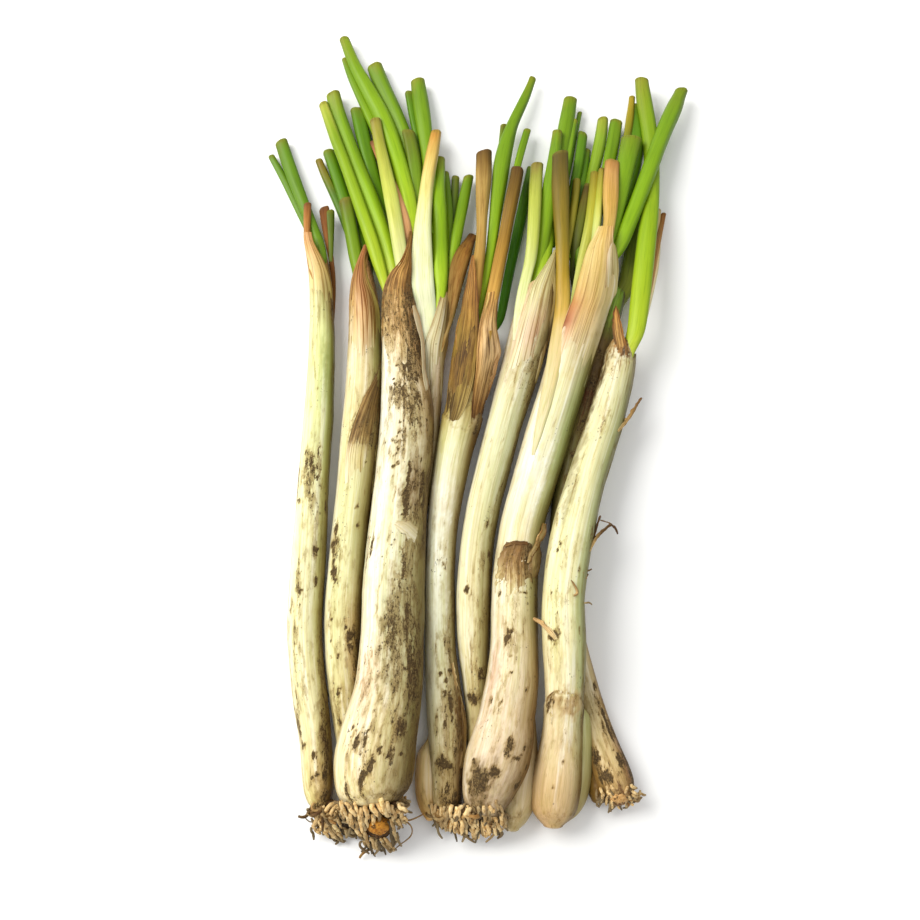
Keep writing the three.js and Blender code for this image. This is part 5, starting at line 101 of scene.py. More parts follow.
    "5": [{'cols': [(0, (244, 238, 200), (232, 222, 180), (170, 158, 100)), (0.18, (242, 232, 194), (230, 210, 170), (176, 160, 104)), (0.32, (240, 220, 188), (214, 176, 144), (186, 160, 110)), (0.44, (232, 214, 178), (214, 182, 144), (190, 166, 112)), (0.62, (238, 230, 184), (224, 208, 154), (196, 172, 112)), (0.85, (236, 230, 176), (226, 212, 150), (214, 194, 126)), (1, (222, 212, 152), (224, 202, 134), (206, 176, 106))], 'dirt': [(0, 0, 0, 0.1), (1, 0, 0.05, 0.1)], 'speck': 0.15, 'bcol': (186, 150, 90), 'fold': 0.2, 'crinkle': 0.04, 'rag': 0.04, 'lines': 0.62, 'rim': 0.2, 'm': 39, 'wref': 5, 'grid': [[[6.75, -1.95, 8.49], [8.75, -2.24, 9.16], [10.77, -2.32, 9.32], [12.82, -2.1, 8.82], [14.94, -1.51, 7.5], [16.33, -0.92, 6.18], [16.4, -0.54, 5.31]], [[8.53, 3.34, 9.44], [10.44, 3.1, 9.97], [12.37, 3.03, 10.12], [14.34, 3.24, 9.65], [16.36, 3.76, 8.55], [18.03, 4.38, 7.21], [18.12, 4.88, 6.12]], [[10.34, 9.66, 10.35], [12.06, 9.36, 10.86], [13.8, 9.21, 11.06], [15.56, 9.28, 10.8], [17.38, 9.66, 9.9], [19.27, 10.37, 8.32], [19.95, 10.97, 6.99]], [[12.18, 16.41, 11.15], [13.76, 16.03, 11.69], [15.36, 15.85, 11.82], [16.98, 15.86, 11.59], [18.65, 16.12, 10.85], [20.42, 16.9, 9.13], [22.22, 17.77, 7.2]], [[14.19, 22.99, 11.79], [15.59, 22.67, 12.08], [17.01, 22.48, 12.12], [18.45, 22.47, 11.82], [19.94, 22.72, 11.05], [21.5, 23.36, 9.54], [23.13, 24.26, 7.52]], [[15.75, 28.06, 12.26], [16.99, 27.71, 12.38], [18.25, 27.48, 12.3], [19.53, 27.41, 11.92], [20.85, 27.53, 11.19], [22.25, 28.08, 9.67], [23.68, 28.72, 8]], [[17.13, 30.92, 12.53], [18.19, 30.72, 12.49], [19.27, 30.59, 12.31], [20.36, 30.61, 11.89], [21.52, 30.98, 10.83], [22.71, 31.49, 9.51], [23.89, 31.89, 8.39]], [[19, 33.97, 12.5], [19.77, 33.9, 12.33], [20.57, 33.91, 12.02], [21.39, 34.08, 11.43], [22.25, 34.46, 10.46], [23.12, 34.9, 9.41], [23.97, 35.15, 8.66]], [[20.91, 37.47, 12.04], [21.4, 37.43, 11.86], [21.9, 37.48, 11.52], [22.42, 37.63, 11.03], [22.96, 37.89, 10.34], [23.5, 38.15, 9.65], [24.02, 38.29, 9.16]], [[22.75, 41.14, 11.05], [22.91, 41.19, 10.92], [23.07, 41.24, 10.78], [23.24, 41.3, 10.64], [23.4, 41.37, 10.47], [23.57, 41.44, 10.29], [23.74, 41.53, 10.11]]]}],
    "6": [{'cols': [(0, (250, 244, 218), (238, 232, 196), (178, 182, 122)), (0.16, (246, 222, 184), (236, 218, 176), (186, 172, 116)), (0.28, (222, 172, 134), (234, 212, 168), (196, 180, 126)), (0.38, (180, 110, 78), (230, 198, 144), (206, 186, 136)), (0.48, (196, 134, 88), (226, 188, 126), (212, 192, 142)), (0.62, (220, 184, 116), (224, 192, 124), (226, 200, 154)), (0.8, (226, 202, 136), (224, 190, 118), (232, 206, 164)), (1, (232, 208, 140), (226, 184, 106), (222, 176, 108))], 'dirt': [(0, 0, 0, 0.05), (1, 0.05, 0.05, 0.05)], 'fold': 0.34, 'crinkle': 0.05, 'rag': 0.05, 'lines': 0.4, 'rim': 0.25, 'ln': 0.6, 'm': 58, 'st': 0.3, 'wref': 5.6, 'speck': 0.2, 'grid': [[[19.35, -2.26, 10.6], [21.03, -2.98, 11.51], [22.74, -3.5, 11.99], [24.5, -3.83, 12.02], [26.3, -3.95, 11.6], [28.16, -3.87, 10.69], [30.14, -3.41, 8.93]], [[20.62, 2.7, 10.83], [22.34, 1.91, 11.96], [24.09, 1.38, 12.54], [25.9, 1.09, 12.6], [27.75, 0.98, 12.26], [29.67, 1.13, 11.38], [31.76, 1.85, 9.22]], [[22.07, 7.79, 10.88], [23.81, 6.86, 12.26], [25.62, 6.3, 12.86], [27.48, 5.99, 12.96], [29.39, 5.92, 12.55], [31.38, 6.09, 11.65], [33.58, 6.98, 9.22]], [[23.7, 13.03, 10.74], [25.46, 12.04, 12.19], [27.29, 11.41, 12.9], [29.18, 11.1, 12.99], [31.14, 11.07, 12.52], [33.19, 11.33, 11.44], [35.51, 12.5, 8.53]], [[25.18, 17.67, 10.61], [26.97, 16.76, 12.06], [28.83, 16.21, 12.82], [30.76, 15.99, 12.93], [32.75, 16.04, 12.51], [34.86, 16.48, 11.33], [37.26, 17.89, 8.25]], [[26.65, 21.65, 10.56], [28.4, 20.69, 12.17], [30.25, 20.25, 12.81], [32.17, 20.11, 12.86], [34.16, 20.27, 12.35], [36.32, 20.99, 10.77], [38.63, 22.15, 8.35]], [[27.96, 25.31, 10.56], [29.69, 24.29, 12.13], [31.52, 23.79, 12.76], [33.42, 23.61, 12.77], [35.41, 23.77, 12.18], [37.55, 24.44, 10.62], [39.8, 25.4, 8.53]], [[29.33, 30.33, 10.59], [31.03, 29.37, 12.01], [32.8, 28.79, 12.74], [34.66, 28.58, 12.82], [36.61, 28.74, 12.22], [38.69, 29.34, 10.85], [40.88, 30.26, 8.88]], [[30.69, 35.02, 10.69], [32.21, 34.05, 12.17], [33.82, 33.54, 12.87], [35.5, 33.32, 13.05], [37.26, 33.41, 12.7], [39.13, 33.92, 11.61], [41.15, 34.92, 9.66]], [[31.86, 38.98, 10.93], [33.2, 38.11, 12.3], [34.62, 37.63, 13.03], [36.09, 37.41, 13.3], [37.63, 37.45, 13.12], [39.27, 37.84, 12.37], [41.02, 38.64, 10.91]], [[33.14, 42.43, 11.48], [34.23, 41.75, 12.52], [35.34, 41.23, 13.28], [36.51, 40.95, 13.65], [37.72, 40.88, 13.68], [38.96, 40.91, 13.53], [40.36, 41.52, 12.43]], [[34.67, 45.05, 12.29], [35.53, 44.66, 12.93], [36.36, 44.15, 13.76], [37.27, 43.99, 14.02], [38.2, 43.93, 14.12], [39.15, 43.94, 14.1], [40.13, 44.06, 13.9]], [[36.06, 48.06, 13.04], [36.77, 47.95, 13.21], [37.48, 47.87, 13.34], [38.19, 47.83, 13.41], [38.92, 47.81, 13.44], [39.65, 47.83, 13.4], [40.4, 47.9, 13.29]]]}, {'cols': [(0, (228, 206, 158), (220, 204, 154), (190, 176, 120)), (0.4, (236, 212, 166), (232, 212, 168), (200, 186, 134)), (0.8, (244, 220, 184), (238, 216, 176), (212, 194, 146)), (1, (240, 214, 172), (232, 204, 156), (200, 172, 120))], 'fold': 0.2, 'crinkle': 0.08, 'rag': 0.12, 'lines': 0.4, 'rim': 0.3, 'm': 19, 'speck': 0.1, 'grid': [[[35.91, 17.61, 9.44], [36.43, 18.12, 8.66], [36.83, 18.6, 7.95], [36.89, 18.86, 7.66], [36.88, 18.93, 7.74], [36.96, 19.03, 7.75], [37.05, 19.36, 7.34]], [[36.41, 21.4, 10.4], [37, 21.82, 9.72], [37.6, 22.24, 9.02], [37.78, 22.56, 8.53], [37.81, 22.71, 8.34], [37.8, 22.74, 8.39], [37.98, 23.15, 7.74]], [[37.1, 26.23, 11.33], [37.76, 26.49, 10.75], [38.43, 26.81, 10.06], [39.1, 27.13, 9.37], [39.74, 27.34, 8.88], [40.36, 27.45, 8.57], [40.99, 27.59, 8.21]], [[37.49, 30.47, 12.13], [38.17, 30.61, 11.68], [38.88, 30.84, 11.07], [39.62, 31.16, 10.3], [40.35, 31.46, 9.57], [41.05, 31.63, 9.07], [41.72, 31.7, 8.73]], [[37.75, 34.51, 12.74], [38.42, 34.56, 12.47], [39.11, 34.69, 12.05], [39.86, 34.98, 11.34], [40.62, 35.35, 10.5], [41.37, 35.64, 9.8], [42.09, 35.81, 9.31]], [[38.14, 37.97, 13.2], [38.71, 37.95, 13.06], [39.29, 37.98, 12.81], [39.91, 38.15, 12.32], [40.59, 38.54, 11.47], [41.26, 38.89, 10.69], [41.91, 39.16, 10.02]], [[38.8, 40.16, 13.55], [39.18, 40.15, 13.46], [39.58, 40.2, 13.28], [40.01, 40.38, 12.89], [40.48, 40.68, 12.3], [40.96, 41.01, 11.65], [41.43, 41.31, 11.05]], [[39.59, 41.72, 13.81], [39.74, 41.72, 13.76], [39.9, 41.73, 13.69], [40.09, 41.84, 13.46], [40.3, 42.07, 13.03], [40.51, 42.28, 12.64], [40.7, 42.4, 12.38]]]}, {'cols': [(0, (244, 234, 196), (240, 226, 184), (196, 180, 124)), (0.25, (238, 224, 182), (232, 214, 166), (186, 168, 116)), (0.45, (214, 190, 140), (210, 182, 132), (160, 138, 90)), (0.65, (176, 144, 96), (190, 156, 106), (130, 104, 62)), (0.85, (140, 106, 60), (170, 132, 82), (110, 82, 44)), (1, (110, 80, 40), (130, 98, 54), (96, 70, 34))], 'brown': [(0, 0, 0.1, 0.1), (0.6, 0.1, 0.3, 0.35), (1, 0.1, 0.15, 0.3)], 'dirt': [(0, 0.3, 0.4, 0.3), (0.35, 0.6, 0.6, 0.6), (0.8, 0.6, 0.6, 1.1), (1, 0.4, 0.4, 0.9)], 'bcol': (176, 136, 80), 'fold': 0.3, 'crinkle': 1, 'rag': 0.7, 'rag_end': 1, 'lines': 0.6, 'rim': 0.5, 'm': 37, 'grid': [[[3.56, -66.98, 9.5], [5.33, -67.27, 10.8], [7.09, -67.46, 11.68], [8.88, -67.53, 11.99], [10.7, -67.47, 11.71], [12.56, -67.25, 10.75], [14.47, -66.92, 9.25]], [[3.74, -63.09, 9.3], [5.45, -63.42, 10.69], [7.15, -63.64, 11.63], [8.88, -63.72, 11.98], [10.63, -63.67, 11.76], [12.43, -63.47, 10.94], [14.26, -63.17, 9.65]], [[3.93, -59.18, 9.2], [5.57, -59.63, 10.6], [7.21, -59.96, 11.55], [8.87, -60.14, 11.92], [10.56, -60.19, 11.77], [12.28, -60.12, 11.11], [14.04, -59.95, 10.05]], [[4.51, -55.59, 9.34], [5.97, -56.06, 10.61], [7.45, -56.42, 11.47], [8.94, -56.65, 11.82], [10.45, -56.77, 11.72], [11.99, -56.77, 11.2], [13.55, -56.69, 10.37]], [[5.35, -52.61, 9.76], [6.74, -52.97, 10.76], [8.13, -53.25, 11.44], [9.54, -53.42, 11.71], [10.97, -53.48, 11.61], [12.42, -53.46, 11.17], [13.89, -53.37, 10.48]], [[6.31, -50.63, 10.26], [7.6, -50.85, 10.97], [8.89, -51.01, 11.46], [10.2, -51.08, 11.64], [11.52, -51.08, 11.53], [12.86, -50.99, 11.14], [14.21, -50.85, 10.56]], [[7.13, -49.76, 10.7], [8.2, -49.91, 11.17], [9.27, -50.03, 11.49], [10.35, -50.09, 11.61], [11.45, -50.08, 11.51], [12.56, -50.02, 11.21], [13.67, -49.93, 10.79]]]}, {'cols': [(0, (120, 92, 50), (170, 144, 98), (130, 104, 64)), (0.4, (150, 120, 76), (190, 166, 122), (150, 124, 84)), (1, (176, 144, 96), (206, 178, 132), (150, 120, 76))], 'dirt': [(0, 0.8, 0.4, 0.6), (1, 0.5, 0.3, 0.5)], 'fold': 0.5, 'crinkle': 0.5, 'rag': 0.35, 'lines': 0.7, 'rim': 1, 'm': 19, 'grid': [[[12.91, -59.61, 10.92], [13.24, -59.7, 10.71], [13.57, -59.78, 10.46], [13.9, -59.84, 10.17], [14.24, -59.89, 9.81], [14.58, -59.92, 9.36], [14.93, -59.93, 8.82]], [[12.82, -57.42, 11], [13.35, -57.51, 10.81], [13.88, -57.57, 10.52], [14.43, -57.58, 10.03], [15, -57.54, 9.32], [15.57, -57.49, 8.55], [16.14, -57.46, 7.89]], [[13, -55.18, 10.97], [13.58, -55.22, 10.78], [14.17, -55.23, 10.46], [14.77, -55.17, 9.86], [15.4, -55.03, 8.98], [16.04, -54.88, 8.06], [16.66, -54.78, 7.33]], [[13.48, -52.87, 10.73], [13.99, -52.86, 10.51], [14.51, -52.81, 10.18], [15.05, -52.71, 9.63], [15.61, -52.53, 8.8], [16.18, -52.33, 7.88], [16.74, -52.16, 7.08]], [[14.22, -51.06, 10.31], [14.58, -51.04, 10.04], [14.95, -50.99, 9.72], [15.32, -50.93, 9.31], [15.7, -50.81, 8.72], [16.11, -50.62, 7.88], [16.53, -50.4, 6.89]]]}, {'cols': [(0, (150, 116, 66), (206, 176, 124), (150, 116, 66)), (0.5, (196, 160, 106), (226, 204, 156), (190, 156, 104)), (1, (190, 150, 92), (222, 194, 140), (170, 130, 76))], 'dirt': [(0, 0.6, 0.2, 0.5), (1, 0.3, 0.2, 0.4)], 'fold': 0.3, 'crinkle': 0.4, 'rag': 0.4, 'lines': 0.6, 'rim': 1, 'curl': 0.3, 'm': 15, 'grid': [[[12.17, -55.78, 11.16], [12.32, -55.91, 11.26], [12.47, -56.01, 11.3], [12.63, -56.09, 11.27], [12.79, -56.17, 11.22], [12.95, -56.25, 11.15], [13.11, -56.31, 11.04]], [[12.76, -53.53, 11.07], [12.98, -53.63, 11.1], [13.21, -53.72, 11.09], [13.44, -53.78, 10.99], [13.68, -53.83, 10.81], [13.92, -53.86, 10.57], [14.16, -53.87, 10.26]], [[13.92, -51.46, 10.71], [14.15, -51.53, 10.64], [14.38, -51.6, 10.53], [14.62, -51.63, 10.33], [14.87, -51.65, 10.03], [15.12, -51.64, 9.65], [15.38, -51.61, 9.22]], [[15.1, -49.3, 10.1], [15.34, -49.29, 9.88], [15.59, -49.26, 9.62], [15.84, -49.22, 9.31], [16.09, -49.17, 8.97], [16.35, -49.12, 8.6], [16.61, -49.05, 8.21]], [[16.15, -47.14, 9.51], [16.45, -47.08, 9.15], [16.76, -47.01, 8.73], [17.06, -46.95, 8.36], [17.36, -46.92, 8.08], [17.65, -46.9, 7.85], [17.95, -46.88, 7.62]], [[16.64, -45.3, 9.1], [16.9, -45.27, 8.68], [17.16, -45.23, 8.2], [17.42, -45.21, 7.82], [17.67, -45.24, 7.61], [17.91, -45.3, 7.47], [18.15, -45.36, 7.35]], [[17.25, -43.92, 8.8], [17.39, -43.88, 8.43], [17.54, -43.82, 7.99], [17.68, -43.78, 7.61], [17.82, -43.78, 7.38], [17.94, -43.81, 7.23], [18.06, -43.85, 7.12]]]}],
    "7": [{'cols': [(0, (84, 44, 16), (120, 76, 34), (100, 60, 24)), (0.18, (120, 80, 36), (214, 178, 114), (170, 120, 62)), (0.5, (130, 86, 38), (226, 186, 118), (180, 130, 66)), (0.8, (120, 76, 32), (206, 156, 84), (150, 100, 44)), (1, (100, 60, 24), (150, 100, 46), (110, 66, 28))], 'brown': [(0, 0.5, 0.2, 0.2), (1, 0.3, 0.3, 0.3)], 'dirt': [(0, 0.9, 0.3, 0.3), (1, 0.4, 0.2, 0.2)], 'fibre': 1.3, 'fold': 0.5, 'crinkle': 0.3, 'rag': 0.4, 'rag_end': 0.4, 'lines': 0.85, 'rim': 0.9, 'm': 21, 'wref': 2, 'speck': 0, 'grid': [[[38.51, 7.23, 10.7], [39.34, 6.63, 11.17], [40.19, 6.11, 11.49], [41.07, 5.68, 11.61], [41.98, 5.35, 11.52], [42.93, 5.12, 11.21], [43.91, 4.96, 10.76]], [[39.24, 10.16, 10.64], [39.83, 9.56, 11.1], [40.43, 9.01, 11.46], [41.06, 8.54, 11.65], [41.72, 8.15, 11.68], [42.39, 7.81, 11.61], [43.09, 7.56, 11.35]], [[38.94, 13.35, 10.75], [39.48, 12.89, 11.12], [40.02, 12.47, 11.43], [40.59, 12.1, 11.62], [41.17, 11.79, 11.71], [41.76, 11.53, 11.7], [42.37, 11.3, 11.61]], [[38.91, 16.78, 11.07], [39.38, 16.44, 11.31], [39.85, 16.11, 11.52], [40.33, 15.82, 11.66], [40.82, 15.56, 11.74], [41.31, 15.34, 11.76], [41.82, 15.14, 11.72]], [[39.14, 19.55, 11.43], [39.48, 19.3, 11.58], [39.82, 19.08, 11.7], [40.17, 18.87, 11.77], [40.52, 18.69, 11.81], [40.88, 18.53, 11.81], [41.24, 18.38, 11.78]], [[40.1, 21.86, 11.72], [40.16, 21.79, 11.81], [40.22, 21.73, 11.87], [40.29, 21.7, 11.87], [40.37, 21.69, 11.84], [40.45, 21.69, 11.79], [40.53, 21.69, 11.75]]]}, {'cols': [(0, (232, 214, 166), (236, 222, 176), (206, 196, 140)), (0.5, (214, 190, 140), (226, 206, 156), (206, 190, 136)), (1, (222, 200, 150), (226, 204, 156), (206, 186, 136))], 'brown': [(0, 0.1, 0.1, 0.1), (0.6, 0.3, 0.2, 0.2), (1, 0.3, 0.3, 0.2)], 'dirt': [(0, 0.3, 0.3, 0.3), (0.5, 0.9, 0.4, 0.3), (1, 0.6, 0.3, 0.3)], 'bcol': (176, 140, 90), 'fold': 0.3, 'crinkle': 1.1, 'rag': 0.7, 'rag_end': 1.2, 'lines': 0.7, 'rim': 0.7, 'm': 37, 'grid': [[[17.84, -98.94, 12.88], [19.08, -98.92, 13.41], [20.33, -98.88, 13.76], [21.6, -98.8, 13.8], [22.92, -98.67, 13.45], [24.29, -98.49, 12.59], [25.72, -98.26, 11.29]], [[16.66, -96.38, 12.5], [18.07, -96.43, 13.61], [19.5, -96.44, 14.34], [20.97, -96.39, 14.61], [22.49, -96.28, 14.38], [24.06, -96.1, 13.61], [25.69, -95.86, 12.38]], [[16.45, -93.89, 12.77], [17.84, -94.02, 14.11], [19.26, -94.1, 15.01], [20.72, -94.1, 15.35], [22.23, -94.04, 15.2], [23.79, -93.91, 14.54], [25.4, -93.73, 13.49]], [[16.94, -91.76, 13.94], [18.22, -91.99, 15.01], [19.52, -92.17, 15.72], [20.85, -92.3, 15.99], [22.23, -92.36, 15.86], [23.64, -92.38, 15.36], [25.08, -92.36, 14.59]], [[18.12, -90.48, 15.7], [19.06, -90.72, 16.13], [20.01, -90.93, 16.43], [20.97, -91.11, 16.52], [21.96, -91.26, 16.42], [22.96, -91.39, 16.12], [23.98, -91.5, 15.69]]]}],
    "2": [{'cols': [(0, (244, 230, 186), (234, 214, 168), (170, 168, 96)), (0.2, (238, 218, 168), (228, 196, 150), (160, 158, 84)), (0.42, (216, 178, 124), (216, 172, 122), (160, 146, 74)), (0.62, (190, 146, 92), (196, 142, 92), (158, 138, 66)), (0.8, (184, 128, 74), (168, 108, 58), (160, 124, 62)), (1, (186, 124, 72), (176, 112, 64), (130, 84, 40))], 'dirt': [(0, 0, 0, 0.1), (1, 0.2, 0.1, 0.2)], 'bcol': (176, 132, 76), 'fold': 0.4, 'crinkle': 0.07, 'rag': 0.06, 'lines': 0.85, 'rim': 0.3, 'ln': 1.1, 'm': 31, 'wref': 3.8, 'grid': [[[-38.1, 4.38, 7.21], [-36.44, 3.86, 8.33], [-34.86, 3.62, 8.85], [-33.33, 3.62, 8.85], [-31.84, 3.86, 8.33], [-30.4, 4.34, 7.29], [-29.06, 5.36, 5.09]], [[-38.27, 8.96, 7.09], [-36.6, 8.29, 8.49], [-35.02, 8.01, 9.07], [-33.51, 8, 9.11], [-32.04, 8.2, 8.68], [-30.6, 8.67, 7.71], [-29.26, 9.71, 5.53]], [[-38.47, 14.29, 6.89], [-36.76, 13.49, 8.52], [-35.18, 13.17, 9.15], [-33.65, 13.12, 9.25], [-32.16, 13.3, 8.9], [-30.73, 13.81, 7.86], [-29.36, 14.8, 5.87]], [[-38.88, 19.67, 6.08], [-37.08, 18.49, 8.38], [-35.45, 18.07, 9.2], [-33.9, 17.99, 9.36], [-32.4, 18.17, 9], [-30.94, 18.62, 8.12], [-29.55, 19.6, 6.22]], [[-39.12, 25.29, 5.59], [-37.38, 23.95, 8.01], [-35.81, 23.38, 8.98], [-34.32, 23.19, 9.22], [-32.88, 23.28, 8.95], [-31.49, 23.65, 8.16], [-30.14, 24.33, 6.77]], [[-38.97, 29.7, 5.59], [-37.38, 27.94, 8.6], [-36.1, 27.66, 8.9], [-34.84, 27.47, 9.05], [-33.6, 27.45, 8.89], [-32.41, 27.66, 8.29], [-31.23, 28.02, 7.43]], [[-38.6, 33.27, 5.94], [-37.39, 31.75, 8.44], [-36.43, 31.45, 8.78], [-35.5, 31.31, 8.83], [-34.58, 31.27, 8.7], [-33.68, 31.35, 8.34], [-32.8, 31.49, 7.9]], [[-37.91, 36.43, 6.43], [-37.08, 35.41, 8], [-36.38, 35.11, 8.33], [-35.71, 34.93, 8.45], [-35.06, 34.85, 8.39], [-34.43, 34.85, 8.18], [-33.81, 34.98, 7.76]], [[-36.92, 39.68, 6.78], [-36.48, 39.27, 7.29], [-36.07, 38.99, 7.57], [-35.67, 38.81, 7.68], [-35.29, 38.69, 7.69], [-34.92, 38.63, 7.6], [-34.55, 38.62, 7.41]], [[-35.94, 42.76, 6.87], [-35.67, 42.64, 6.98], [-35.41, 42.53, 7.07], [-35.15, 42.44, 7.12], [-34.89, 42.38, 7.12], [-34.64, 42.34, 7.08], [-34.39, 42.33, 7.01]], [[-35.11, 45.41, 6.82], [-34.87, 45.37, 6.84], [-34.64, 45.35, 6.84], [-34.41, 45.33, 6.82], [-34.19, 45.32, 6.78], [-33.96, 45.32, 6.73], [-33.74, 45.34, 6.65]]]}, {'cols': [(0, (244, 234, 190), (230, 220, 166), (160, 146, 84)), (0.25, (238, 222, 176), (216, 198, 142), (150, 132, 72)), (0.42, (216, 190, 140), (182, 158, 102), (134, 112, 58)), (0.6, (186, 156, 104), (140, 114, 62), (112, 88, 42)), (0.8, (170, 138, 86), (124, 98, 50), (96, 72, 32)), (1, (140, 108, 58), (104, 80, 40), (84, 62, 28))], 'dirt': [(0, 0.1, 0.1, 0.2), (0.25, 0.2, 0.25, 0.3), (0.42, 0.5, 0.6, 0.4), (0.75, 0.5, 0.4, 0.4), (1, 0.5, 0.5, 0.4)], 'fibre': 1.14, 'from': (0.2, 0.45), 'fold': 0.4, 'crinkle': 0.2, 'rag': 0.16, 'lines': 0.6, 'rim': 0.15, 'curl': 0.15, 'm': 29, 'wref': 3.6, 'speck': 0.6, 'grid': [[[-37.86, -35.01, 8.75], [-36.29, -35.18, 8.97], [-34.76, -35.25, 8.88], [-33.28, -35.15, 8.28], [-31.85, -34.85, 7.06], [-30.42, -34.48, 5.65], [-30.46, -34.22, 4.56]], [[-37.99, -30.41, 9.11], [-36.35, -30.72, 9.45], [-34.76, -30.93, 9.47], [-33.21, -30.95, 8.98], [-31.71, -30.77, 7.86], [-30.24, -30.44, 6.34], [-30.04, -30.1, 4.78]], [[-37.98, -25.76, 9.47], [-36.35, -26.2, 9.87], [-34.76, -26.53, 9.95], [-33.22, -26.68, 9.53], [-31.74, -26.61, 8.5], [-30.29, -26.31, 6.84], [-28.86, -25.88, 4.81]], [[-37.65, -22, 9.88], [-36.05, -22.43, 10.22], [-34.48, -22.75, 10.27], [-32.96, -22.89, 9.86], [-31.49, -22.82, 8.84], [-30.07, -22.47, 7.11], [-28.67, -21.93, 4.82]], [[-36.63, -17.31, 10.31], [-35.19, -17.68, 10.48], [-33.77, -17.95, 10.39], [-32.39, -18.07, 9.91], [-31.05, -17.97, 8.88], [-29.76, -17.6, 7.15], [-28.5, -17.03, 4.87]], [[-35.34, -12.83, 10.59], [-34.1, -13.12, 10.54], [-32.88, -13.33, 10.3], [-31.69, -13.4, 9.72], [-30.53, -13.28, 8.66], [-29.42, -12.91, 6.99], [-28.33, -12.35, 4.84]], [[-34.29, -9.75, 10.6], [-33.23, -9.91, 10.37], [-32.19, -10.01, 9.99], [-31.17, -9.99, 9.32], [-30.18, -9.79, 8.23], [-29.22, -9.4, 6.66], [-28.27, -8.87, 4.76]], [[-33.13, -6.49, 10.26], [-32.27, -6.6, 9.91], [-31.42, -6.65, 9.42], [-30.59, -6.59, 8.66], [-29.78, -6.39, 7.58], [-28.99, -6.07, 6.22], [-28.2, -5.71, 4.76]], [[-31.58, -2.68, 9.43], [-30.98, -2.75, 8.99], [-30.4, -2.77, 8.43], [-29.82, -2.69, 7.66], [-29.27, -2.52, 6.68], [-28.71, -2.35, 5.68], [-28.13, -2.23, 4.81]], [[-30.2, 1.46, 7.98], [-29.85, 1.51, 7.41], [-29.5, 1.52, 6.91], [-29.15, 1.55, 6.37], [-28.8, 1.63, 5.73], [-28.45, 1.67, 5.16], [-28.08, 1.63, 4.78]], [[-29, 6.54, 6.03], [-28.89, 6.79, 5.27], [-28.73, 6.83, 4.95], [-28.56, 6.73, 4.94], [-28.39, 6.65, 4.89], [-28.23, 6.6, 4.75], [-28.06, 6.55, 4.63]]]}],
    "1": [{'cols': [(0, (244, 236, 186), (222, 222, 150), (160, 166, 90)), (0.3, (240, 228, 172), (218, 212, 144), (186, 178, 100)), (0.55, (236, 212, 150), (222, 196, 130), (196, 170, 98)), (0.78, (222, 178, 118), (212, 172, 108), (186, 150, 84)), (1, (206, 150, 92), (206, 150, 92), (176, 124, 66))], 'dirt': [(0, 0, 0, 0), (1, 0.1, 0.05, 0.1)], 'bcol': (196, 150, 90), 'fold': 0.16, 'crinkle': 0.05, 'rag': 0.05, 'lines': 0.5, 'rim': 0.2, 'm': 23, 'wref': 3, 'grid': [[[-50.4, 15.03, 5.4], [-49.04, 14.55, 6.37], [-47.76, 14.3, 6.87], [-46.54, 14.27, 6.94], [-45.37, 14.43, 6.62], [-44.26, 14.8, 5.87], [-43.34, 15.69, 4.08]], [[-50.54, 21.07, 5.3], [-49.29, 20.45, 6.51], [-47.99, 20.15, 7.08], [-46.76, 20.11, 7.16], [-45.6, 20.3, 6.79], [-44.5, 20.77, 5.89], [-43.8, 21.51, 4.46]], [[-50.82, 26.02, 5.5], [-49.53, 25.33, 6.79], [-48.27, 25.03, 7.34], [-47.09, 24.99, 7.42], [-45.97, 25.19, 7.05], [-44.91, 25.65, 6.19], [-44.16, 26.31, 4.94]], [[-51.04, 30.48, 6.04], [-49.73, 29.78, 7.19], [-48.53, 29.46, 7.68], [-47.39, 29.37, 7.73], [-46.31, 29.51, 7.39], [-45.29, 29.89, 6.6], [-44.3, 30.45, 5.47]], [[-51.26, 34.12, 6.86], [-50.05, 33.49, 7.78], [-48.95, 33.22, 8.05], [-47.89, 33.09, 8.07], [-46.87, 33.14, 7.79], [-45.9, 33.38, 7.16], [-44.96, 33.78, 6.25]], [[-51.49, 37.04, 7.77], [-50.48, 36.71, 8.13], [-49.51, 36.5, 8.3], [-48.56, 36.36, 8.35], [-47.63, 36.33, 8.2], [-46.74, 36.45, 7.8], [-45.88, 36.68, 7.2]], [[-52.28, 40.81, 7.23], [-51.37, 40.34, 7.83], [-50.49, 39.98, 8.24], [-49.65, 39.75, 8.43], [-48.84, 39.63, 8.45], [-48.04, 39.6, 8.3], [-47.28, 39.7, 7.94]], [[-53.02, 44.08, 7], [-52.27, 43.6, 7.61], [-51.54, 43.22, 8.06], [-50.84, 42.95, 8.31], [-50.18, 42.77, 8.41], [-49.53, 42.68, 8.37], [-48.89, 42.64, 8.24]], [[-53.48, 46.71, 7.28], [-52.93, 46.43, 7.66], [-52.39, 46.18, 7.96], [-51.87, 46, 8.16], [-51.37, 45.89, 8.26], [-50.89, 45.82, 8.27], [-50.41, 45.78, 8.24]], [[-53.65, 49.21, 7.81], [-53.23, 49.13, 7.93], [-52.81, 49.07, 8.03], [-52.39, 49.03, 8.1], [-51.98, 49.01, 8.13], [-51.58, 49.01, 8.13], [-51.18, 49.02, 8.11]]]}],
}
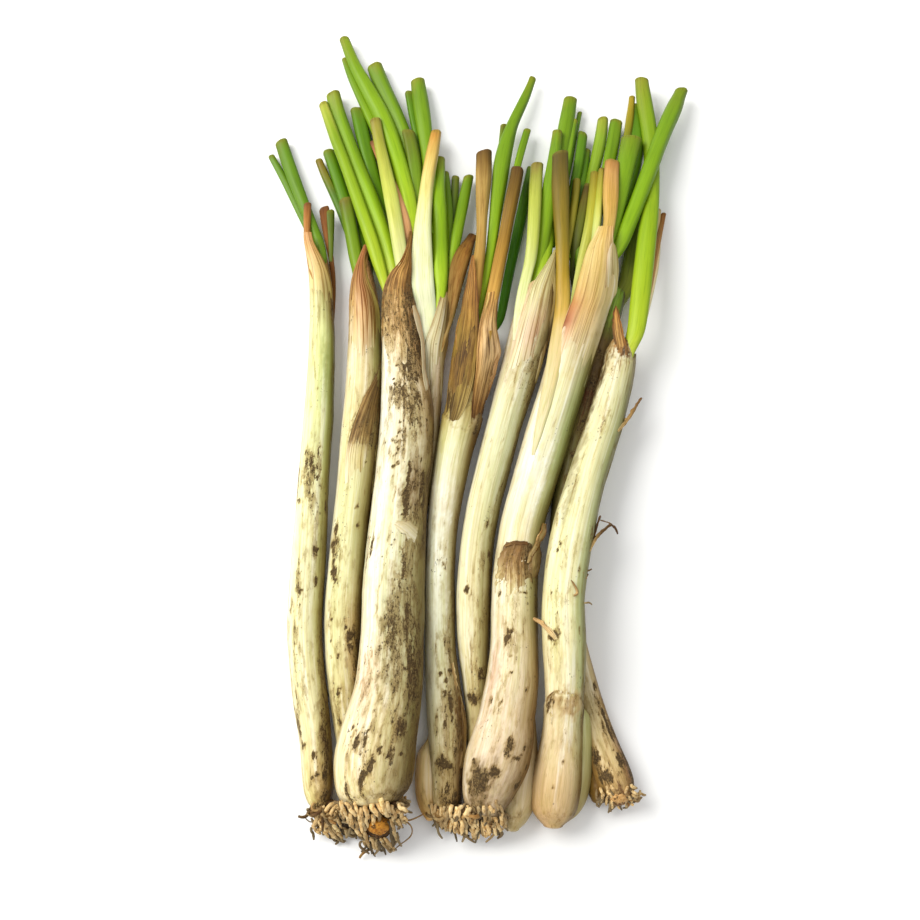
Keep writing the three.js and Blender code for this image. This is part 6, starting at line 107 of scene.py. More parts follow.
# leaves from sheath to cut tip: x, y, z, half width; colour stops along them
LEAVES = {
    "rakkyo_1_leaf_1": {'node': True, 'slot': "green_leaf", 'rows': [[-47.49, 35.66, 2.95, 0.95], [-48.91, 40.7, 3.14, 1.11], [-50.03, 45.91, 2.38, 1.23], [-50.8, 48.46, 2.05, 1.25], [-51.76, 50.92, 1.9, 1.25], [-55.28, 58.03, 1.65, 1.14], [-61.83, 72.46, 1.33, 1.25], [-66.8, 81.91, 1.12, 1.03]], 'stops': [(0, (150, 186, 40)), (0.35, (116, 162, 26)), (0.9, (108, 154, 24)), (1, (124, 144, 36))], 'gain': (0.74, 0.69, 0.42)},
    "rakkyo_1_leaf_2": {'node': True, 'slot': "green_leaf", 'rows': [[-45.66, 30.72, 4.25, 0.9], [-46.39, 35.55, 4.45, 1.07], [-47.79, 40.66, 4.27, 1.38], [-48.7, 45.83, 3.95, 1.7], [-53.52, 58.55, 3.13, 1.77], [-57.35, 68.59, 2.74, 1.98], [-60.16, 76.37, 2.24, 2.14], [-63.6, 86.83, 1.74, 2.06]], 'stops': [(0, (150, 186, 40)), (0.35, (116, 162, 26)), (0.9, (108, 154, 24)), (1, (124, 144, 36))], 'gain': (0.74, 0.69, 0.42)},
    "rakkyo_1_leaf_3": {'node': True, 'slot': "dried_leaf", 'rows': [[-48.17, 29.04, 6.8, 0.45, 0.3], [-48.86, 32.2, 7.23, 0.91, 0.35], [-50, 35.95, 7.86, 1.51, 0.45], [-51.51, 39.97, 6.61, 0.91, 1], [-52.36, 45.49, 5.85, 0.95, 1], [-53.02, 50.96, 5.22, 1.04, 1], [-53.18, 53.64, 5.04, 1.11, 1], [-53.24, 56.2, 5.05, 1.18, 1], [-53.37, 61.59, 4.68, 1.22, 1]], 'stops': [(0, (222, 176, 120)), (0.4, (210, 156, 98)), (0.8, (200, 140, 80)), (1, (150, 96, 44))], 'dry': 0.6},
    "rakkyo_1_leaf_4": {'node': True, 'slot': "dried_leaf", 'rows': [[-43.63, 5.45, 3.26, 0.42], [-43.9, 8.1, 2.99, 0.46], [-44.33, 13.07, 3.2, 0.56], [-44.32, 25.63, 3.45, 0.9], [-44.26, 30.71, 3.43, 0.87], [-44.47, 35.77, 3.42, 0.84], [-45.53, 43.26, 3.49, 0.88], [-47.46, 53.03, 3.77, 1.28], [-47.82, 55.47, 3.86, 1.4], [-48.25, 60.37, 4.08, 1.72]], 'stops': [(0, (120, 80, 30)), (0.4, (136, 92, 38)), (0.8, (150, 98, 40)), (1, (130, 80, 30))], 'dry': 0.8, 'dirt': 0.2, 'flat': 0.4},
    "rakkyo_2_leaf_1": {'node': True, 'slot': "green_leaf", 'rows': [[-35.21, 35.08, 3.91, 0.94], [-35.94, 37.49, 3.77, 1.02], [-39.21, 48.78, 2.2, 1.31], [-40.9, 54.29, 1.7, 1.42], [-42.73, 59.69, 1.35, 1.46], [-44.74, 64.84, 1.27, 1.44], [-49.17, 74.66, 1.59, 1.28], [-51.18, 79.99, 1.69, 1.16]], 'stops': [(0, (150, 190, 44)), (0.35, (110, 152, 22)), (0.7, (98, 138, 18)), (0.88, (140, 134, 34)), (1, (152, 120, 40))]},
    "rakkyo_2_leaf_2": {'node': True, 'slot': "green_leaf", 'rows': [[-31.3, 22.47, 3.04, 0.82], [-32.18, 27.52, 3.1, 0.99], [-34.25, 35.11, 3.73, 1.68], [-34.8, 37.72, 3.58, 1.86], [-33.89, 40.13, 3.14, 1.93], [-33.98, 42.33, 2.89, 1.91], [-36.63, 49.22, 3.3, 1.83], [-41.38, 61.84, 2.92, 1.98], [-43.04, 67.05, 2.66, 1.95], [-46.46, 78.06, 1.55, 2.06], [-48.23, 83.35, 1.24, 2.01]], 'stops': [(0, (150, 186, 40)), (0.35, (116, 162, 26)), (0.9, (108, 154, 24)), (1, (124, 144, 36))]},
    "rakkyo_2_leaf_3": {'node': True, 'slot': "green_leaf", 'rows': [[-36.04, 27.21, 7.06, 1.46], [-36.29, 32.73, 6.07, 1.73], [-36.13, 35.63, 5.62, 1.88], [-36.71, 38.46, 5.42, 2.05], [-37.51, 41.15, 5.39, 2.17], [-38.9, 49.29, 5.2, 2.19], [-40.46, 57.18, 5.21, 2.26], [-41.49, 62.82, 5.03, 2.2]], 'stops': [(0, (176, 206, 90)), (0.3, (150, 180, 44)), (0.7, (128, 160, 32)), (0.92, (124, 136, 40)), (1, (128, 120, 42))]},
    "rakkyo_2_dry_tip": {'node': False, 'slot': "dried_leaf", 'rows': [[-37.65, 23.73, 7.9, 0.45, 0.3], [-36.58, 28.83, 8.41, 1.2, 0.4], [-35.84, 33.66, 8.27, 1.39, 0.6], [-35.07, 38.01, 6.89, 1.11, 1], [-34.67, 41.47, 5.76, 0.97, 1], [-34.34, 44.88, 4.87, 0.72, 1], [-34.09, 48.24, 4.18, 0.72, 1]], 'stops': [(0, (232, 196, 140)), (0.35, (228, 184, 124)), (0.75, (208, 160, 98)), (1, (150, 98, 48))], 'dry': 0.7, 'flat': 0.5},
    "rakkyo_3_leaf_1": {'node': True, 'slot': "green_leaf", 'rows': [[-27.38, 21.98, 7.36, 0.95], [-27.18, 27.11, 7.16, 1.15], [-27.51, 29.64, 7.23, 1.3], [-28.56, 32.19, 7.42, 1.51], [-30.57, 39.35, 8.11, 1.99], [-32.78, 46.82, 8.2, 2.08], [-35.33, 54.58, 7.71, 2.02], [-41.29, 73.21, 6.02, 1.82], [-45.91, 86.5, 4.89, 1.81], [-50.39, 100.32, 3.45, 1.55]], 'stops': [(0, (244, 246, 190)), (0.07, (224, 238, 120)), (0.15, (198, 226, 66)), (0.4, (168, 206, 38)), (0.8, (148, 186, 30)), (0.95, (190, 206, 90)), (1, (196, 200, 96))], 'gain': (0.74, 0.69, 0.42)},
    "rakkyo_3_leaf_2": {'node': True, 'slot': "green_leaf", 'rows': [[-24.6, 30.09, 6.61, 1.66], [-28.61, 45.05, 6.37, 2.82], [-31.71, 55.24, 5.9, 3.05], [-34.28, 62.99, 5.35, 3.01], [-39.13, 76.19, 3.9, 2.95], [-41.75, 84.04, 3.32, 2.87], [-45.76, 97.03, 2.79, 2.63], [-47.46, 104.81, 2.77, 2.33]], 'stops': [(0, (244, 246, 190)), (0.06, (222, 236, 110)), (0.14, (196, 224, 60)), (0.4, (168, 206, 36)), (0.85, (144, 182, 28)), (1, (156, 166, 56))]},
    "rakkyo_3_leaf_3": {'node': True, 'slot': "green_leaf", 'rows': [[-23.95, 38.86, 5.25, 1.56], [-26.99, 49.23, 4.21, 2.03], [-29.96, 59.61, 3.57, 2.19], [-32.1, 67.34, 3.29, 2.23], [-35.26, 80.17, 3.11, 2.28], [-37.65, 90.83, 2.59, 2.44], [-39.37, 98.92, 2.21, 2.34]], 'stops': [(0, (150, 186, 40)), (0.35, (116, 162, 26)), (0.9, (108, 154, 24)), (1, (124, 144, 36))]},
    "rakkyo_3_leaf_4": {'node': True, 'slot': "green_leaf", 'rows': [[-19.48, 42.25, 6.61, 1.75], [-19.71, 44.82, 6.95, 1.9], [-20.11, 49.03, 8.13, 2.17], [-20.34, 51.39, 8.57, 2.27], [-20.63, 54.01, 8.73, 2.36], [-21.01, 56.85, 8.63, 2.44], [-22.06, 62.81, 7.96, 2.54], [-24.67, 74.85, 6.15, 2.57], [-25.39, 77.8, 5.76, 2.59], [-26.99, 83.42, 5.29, 2.69], [-28.81, 89.06, 4.87, 2.86], [-30.86, 94.51, 4.61, 2.91], [-34.37, 102.2, 4.5, 2.63], [-39.41, 112.78, 3.93, 2.09], [-41.63, 118.33, 3.57, 1.89], [-44.49, 127.08, 2.82, 1.64]], 'stops': [(0, (244, 246, 190)), (0.06, (222, 236, 110)), (0.14, (196, 224, 60)), (0.4, (168, 206, 36)), (0.85, (144, 182, 28)), (1, (156, 166, 56))]},
    "rakkyo_3_leaf_5": {'node': True, 'slot': "green_leaf", 'rows': [[-25.12, 60.81, 7.13, 1.39], [-26.49, 66.6, 6.56, 1.39], [-28.42, 74.88, 5.12, 1.7], [-29.87, 80.56, 4.49, 1.72], [-32.66, 88.53, 4.12, 1.57], [-36.83, 99.1, 3.69, 1.53], [-41.24, 110.28, 2.94, 1.42], [-43.27, 116.13, 2.59, 1.18], [-44.08, 119.2, 2.42, 1.16]], 'stops': [(0, (206, 226, 96)), (0.08, (184, 214, 54)), (0.3, (160, 196, 34)), (0.7, (136, 174, 26)), (0.92, (128, 164, 28)), (1, (150, 160, 44))]},
    "rakkyo_3_leaf_6": {'node': True, 'slot': "green_leaf", 'rows': [[-19.01, 53.86, 6.04, 1.67], [-19.65, 62.15, 4.94, 2.07], [-19.91, 68.04, 4.18, 2.28], [-20.13, 70.88, 3.93, 2.36], [-20.94, 76.43, 3.61, 2.51], [-22.13, 81.97, 3.32, 2.59], [-23.64, 87.29, 3.21, 2.61], [-27.31, 97.32, 3.48, 2.62], [-31.5, 107.89, 2.98, 2.7], [-34.24, 116.21, 2.58, 2.6]], 'stops': [(0, (206, 226, 96)), (0.08, (184, 214, 54)), (0.3, (160, 196, 34)), (0.7, (136, 174, 26)), (0.92, (128, 164, 28)), (1, (150, 160, 44))]},
    "rakkyo_3_leaf_7": {'node': True, 'slot': "pale_leaf", 'rows': [[-22.65, 28.56, 8.19, 1.54], [-23.03, 30.97, 8.38, 1.68], [-22.86, 33.68, 8.67, 1.82], [-23.45, 39.02, 9.18, 2.1], [-23.82, 41.53, 9.54, 2.18], [-24.9, 48.36, 11.13, 2.25], [-25.32, 50.93, 11.32, 2.26], [-25.77, 53.58, 11.28, 2.28], [-26.27, 56.39, 11.02, 2.3], [-27.35, 62.45, 10.04, 2.27], [-30.37, 77.98, 6.98, 1.9], [-31.51, 83.63, 6.52, 1.82], [-32.88, 91.5, 6.82, 1.82]], 'stops': [(0, (250, 250, 206)), (0.25, (242, 244, 166)), (0.5, (220, 226, 110)), (0.8, (190, 192, 80)), (1, (166, 150, 66))]},
    "rakkyo_3_leaf_8": {'node': True, 'slot': "green_leaf", 'rows': [[-13.89, 42.98, 5.28, 1.5], [-14.26, 51.91, 5.94, 1.5], [-14.45, 56.54, 6.68, 1.74], [-14.55, 58.99, 6.77, 1.84], [-14.66, 61.79, 6.58, 1.91], [-14.97, 67.64, 5.83, 1.99], [-15.71, 76.18, 4.99, 2.05], [-16.28, 81.76, 4.67, 2.14], [-17.16, 89.72, 4.56, 2.44], [-17.86, 95.35, 4.2, 2.62], [-18.64, 101.15, 3.63, 2.64], [-19.73, 110.02, 2.74, 2.32]], 'stops': [(0, (206, 226, 96)), (0.08, (184, 214, 54)), (0.3, (160, 196, 34)), (0.7, (136, 174, 26)), (0.92, (128, 164, 28)), (1, (150, 160, 44))]},
    "rakkyo_3_thin_leaf_1": {'node': False, 'slot': "green_leaf", 'rows': [[-13.83, 48.78, 7.09, 1.23], [-14.81, 57.64, 6.21, 1.23], [-15.12, 60.29, 5.56, 1.34], [-15.75, 66.19, 4.55, 1.54], [-16.8, 74.95, 3.47, 1.73], [-17.7, 80.57, 3.14, 1.7], [-20.5, 94.22, 2.82, 1.68], [-22.47, 105.41, 2.51, 1.48]], 'stops': [(0, (150, 186, 40)), (0.35, (116, 162, 26)), (0.9, (108, 154, 24)), (1, (124, 144, 36))]},
    "rakkyo_3_leaf_9": {'node': True, 'slot': "green_leaf", 'rows': [[-19.23, 39.77, 6.34, 1.19], [-19, 47.32, 6.51, 1.29], [-18.72, 54.42, 7.29, 1.49], [-18.68, 57.12, 7.23, 1.53], [-19.05, 65.91, 6.35, 1.85], [-19.48, 71.39, 6.13, 2.05], [-20.22, 76.87, 5.94, 2.15], [-22.3, 87.88, 5.52, 2.11]], 'stops': [(0, (176, 206, 90)), (0.3, (150, 180, 44)), (0.7, (128, 160, 32)), (0.92, (124, 136, 40)), (1, (128, 120, 42))]},
    "rakkyo_3_leaf_10": {'node': True, 'slot': "pale_leaf", 'rows': [[-15.19, 9.66, 5.65, 1.78, 0.2], [-15.36, 13.88, 6.4, 2.37, 0.18], [-15.54, 18.24, 6.93, 2.92, 0.18], [-15.92, 24, 6.11, 3.18, 0.18], [-16.9, 29.64, 8.95, 3.42, 0.19], [-17.05, 32.89, 8, 3.41, 0.21], [-17.17, 35.97, 7.37, 3.36, 0.22], [-17.22, 38.51, 7.71, 3.29, 0.24], [-17.21, 40.39, 9.17, 3.17, 0.27], [-17.23, 43.09, 9.23, 3.05, 0.3], [-17.19, 45.39, 9.94, 2.89, 0.32], [-17.13, 47.86, 10.38, 2.73, 0.37], [-17.02, 50.47, 10.57, 2.56, 0.44], [-16.85, 53.36, 10.32, 2.42, 0.51], [-16.31, 62.95, 8.3, 2.1, 0.75], [-15.76, 68.87, 7.75, 2.07, 0.9], [-14.55, 77.88, 6.93, 2.05, 0.9], [-13.73, 84.49, 5.97, 1.8, 0.9], [-13.41, 88.02, 5.33, 1.73, 0.9]], 'stops': [(0, (244, 246, 224)), (0.25, (246, 248, 224)), (0.5, (250, 248, 206)), (0.68, (248, 234, 166)), (0.84, (236, 200, 122)), (0.96, (214, 160, 80)), (1, (190, 136, 64))], 'gain': (0.87, 0.85, 0.76)},
    "rakkyo_3_leaf_11": {'node': True, 'slot': "green_leaf", 'rows': [[-11.9, 20.08, 6.3, 1.08], [-11.91, 22.45, 6.51, 1.18], [-11.62, 24.99, 6.78, 1.32], [-11.46, 32.47, 7.55, 2.2], [-11.55, 35.33, 7.41, 2.37], [-11.9, 44.19, 6.33, 2.55], [-11.98, 46.88, 6.39, 2.56], [-12.07, 54.12, 7.71, 2.43], [-12.08, 56.47, 7.91, 2.35], [-12.1, 59.27, 7.83, 2.22], [-12.12, 62.29, 7.35, 2.04], [-12.15, 65.57, 6.46, 1.82], [-12.19, 72.92, 4.3, 1.8], [-12.23, 79.46, 2.96, 1.8]], 'stops': [(0, (244, 246, 190)), (0.06, (222, 236, 110)), (0.14, (196, 224, 60)), (0.4, (168, 206, 36)), (0.85, (144, 182, 28)), (1, (156, 166, 56))]},
    "rakkyo_3_thin_leaf_4": {'node': False, 'slot': "dried_leaf", 'rows': [[-22.28, 31.89, 6.64, 0.9], [-21.88, 36.95, 6.82, 1.05], [-21.67, 39.4, 7.11, 1.11], [-21.5, 41.73, 7.54, 1.19], [-21.49, 44.15, 8.13, 1.34], [-21.65, 46.23, 8.81, 1.58], [-22, 48.46, 9.43, 1.79], [-22.48, 50.83, 9.78, 1.89], [-23.07, 53.41, 9.8, 1.86], [-23.75, 56.22, 9.49, 1.75], [-25.42, 62.27, 8.33, 1.55], [-28.53, 70.48, 6.96, 1.32], [-33.93, 85, 4.24, 0.98]], 'stops': [(0, (246, 196, 150)), (0.5, (240, 184, 140)), (0.85, (228, 166, 122)), (1, (130, 80, 46))], 'dry': 0.5},
    "rakkyo_3_thin_leaf_2": {'node': False, 'slot': "green_leaf", 'rows': [[-9.38, 28.4, 4.87, 0.72], [-9.07, 35.87, 4.83, 0.93], [-8.83, 44.16, 4.21, 1.2], [-8.92, 52.23, 3.94, 1.24], [-9.18, 57.71, 3.66, 1.24], [-9.92, 69.27, 2.54, 1.13], [-10.43, 75.13, 2.14, 1.05]], 'stops': [(0, (206, 226, 96)), (0.08, (184, 214, 54)), (0.3, (160, 196, 34)), (0.7, (136, 174, 26)), (0.92, (128, 164, 28)), (1, (150, 160, 44))]},
    "rakkyo_3_thin_leaf_3": {'node': False, 'slot': "green_leaf", 'rows': [[-8.2, 33.3, 4.04, 0.85], [-7.91, 47.59, 2.49, 1.22], [-7.71, 58.93, 2.15, 1.29], [-7.07, 73.5, 1.79, 1.2]], 'stops': [(0, (110, 140, 30)), (0.6, (104, 134, 24)), (1, (116, 120, 34))], 'dark': -0.6},
    "rakkyo_3_leaf_12": {'node': True, 'slot': "green_leaf", 'rows': [[-9.2, 32.22, 6.16, 0.96], [-6.62, 50.42, 5.37, 1.73], [-4.79, 61.78, 3.77, 1.76], [-2.93, 72.85, 2.73, 1.54]], 'stops': [(0, (206, 226, 96)), (0.08, (184, 214, 54)), (0.3, (160, 196, 34)), (0.7, (136, 174, 26)), (0.92, (128, 164, 28)), (1, (150, 160, 44))]},
    "rakkyo_3_leaf_13": {'node': True, 'slot': "dried_leaf", 'rows': [[-11.34, 9.59, 5.78, 0.44, 0.3], [-10.47, 14.87, 6.39, 1.04, 0.5], [-8.84, 21.58, 4.47, 1.33, 1], [-8.35, 23.91, 5.04, 1.53, 1], [-7.89, 25.92, 6.19, 1.72, 1], [-7.51, 28.46, 6.38, 1.93, 1], [-7.17, 30.41, 7.66, 2.15, 1], [-6.37, 35.49, 8.03, 2.62, 1], [-5.8, 38.18, 7.89, 2.72, 1], [-5.02, 40.99, 7.49, 2.59, 1], [-4.02, 44.05, 6.54, 2.19, 1], [-2.84, 48.06, 3.97, 1.59, 1], [-1.58, 51.63, 2.14, 1.48, 1]], 'stops': [(0, (196, 176, 124)), (0.4, (184, 146, 84)), (0.8, (164, 120, 48)), (1, (130, 88, 30))], 'dry': 0.9, 'flat': 0.4, 'dark': -0.4},
    "rakkyo_4_leaf_1": {'node': True, 'slot': "dried_leaf", 'rows': [[-5.72, 7.23, 12.04, 1.16, 0.25], [-5.13, 11.99, 12.17, 2.33, 0.3], [-3.96, 16.8, 12.29, 2.49, 0.45], [-1.79, 24.76, 10.97, 2.04, 1], [0.35, 41.58, 9.19, 1.68, 1], [0.8, 47.3, 8.57, 1.57, 1], [0.98, 53.08, 7.96, 1.66, 1], [1.27, 61.76, 7.14, 2.17, 1], [1.55, 67.41, 6.95, 2.55, 1], [1.67, 70.33, 6.75, 2.63, 1], [1.77, 73.62, 6.06, 2.54, 1], [1.92, 80.15, 5.17, 2.54, 1]], 'stops': [(0, (178, 128, 60)), (0.3, (186, 140, 72)), (0.6, (200, 164, 98)), (0.85, (190, 156, 96)), (0.93, (140, 106, 48)), (1, (104, 76, 28))], 'dry': 0.5, 'gain': (0.8, 0.79, 0.62)},
    "rakkyo_4_leaf_2": {'node': True, 'slot': "dried_leaf", 'rows': [[-0.53, 0.37, 11.75, 0.72, 0.25], [0.05, 5.2, 12.95, 1.44, 0.35], [1.24, 10.45, 13.34, 2.03, 0.5], [2.49, 19, 10.25, 1.92, 1], [4.21, 27.35, 9.48, 1.93, 1], [8.39, 49.88, 7.85, 1.89, 1], [8.84, 52.54, 7.96, 1.91, 1], [9.29, 54.95, 8.47, 1.96, 1], [9.72, 56.91, 9.67, 2.02, 1], [10.25, 59.6, 9.72, 2.06, 1], [11.49, 66.06, 8.37, 1.98, 1], [12.52, 72.76, 7.17, 1.98, 1]], 'stops': [(0, (238, 180, 104)), (0.3, (236, 186, 108)), (0.55, (190, 146, 66)), (0.8, (150, 116, 42)), (0.93, (116, 86, 26)), (1, (90, 60, 18))], 'dry': 0.5, 'gain': (0.8, 0.79, 0.6)},
    "rakkyo_4_leaf_3": {'node': True, 'slot': "green_leaf", 'rows': [[-1.49, 14.4, 8.8, 1.05], [0.22, 23.23, 8.62, 1.05], [2.2, 33.59, 7.97, 1.36], [3.53, 41.68, 7.47, 1.46], [5.22, 55.28, 6.84, 1.87], [6.8, 69.5, 5.73, 2.53], [7.48, 74.89, 5.59, 2.66], [8.4, 80.42, 5.37, 2.56], [9.65, 85.96, 5.05, 2.24], [11.26, 91.44, 4.71, 1.81], [15.57, 102.09, 4.01, 1.58], [17.55, 107.65, 3.71, 1.19], [18.39, 110.55, 3.58, 1.19]], 'stops': [(0, (206, 226, 96)), (0.08, (184, 214, 54)), (0.3, (160, 196, 34)), (0.7, (136, 174, 26)), (0.92, (128, 164, 28)), (1, (150, 160, 44))]},
    "rakkyo_4_thin_leaf": {'node': False, 'slot': "green_leaf", 'rows': [[9.58, 58.23, 7.83, 0.85], [11.95, 72.43, 5.51, 1.13], [13.86, 81.07, 4.58, 1.21], [16.15, 90.09, 3.58, 1.16]], 'stops': [(0, (206, 226, 96)), (0.08, (184, 214, 54)), (0.3, (160, 196, 34)), (0.7, (136, 174, 26)), (0.92, (128, 164, 28)), (1, (150, 160, 44))]},
    "rakkyo_4_leaf_4": {'node': True, 'slot': "green_leaf", 'rows': [[2.48, 7.96, 4.44, 0.77], [2.62, 10.51, 4.66, 0.84], [2.55, 13.13, 4.76, 0.92], [2.62, 15.75, 4.47, 1], [6.37, 20.85, 2.94, 1.21], [6.76, 23.51, 2.54, 1.3], [9.1, 36.76, 2.17, 1.52], [13.38, 58.06, 1.63, 1.76], [15.03, 66.1, 1.41, 1.75], [17.22, 76.93, 1.18, 1.5]], 'stops': [(0, (84, 150, 26)), (0.6, (84, 148, 24)), (1, (104, 146, 30))]},
    "rakkyo_5_leaf_1": {'node': True, 'slot': "pale_leaf", 'rows': [[10.1, 11.47, 9.96, 0.44, 0.2], [11.07, 17.26, 10.13, 1.18, 0.25], [12.18, 22.65, 10.56, 1.63, 0.3], [13.31, 28.12, 10.93, 1.78, 0.35], [14.28, 32.66, 11.24, 1.64, 0.5], [15.49, 36.89, 11.38, 1.83, 1], [15.78, 39.38, 11.56, 1.84, 1], [16.03, 41.72, 12.01, 1.85, 1], [16.23, 43.88, 12.75, 1.86, 1], [16.44, 46.39, 12.91, 1.89, 1], [16.66, 49.16, 12.68, 1.92, 1], [17.38, 58.6, 10.31, 1.99, 1], [17.86, 65.28, 8.32, 2.04, 1], [18.19, 69.08, 6.71, 2.01, 1], [18.87, 75.87, 4.84, 1.98, 1]], 'stops': [(0, (252, 252, 226)), (0.25, (240, 244, 186)), (0.5, (216, 224, 120)), (0.7, (196, 204, 90)), (0.9, (170, 172, 72)), (1, (150, 132, 70))]},
    "rakkyo_5_leaf_2": {'node': True, 'slot': "green_leaf", 'rows': [[14.89, 21.36, 10.72, 0.76], [15.41, 23.6, 10.69, 0.82], [15.83, 26.46, 10.44, 0.94], [16.85, 32.13, 9.58, 1.59], [17.76, 37.68, 9.11, 2.37], [18.15, 40.29, 9.22, 2.6], [18.76, 44.67, 10.19, 2.74], [19.15, 47.19, 10.49, 2.74], [19.6, 49.84, 10.38, 2.71], [21.83, 61.71, 8.4, 2.49], [23.26, 70.38, 7.28, 2.31], [24.06, 76.1, 6.79, 2.1], [25.15, 84.54, 6.31, 1.63], [25.47, 87.44, 6.1, 1.61]], 'stops': [(0, (206, 226, 96)), (0.08, (184, 214, 54)), (0.3, (160, 196, 34)), (0.7, (136, 174, 26)), (0.92, (128, 164, 28)), (1, (150, 160, 44))]},
    "rakkyo_5_leaf_3": {'node': True, 'slot': "green_leaf", 'rows': [[18.78, 31.62, 10.59, 1.82], [21.24, 47.26, 9.08, 1.82], [21.62, 49.7, 8.1, 1.97], [22.55, 55.62, 6.77, 2.24], [23.01, 58.56, 6.18, 2.3], [23.89, 64.22, 5.4, 2.35], [25.17, 72.53, 4.63, 2.44], [26.12, 78.01, 4.28, 2.46], [28.47, 91.15, 4.1, 2.48], [30.37, 102.2, 3.56, 2.17]], 'stops': [(0, (206, 226, 96)), (0.08, (184, 214, 54)), (0.3, (160, 196, 34)), (0.7, (136, 174, 26)), (0.92, (128, 164, 28)), (1, (150, 160, 44))]},
    "rakkyo_5_thin_leaf": {'node': False, 'slot': "green_leaf", 'rows': [[22.61, 45.92, 4.73, 0.97], [24.53, 55.98, 4.21, 1.19], [28.44, 74.34, 3.18, 1.17], [31.82, 90.44, 2.22, 0.95], [33.57, 98.27, 2.03, 0.74]], 'stops': [(0, (150, 186, 40)), (0.35, (116, 162, 26)), (0.9, (108, 154, 24)), (1, (124, 144, 36))]},
    "rakkyo_5_leaf_4": {'node': True, 'slot': "green_leaf", 'rows': [[24.76, 41.69, 5.98, 1.2], [26.94, 52.33, 5.3, 1.51], [29.99, 66.27, 4.37, 1.54], [32.25, 77.21, 4.09, 1.57], [32.73, 80.05, 3.94, 1.58], [33.99, 88.9, 3.11, 1.6]], 'stops': [(0, (150, 186, 40)), (0.35, (116, 162, 26)), (0.9, (108, 154, 24)), (1, (124, 144, 36))]},
    "rakkyo_6_leaf_1": {'node': True, 'slot': "pale_leaf", 'rows': [[14.76, -24.9, 11.22, 0.42, 0.2], [16.6, -17.49, 11.55, 1.27, 0.25], [18.79, -9.02, 11.81, 1.85, 0.3], [20.72, -0.7, 12.03, 2.16, 0.3], [22.11, 6.73, 11.75, 2.32, 0.35], [23.65, 14.61, 10.19, 2.35, 0.4], [24.59, 21.35, 8.62, 2.26, 0.5], [25.02, 26.21, 8.9, 2.33, 0.6], [25.11, 34.57, 10.03, 1.94, 1], [25.09, 36.67, 11.09, 1.93, 1], [25.24, 44.83, 11.06, 2.14, 1], [25.19, 47.36, 11.37, 2.25, 1], [25.18, 50.11, 11.33, 2.36, 1], [25.22, 53.14, 10.85, 2.47, 1], [25.25, 56.01, 10.65, 2.56, 1], [25.36, 64.55, 10.24, 2.74, 1], [25.55, 70.72, 9.52, 2.52, 1], [25.93, 77.54, 8.3, 2.52, 1]], 'stops': [(0, (238, 226, 190)), (0.2, (236, 218, 176)), (0.36, (232, 204, 146)), (0.46, (220, 180, 86)), (0.56, (190, 154, 46)), (0.68, (150, 128, 34)), (0.85, (128, 108, 34)), (1, (100, 84, 28))], 'gain': (0.85, 0.83, 0.78)},
    "rakkyo_6_thin_leaf_1": {'node': False, 'slot': "pale_leaf", 'rows': [[26.17, 37.87, 9.45, 0.72], [26.99, 42.84, 9.43, 0.84], [28.17, 50.11, 9.88, 1.11], [28.65, 53, 9.62, 1.18], [29.16, 56.04, 9.01, 1.21], [30.28, 63.02, 7.2, 1.24], [31.06, 69.47, 6.04, 1.25]], 'stops': [(0, (186, 170, 60)), (0.7, (160, 150, 40)), (1, (154, 140, 48))]},
    "rakkyo_6_leaf_2": {'node': True, 'slot': "green_leaf", 'rows': [[28.69, 26.93, 6.93, 0.54], [29, 29.57, 6.81, 0.58], [28.1, 32.51, 6.69, 0.65], [28.05, 35.22, 6.66, 0.77], [28.47, 37.77, 6.87, 0.98], [28.87, 40.17, 7.35, 1.24], [29.22, 42.25, 7.96, 1.49], [30.04, 46.84, 8.97, 1.82], [30.55, 49.52, 9.05, 1.86], [31.15, 52.46, 8.75, 1.83], [32.49, 58.42, 7.74, 1.62], [33.8, 64.46, 6.72, 1.2], [34.41, 67.49, 6.25, 1.2]], 'stops': [(0, (90, 96, 40)), (0.3, (104, 112, 40)), (0.6, (116, 120, 40)), (0.85, (120, 108, 40)), (1, (96, 72, 30))], 'dry': 0.3},
    "rakkyo_6_leaf_3": {'node': True, 'slot': "pale_leaf", 'rows': [[26.99, 18.41, 10.46, 0.44, 0.3], [27.82, 23.42, 9.73, 0.89, 0.3], [29.01, 28.01, 9.9, 1.31, 0.35], [30.26, 33.7, 10.02, 1.56, 0.5], [31.97, 39.93, 8.98, 2.05, 1], [32.53, 42.38, 9.3, 2.04, 1], [33.03, 44.67, 9.88, 1.99, 1], [34.09, 50.09, 9.73, 1.89, 1], [35.03, 55.94, 9, 1.81, 1], [36.97, 71.33, 6.57, 1.64, 1]], 'stops': [(0, (246, 246, 204)), (0.4, (238, 240, 150)), (0.7, (214, 212, 86)), (1, (178, 160, 60))], 'dark': -0.25, 'gain': (0.74, 0.69, 0.42)},
    "rakkyo_6_leaf_4": {'node': True, 'slot': "pale_leaf", 'rows': [[33.57, 33.39, 11.23, 0.95], [34.08, 35.51, 11.33, 1.03], [34.27, 38.49, 11.26, 1.11], [35.88, 49.93, 10.79, 1.28], [36.29, 52.98, 10.53, 1.28], [37.18, 59.38, 9.6, 1.22], [38.84, 72.76, 7.17, 0.94]], 'stops': [(0, (246, 246, 204)), (0.4, (238, 240, 150)), (0.7, (214, 212, 86)), (1, (178, 160, 60))], 'dark': -0.25},
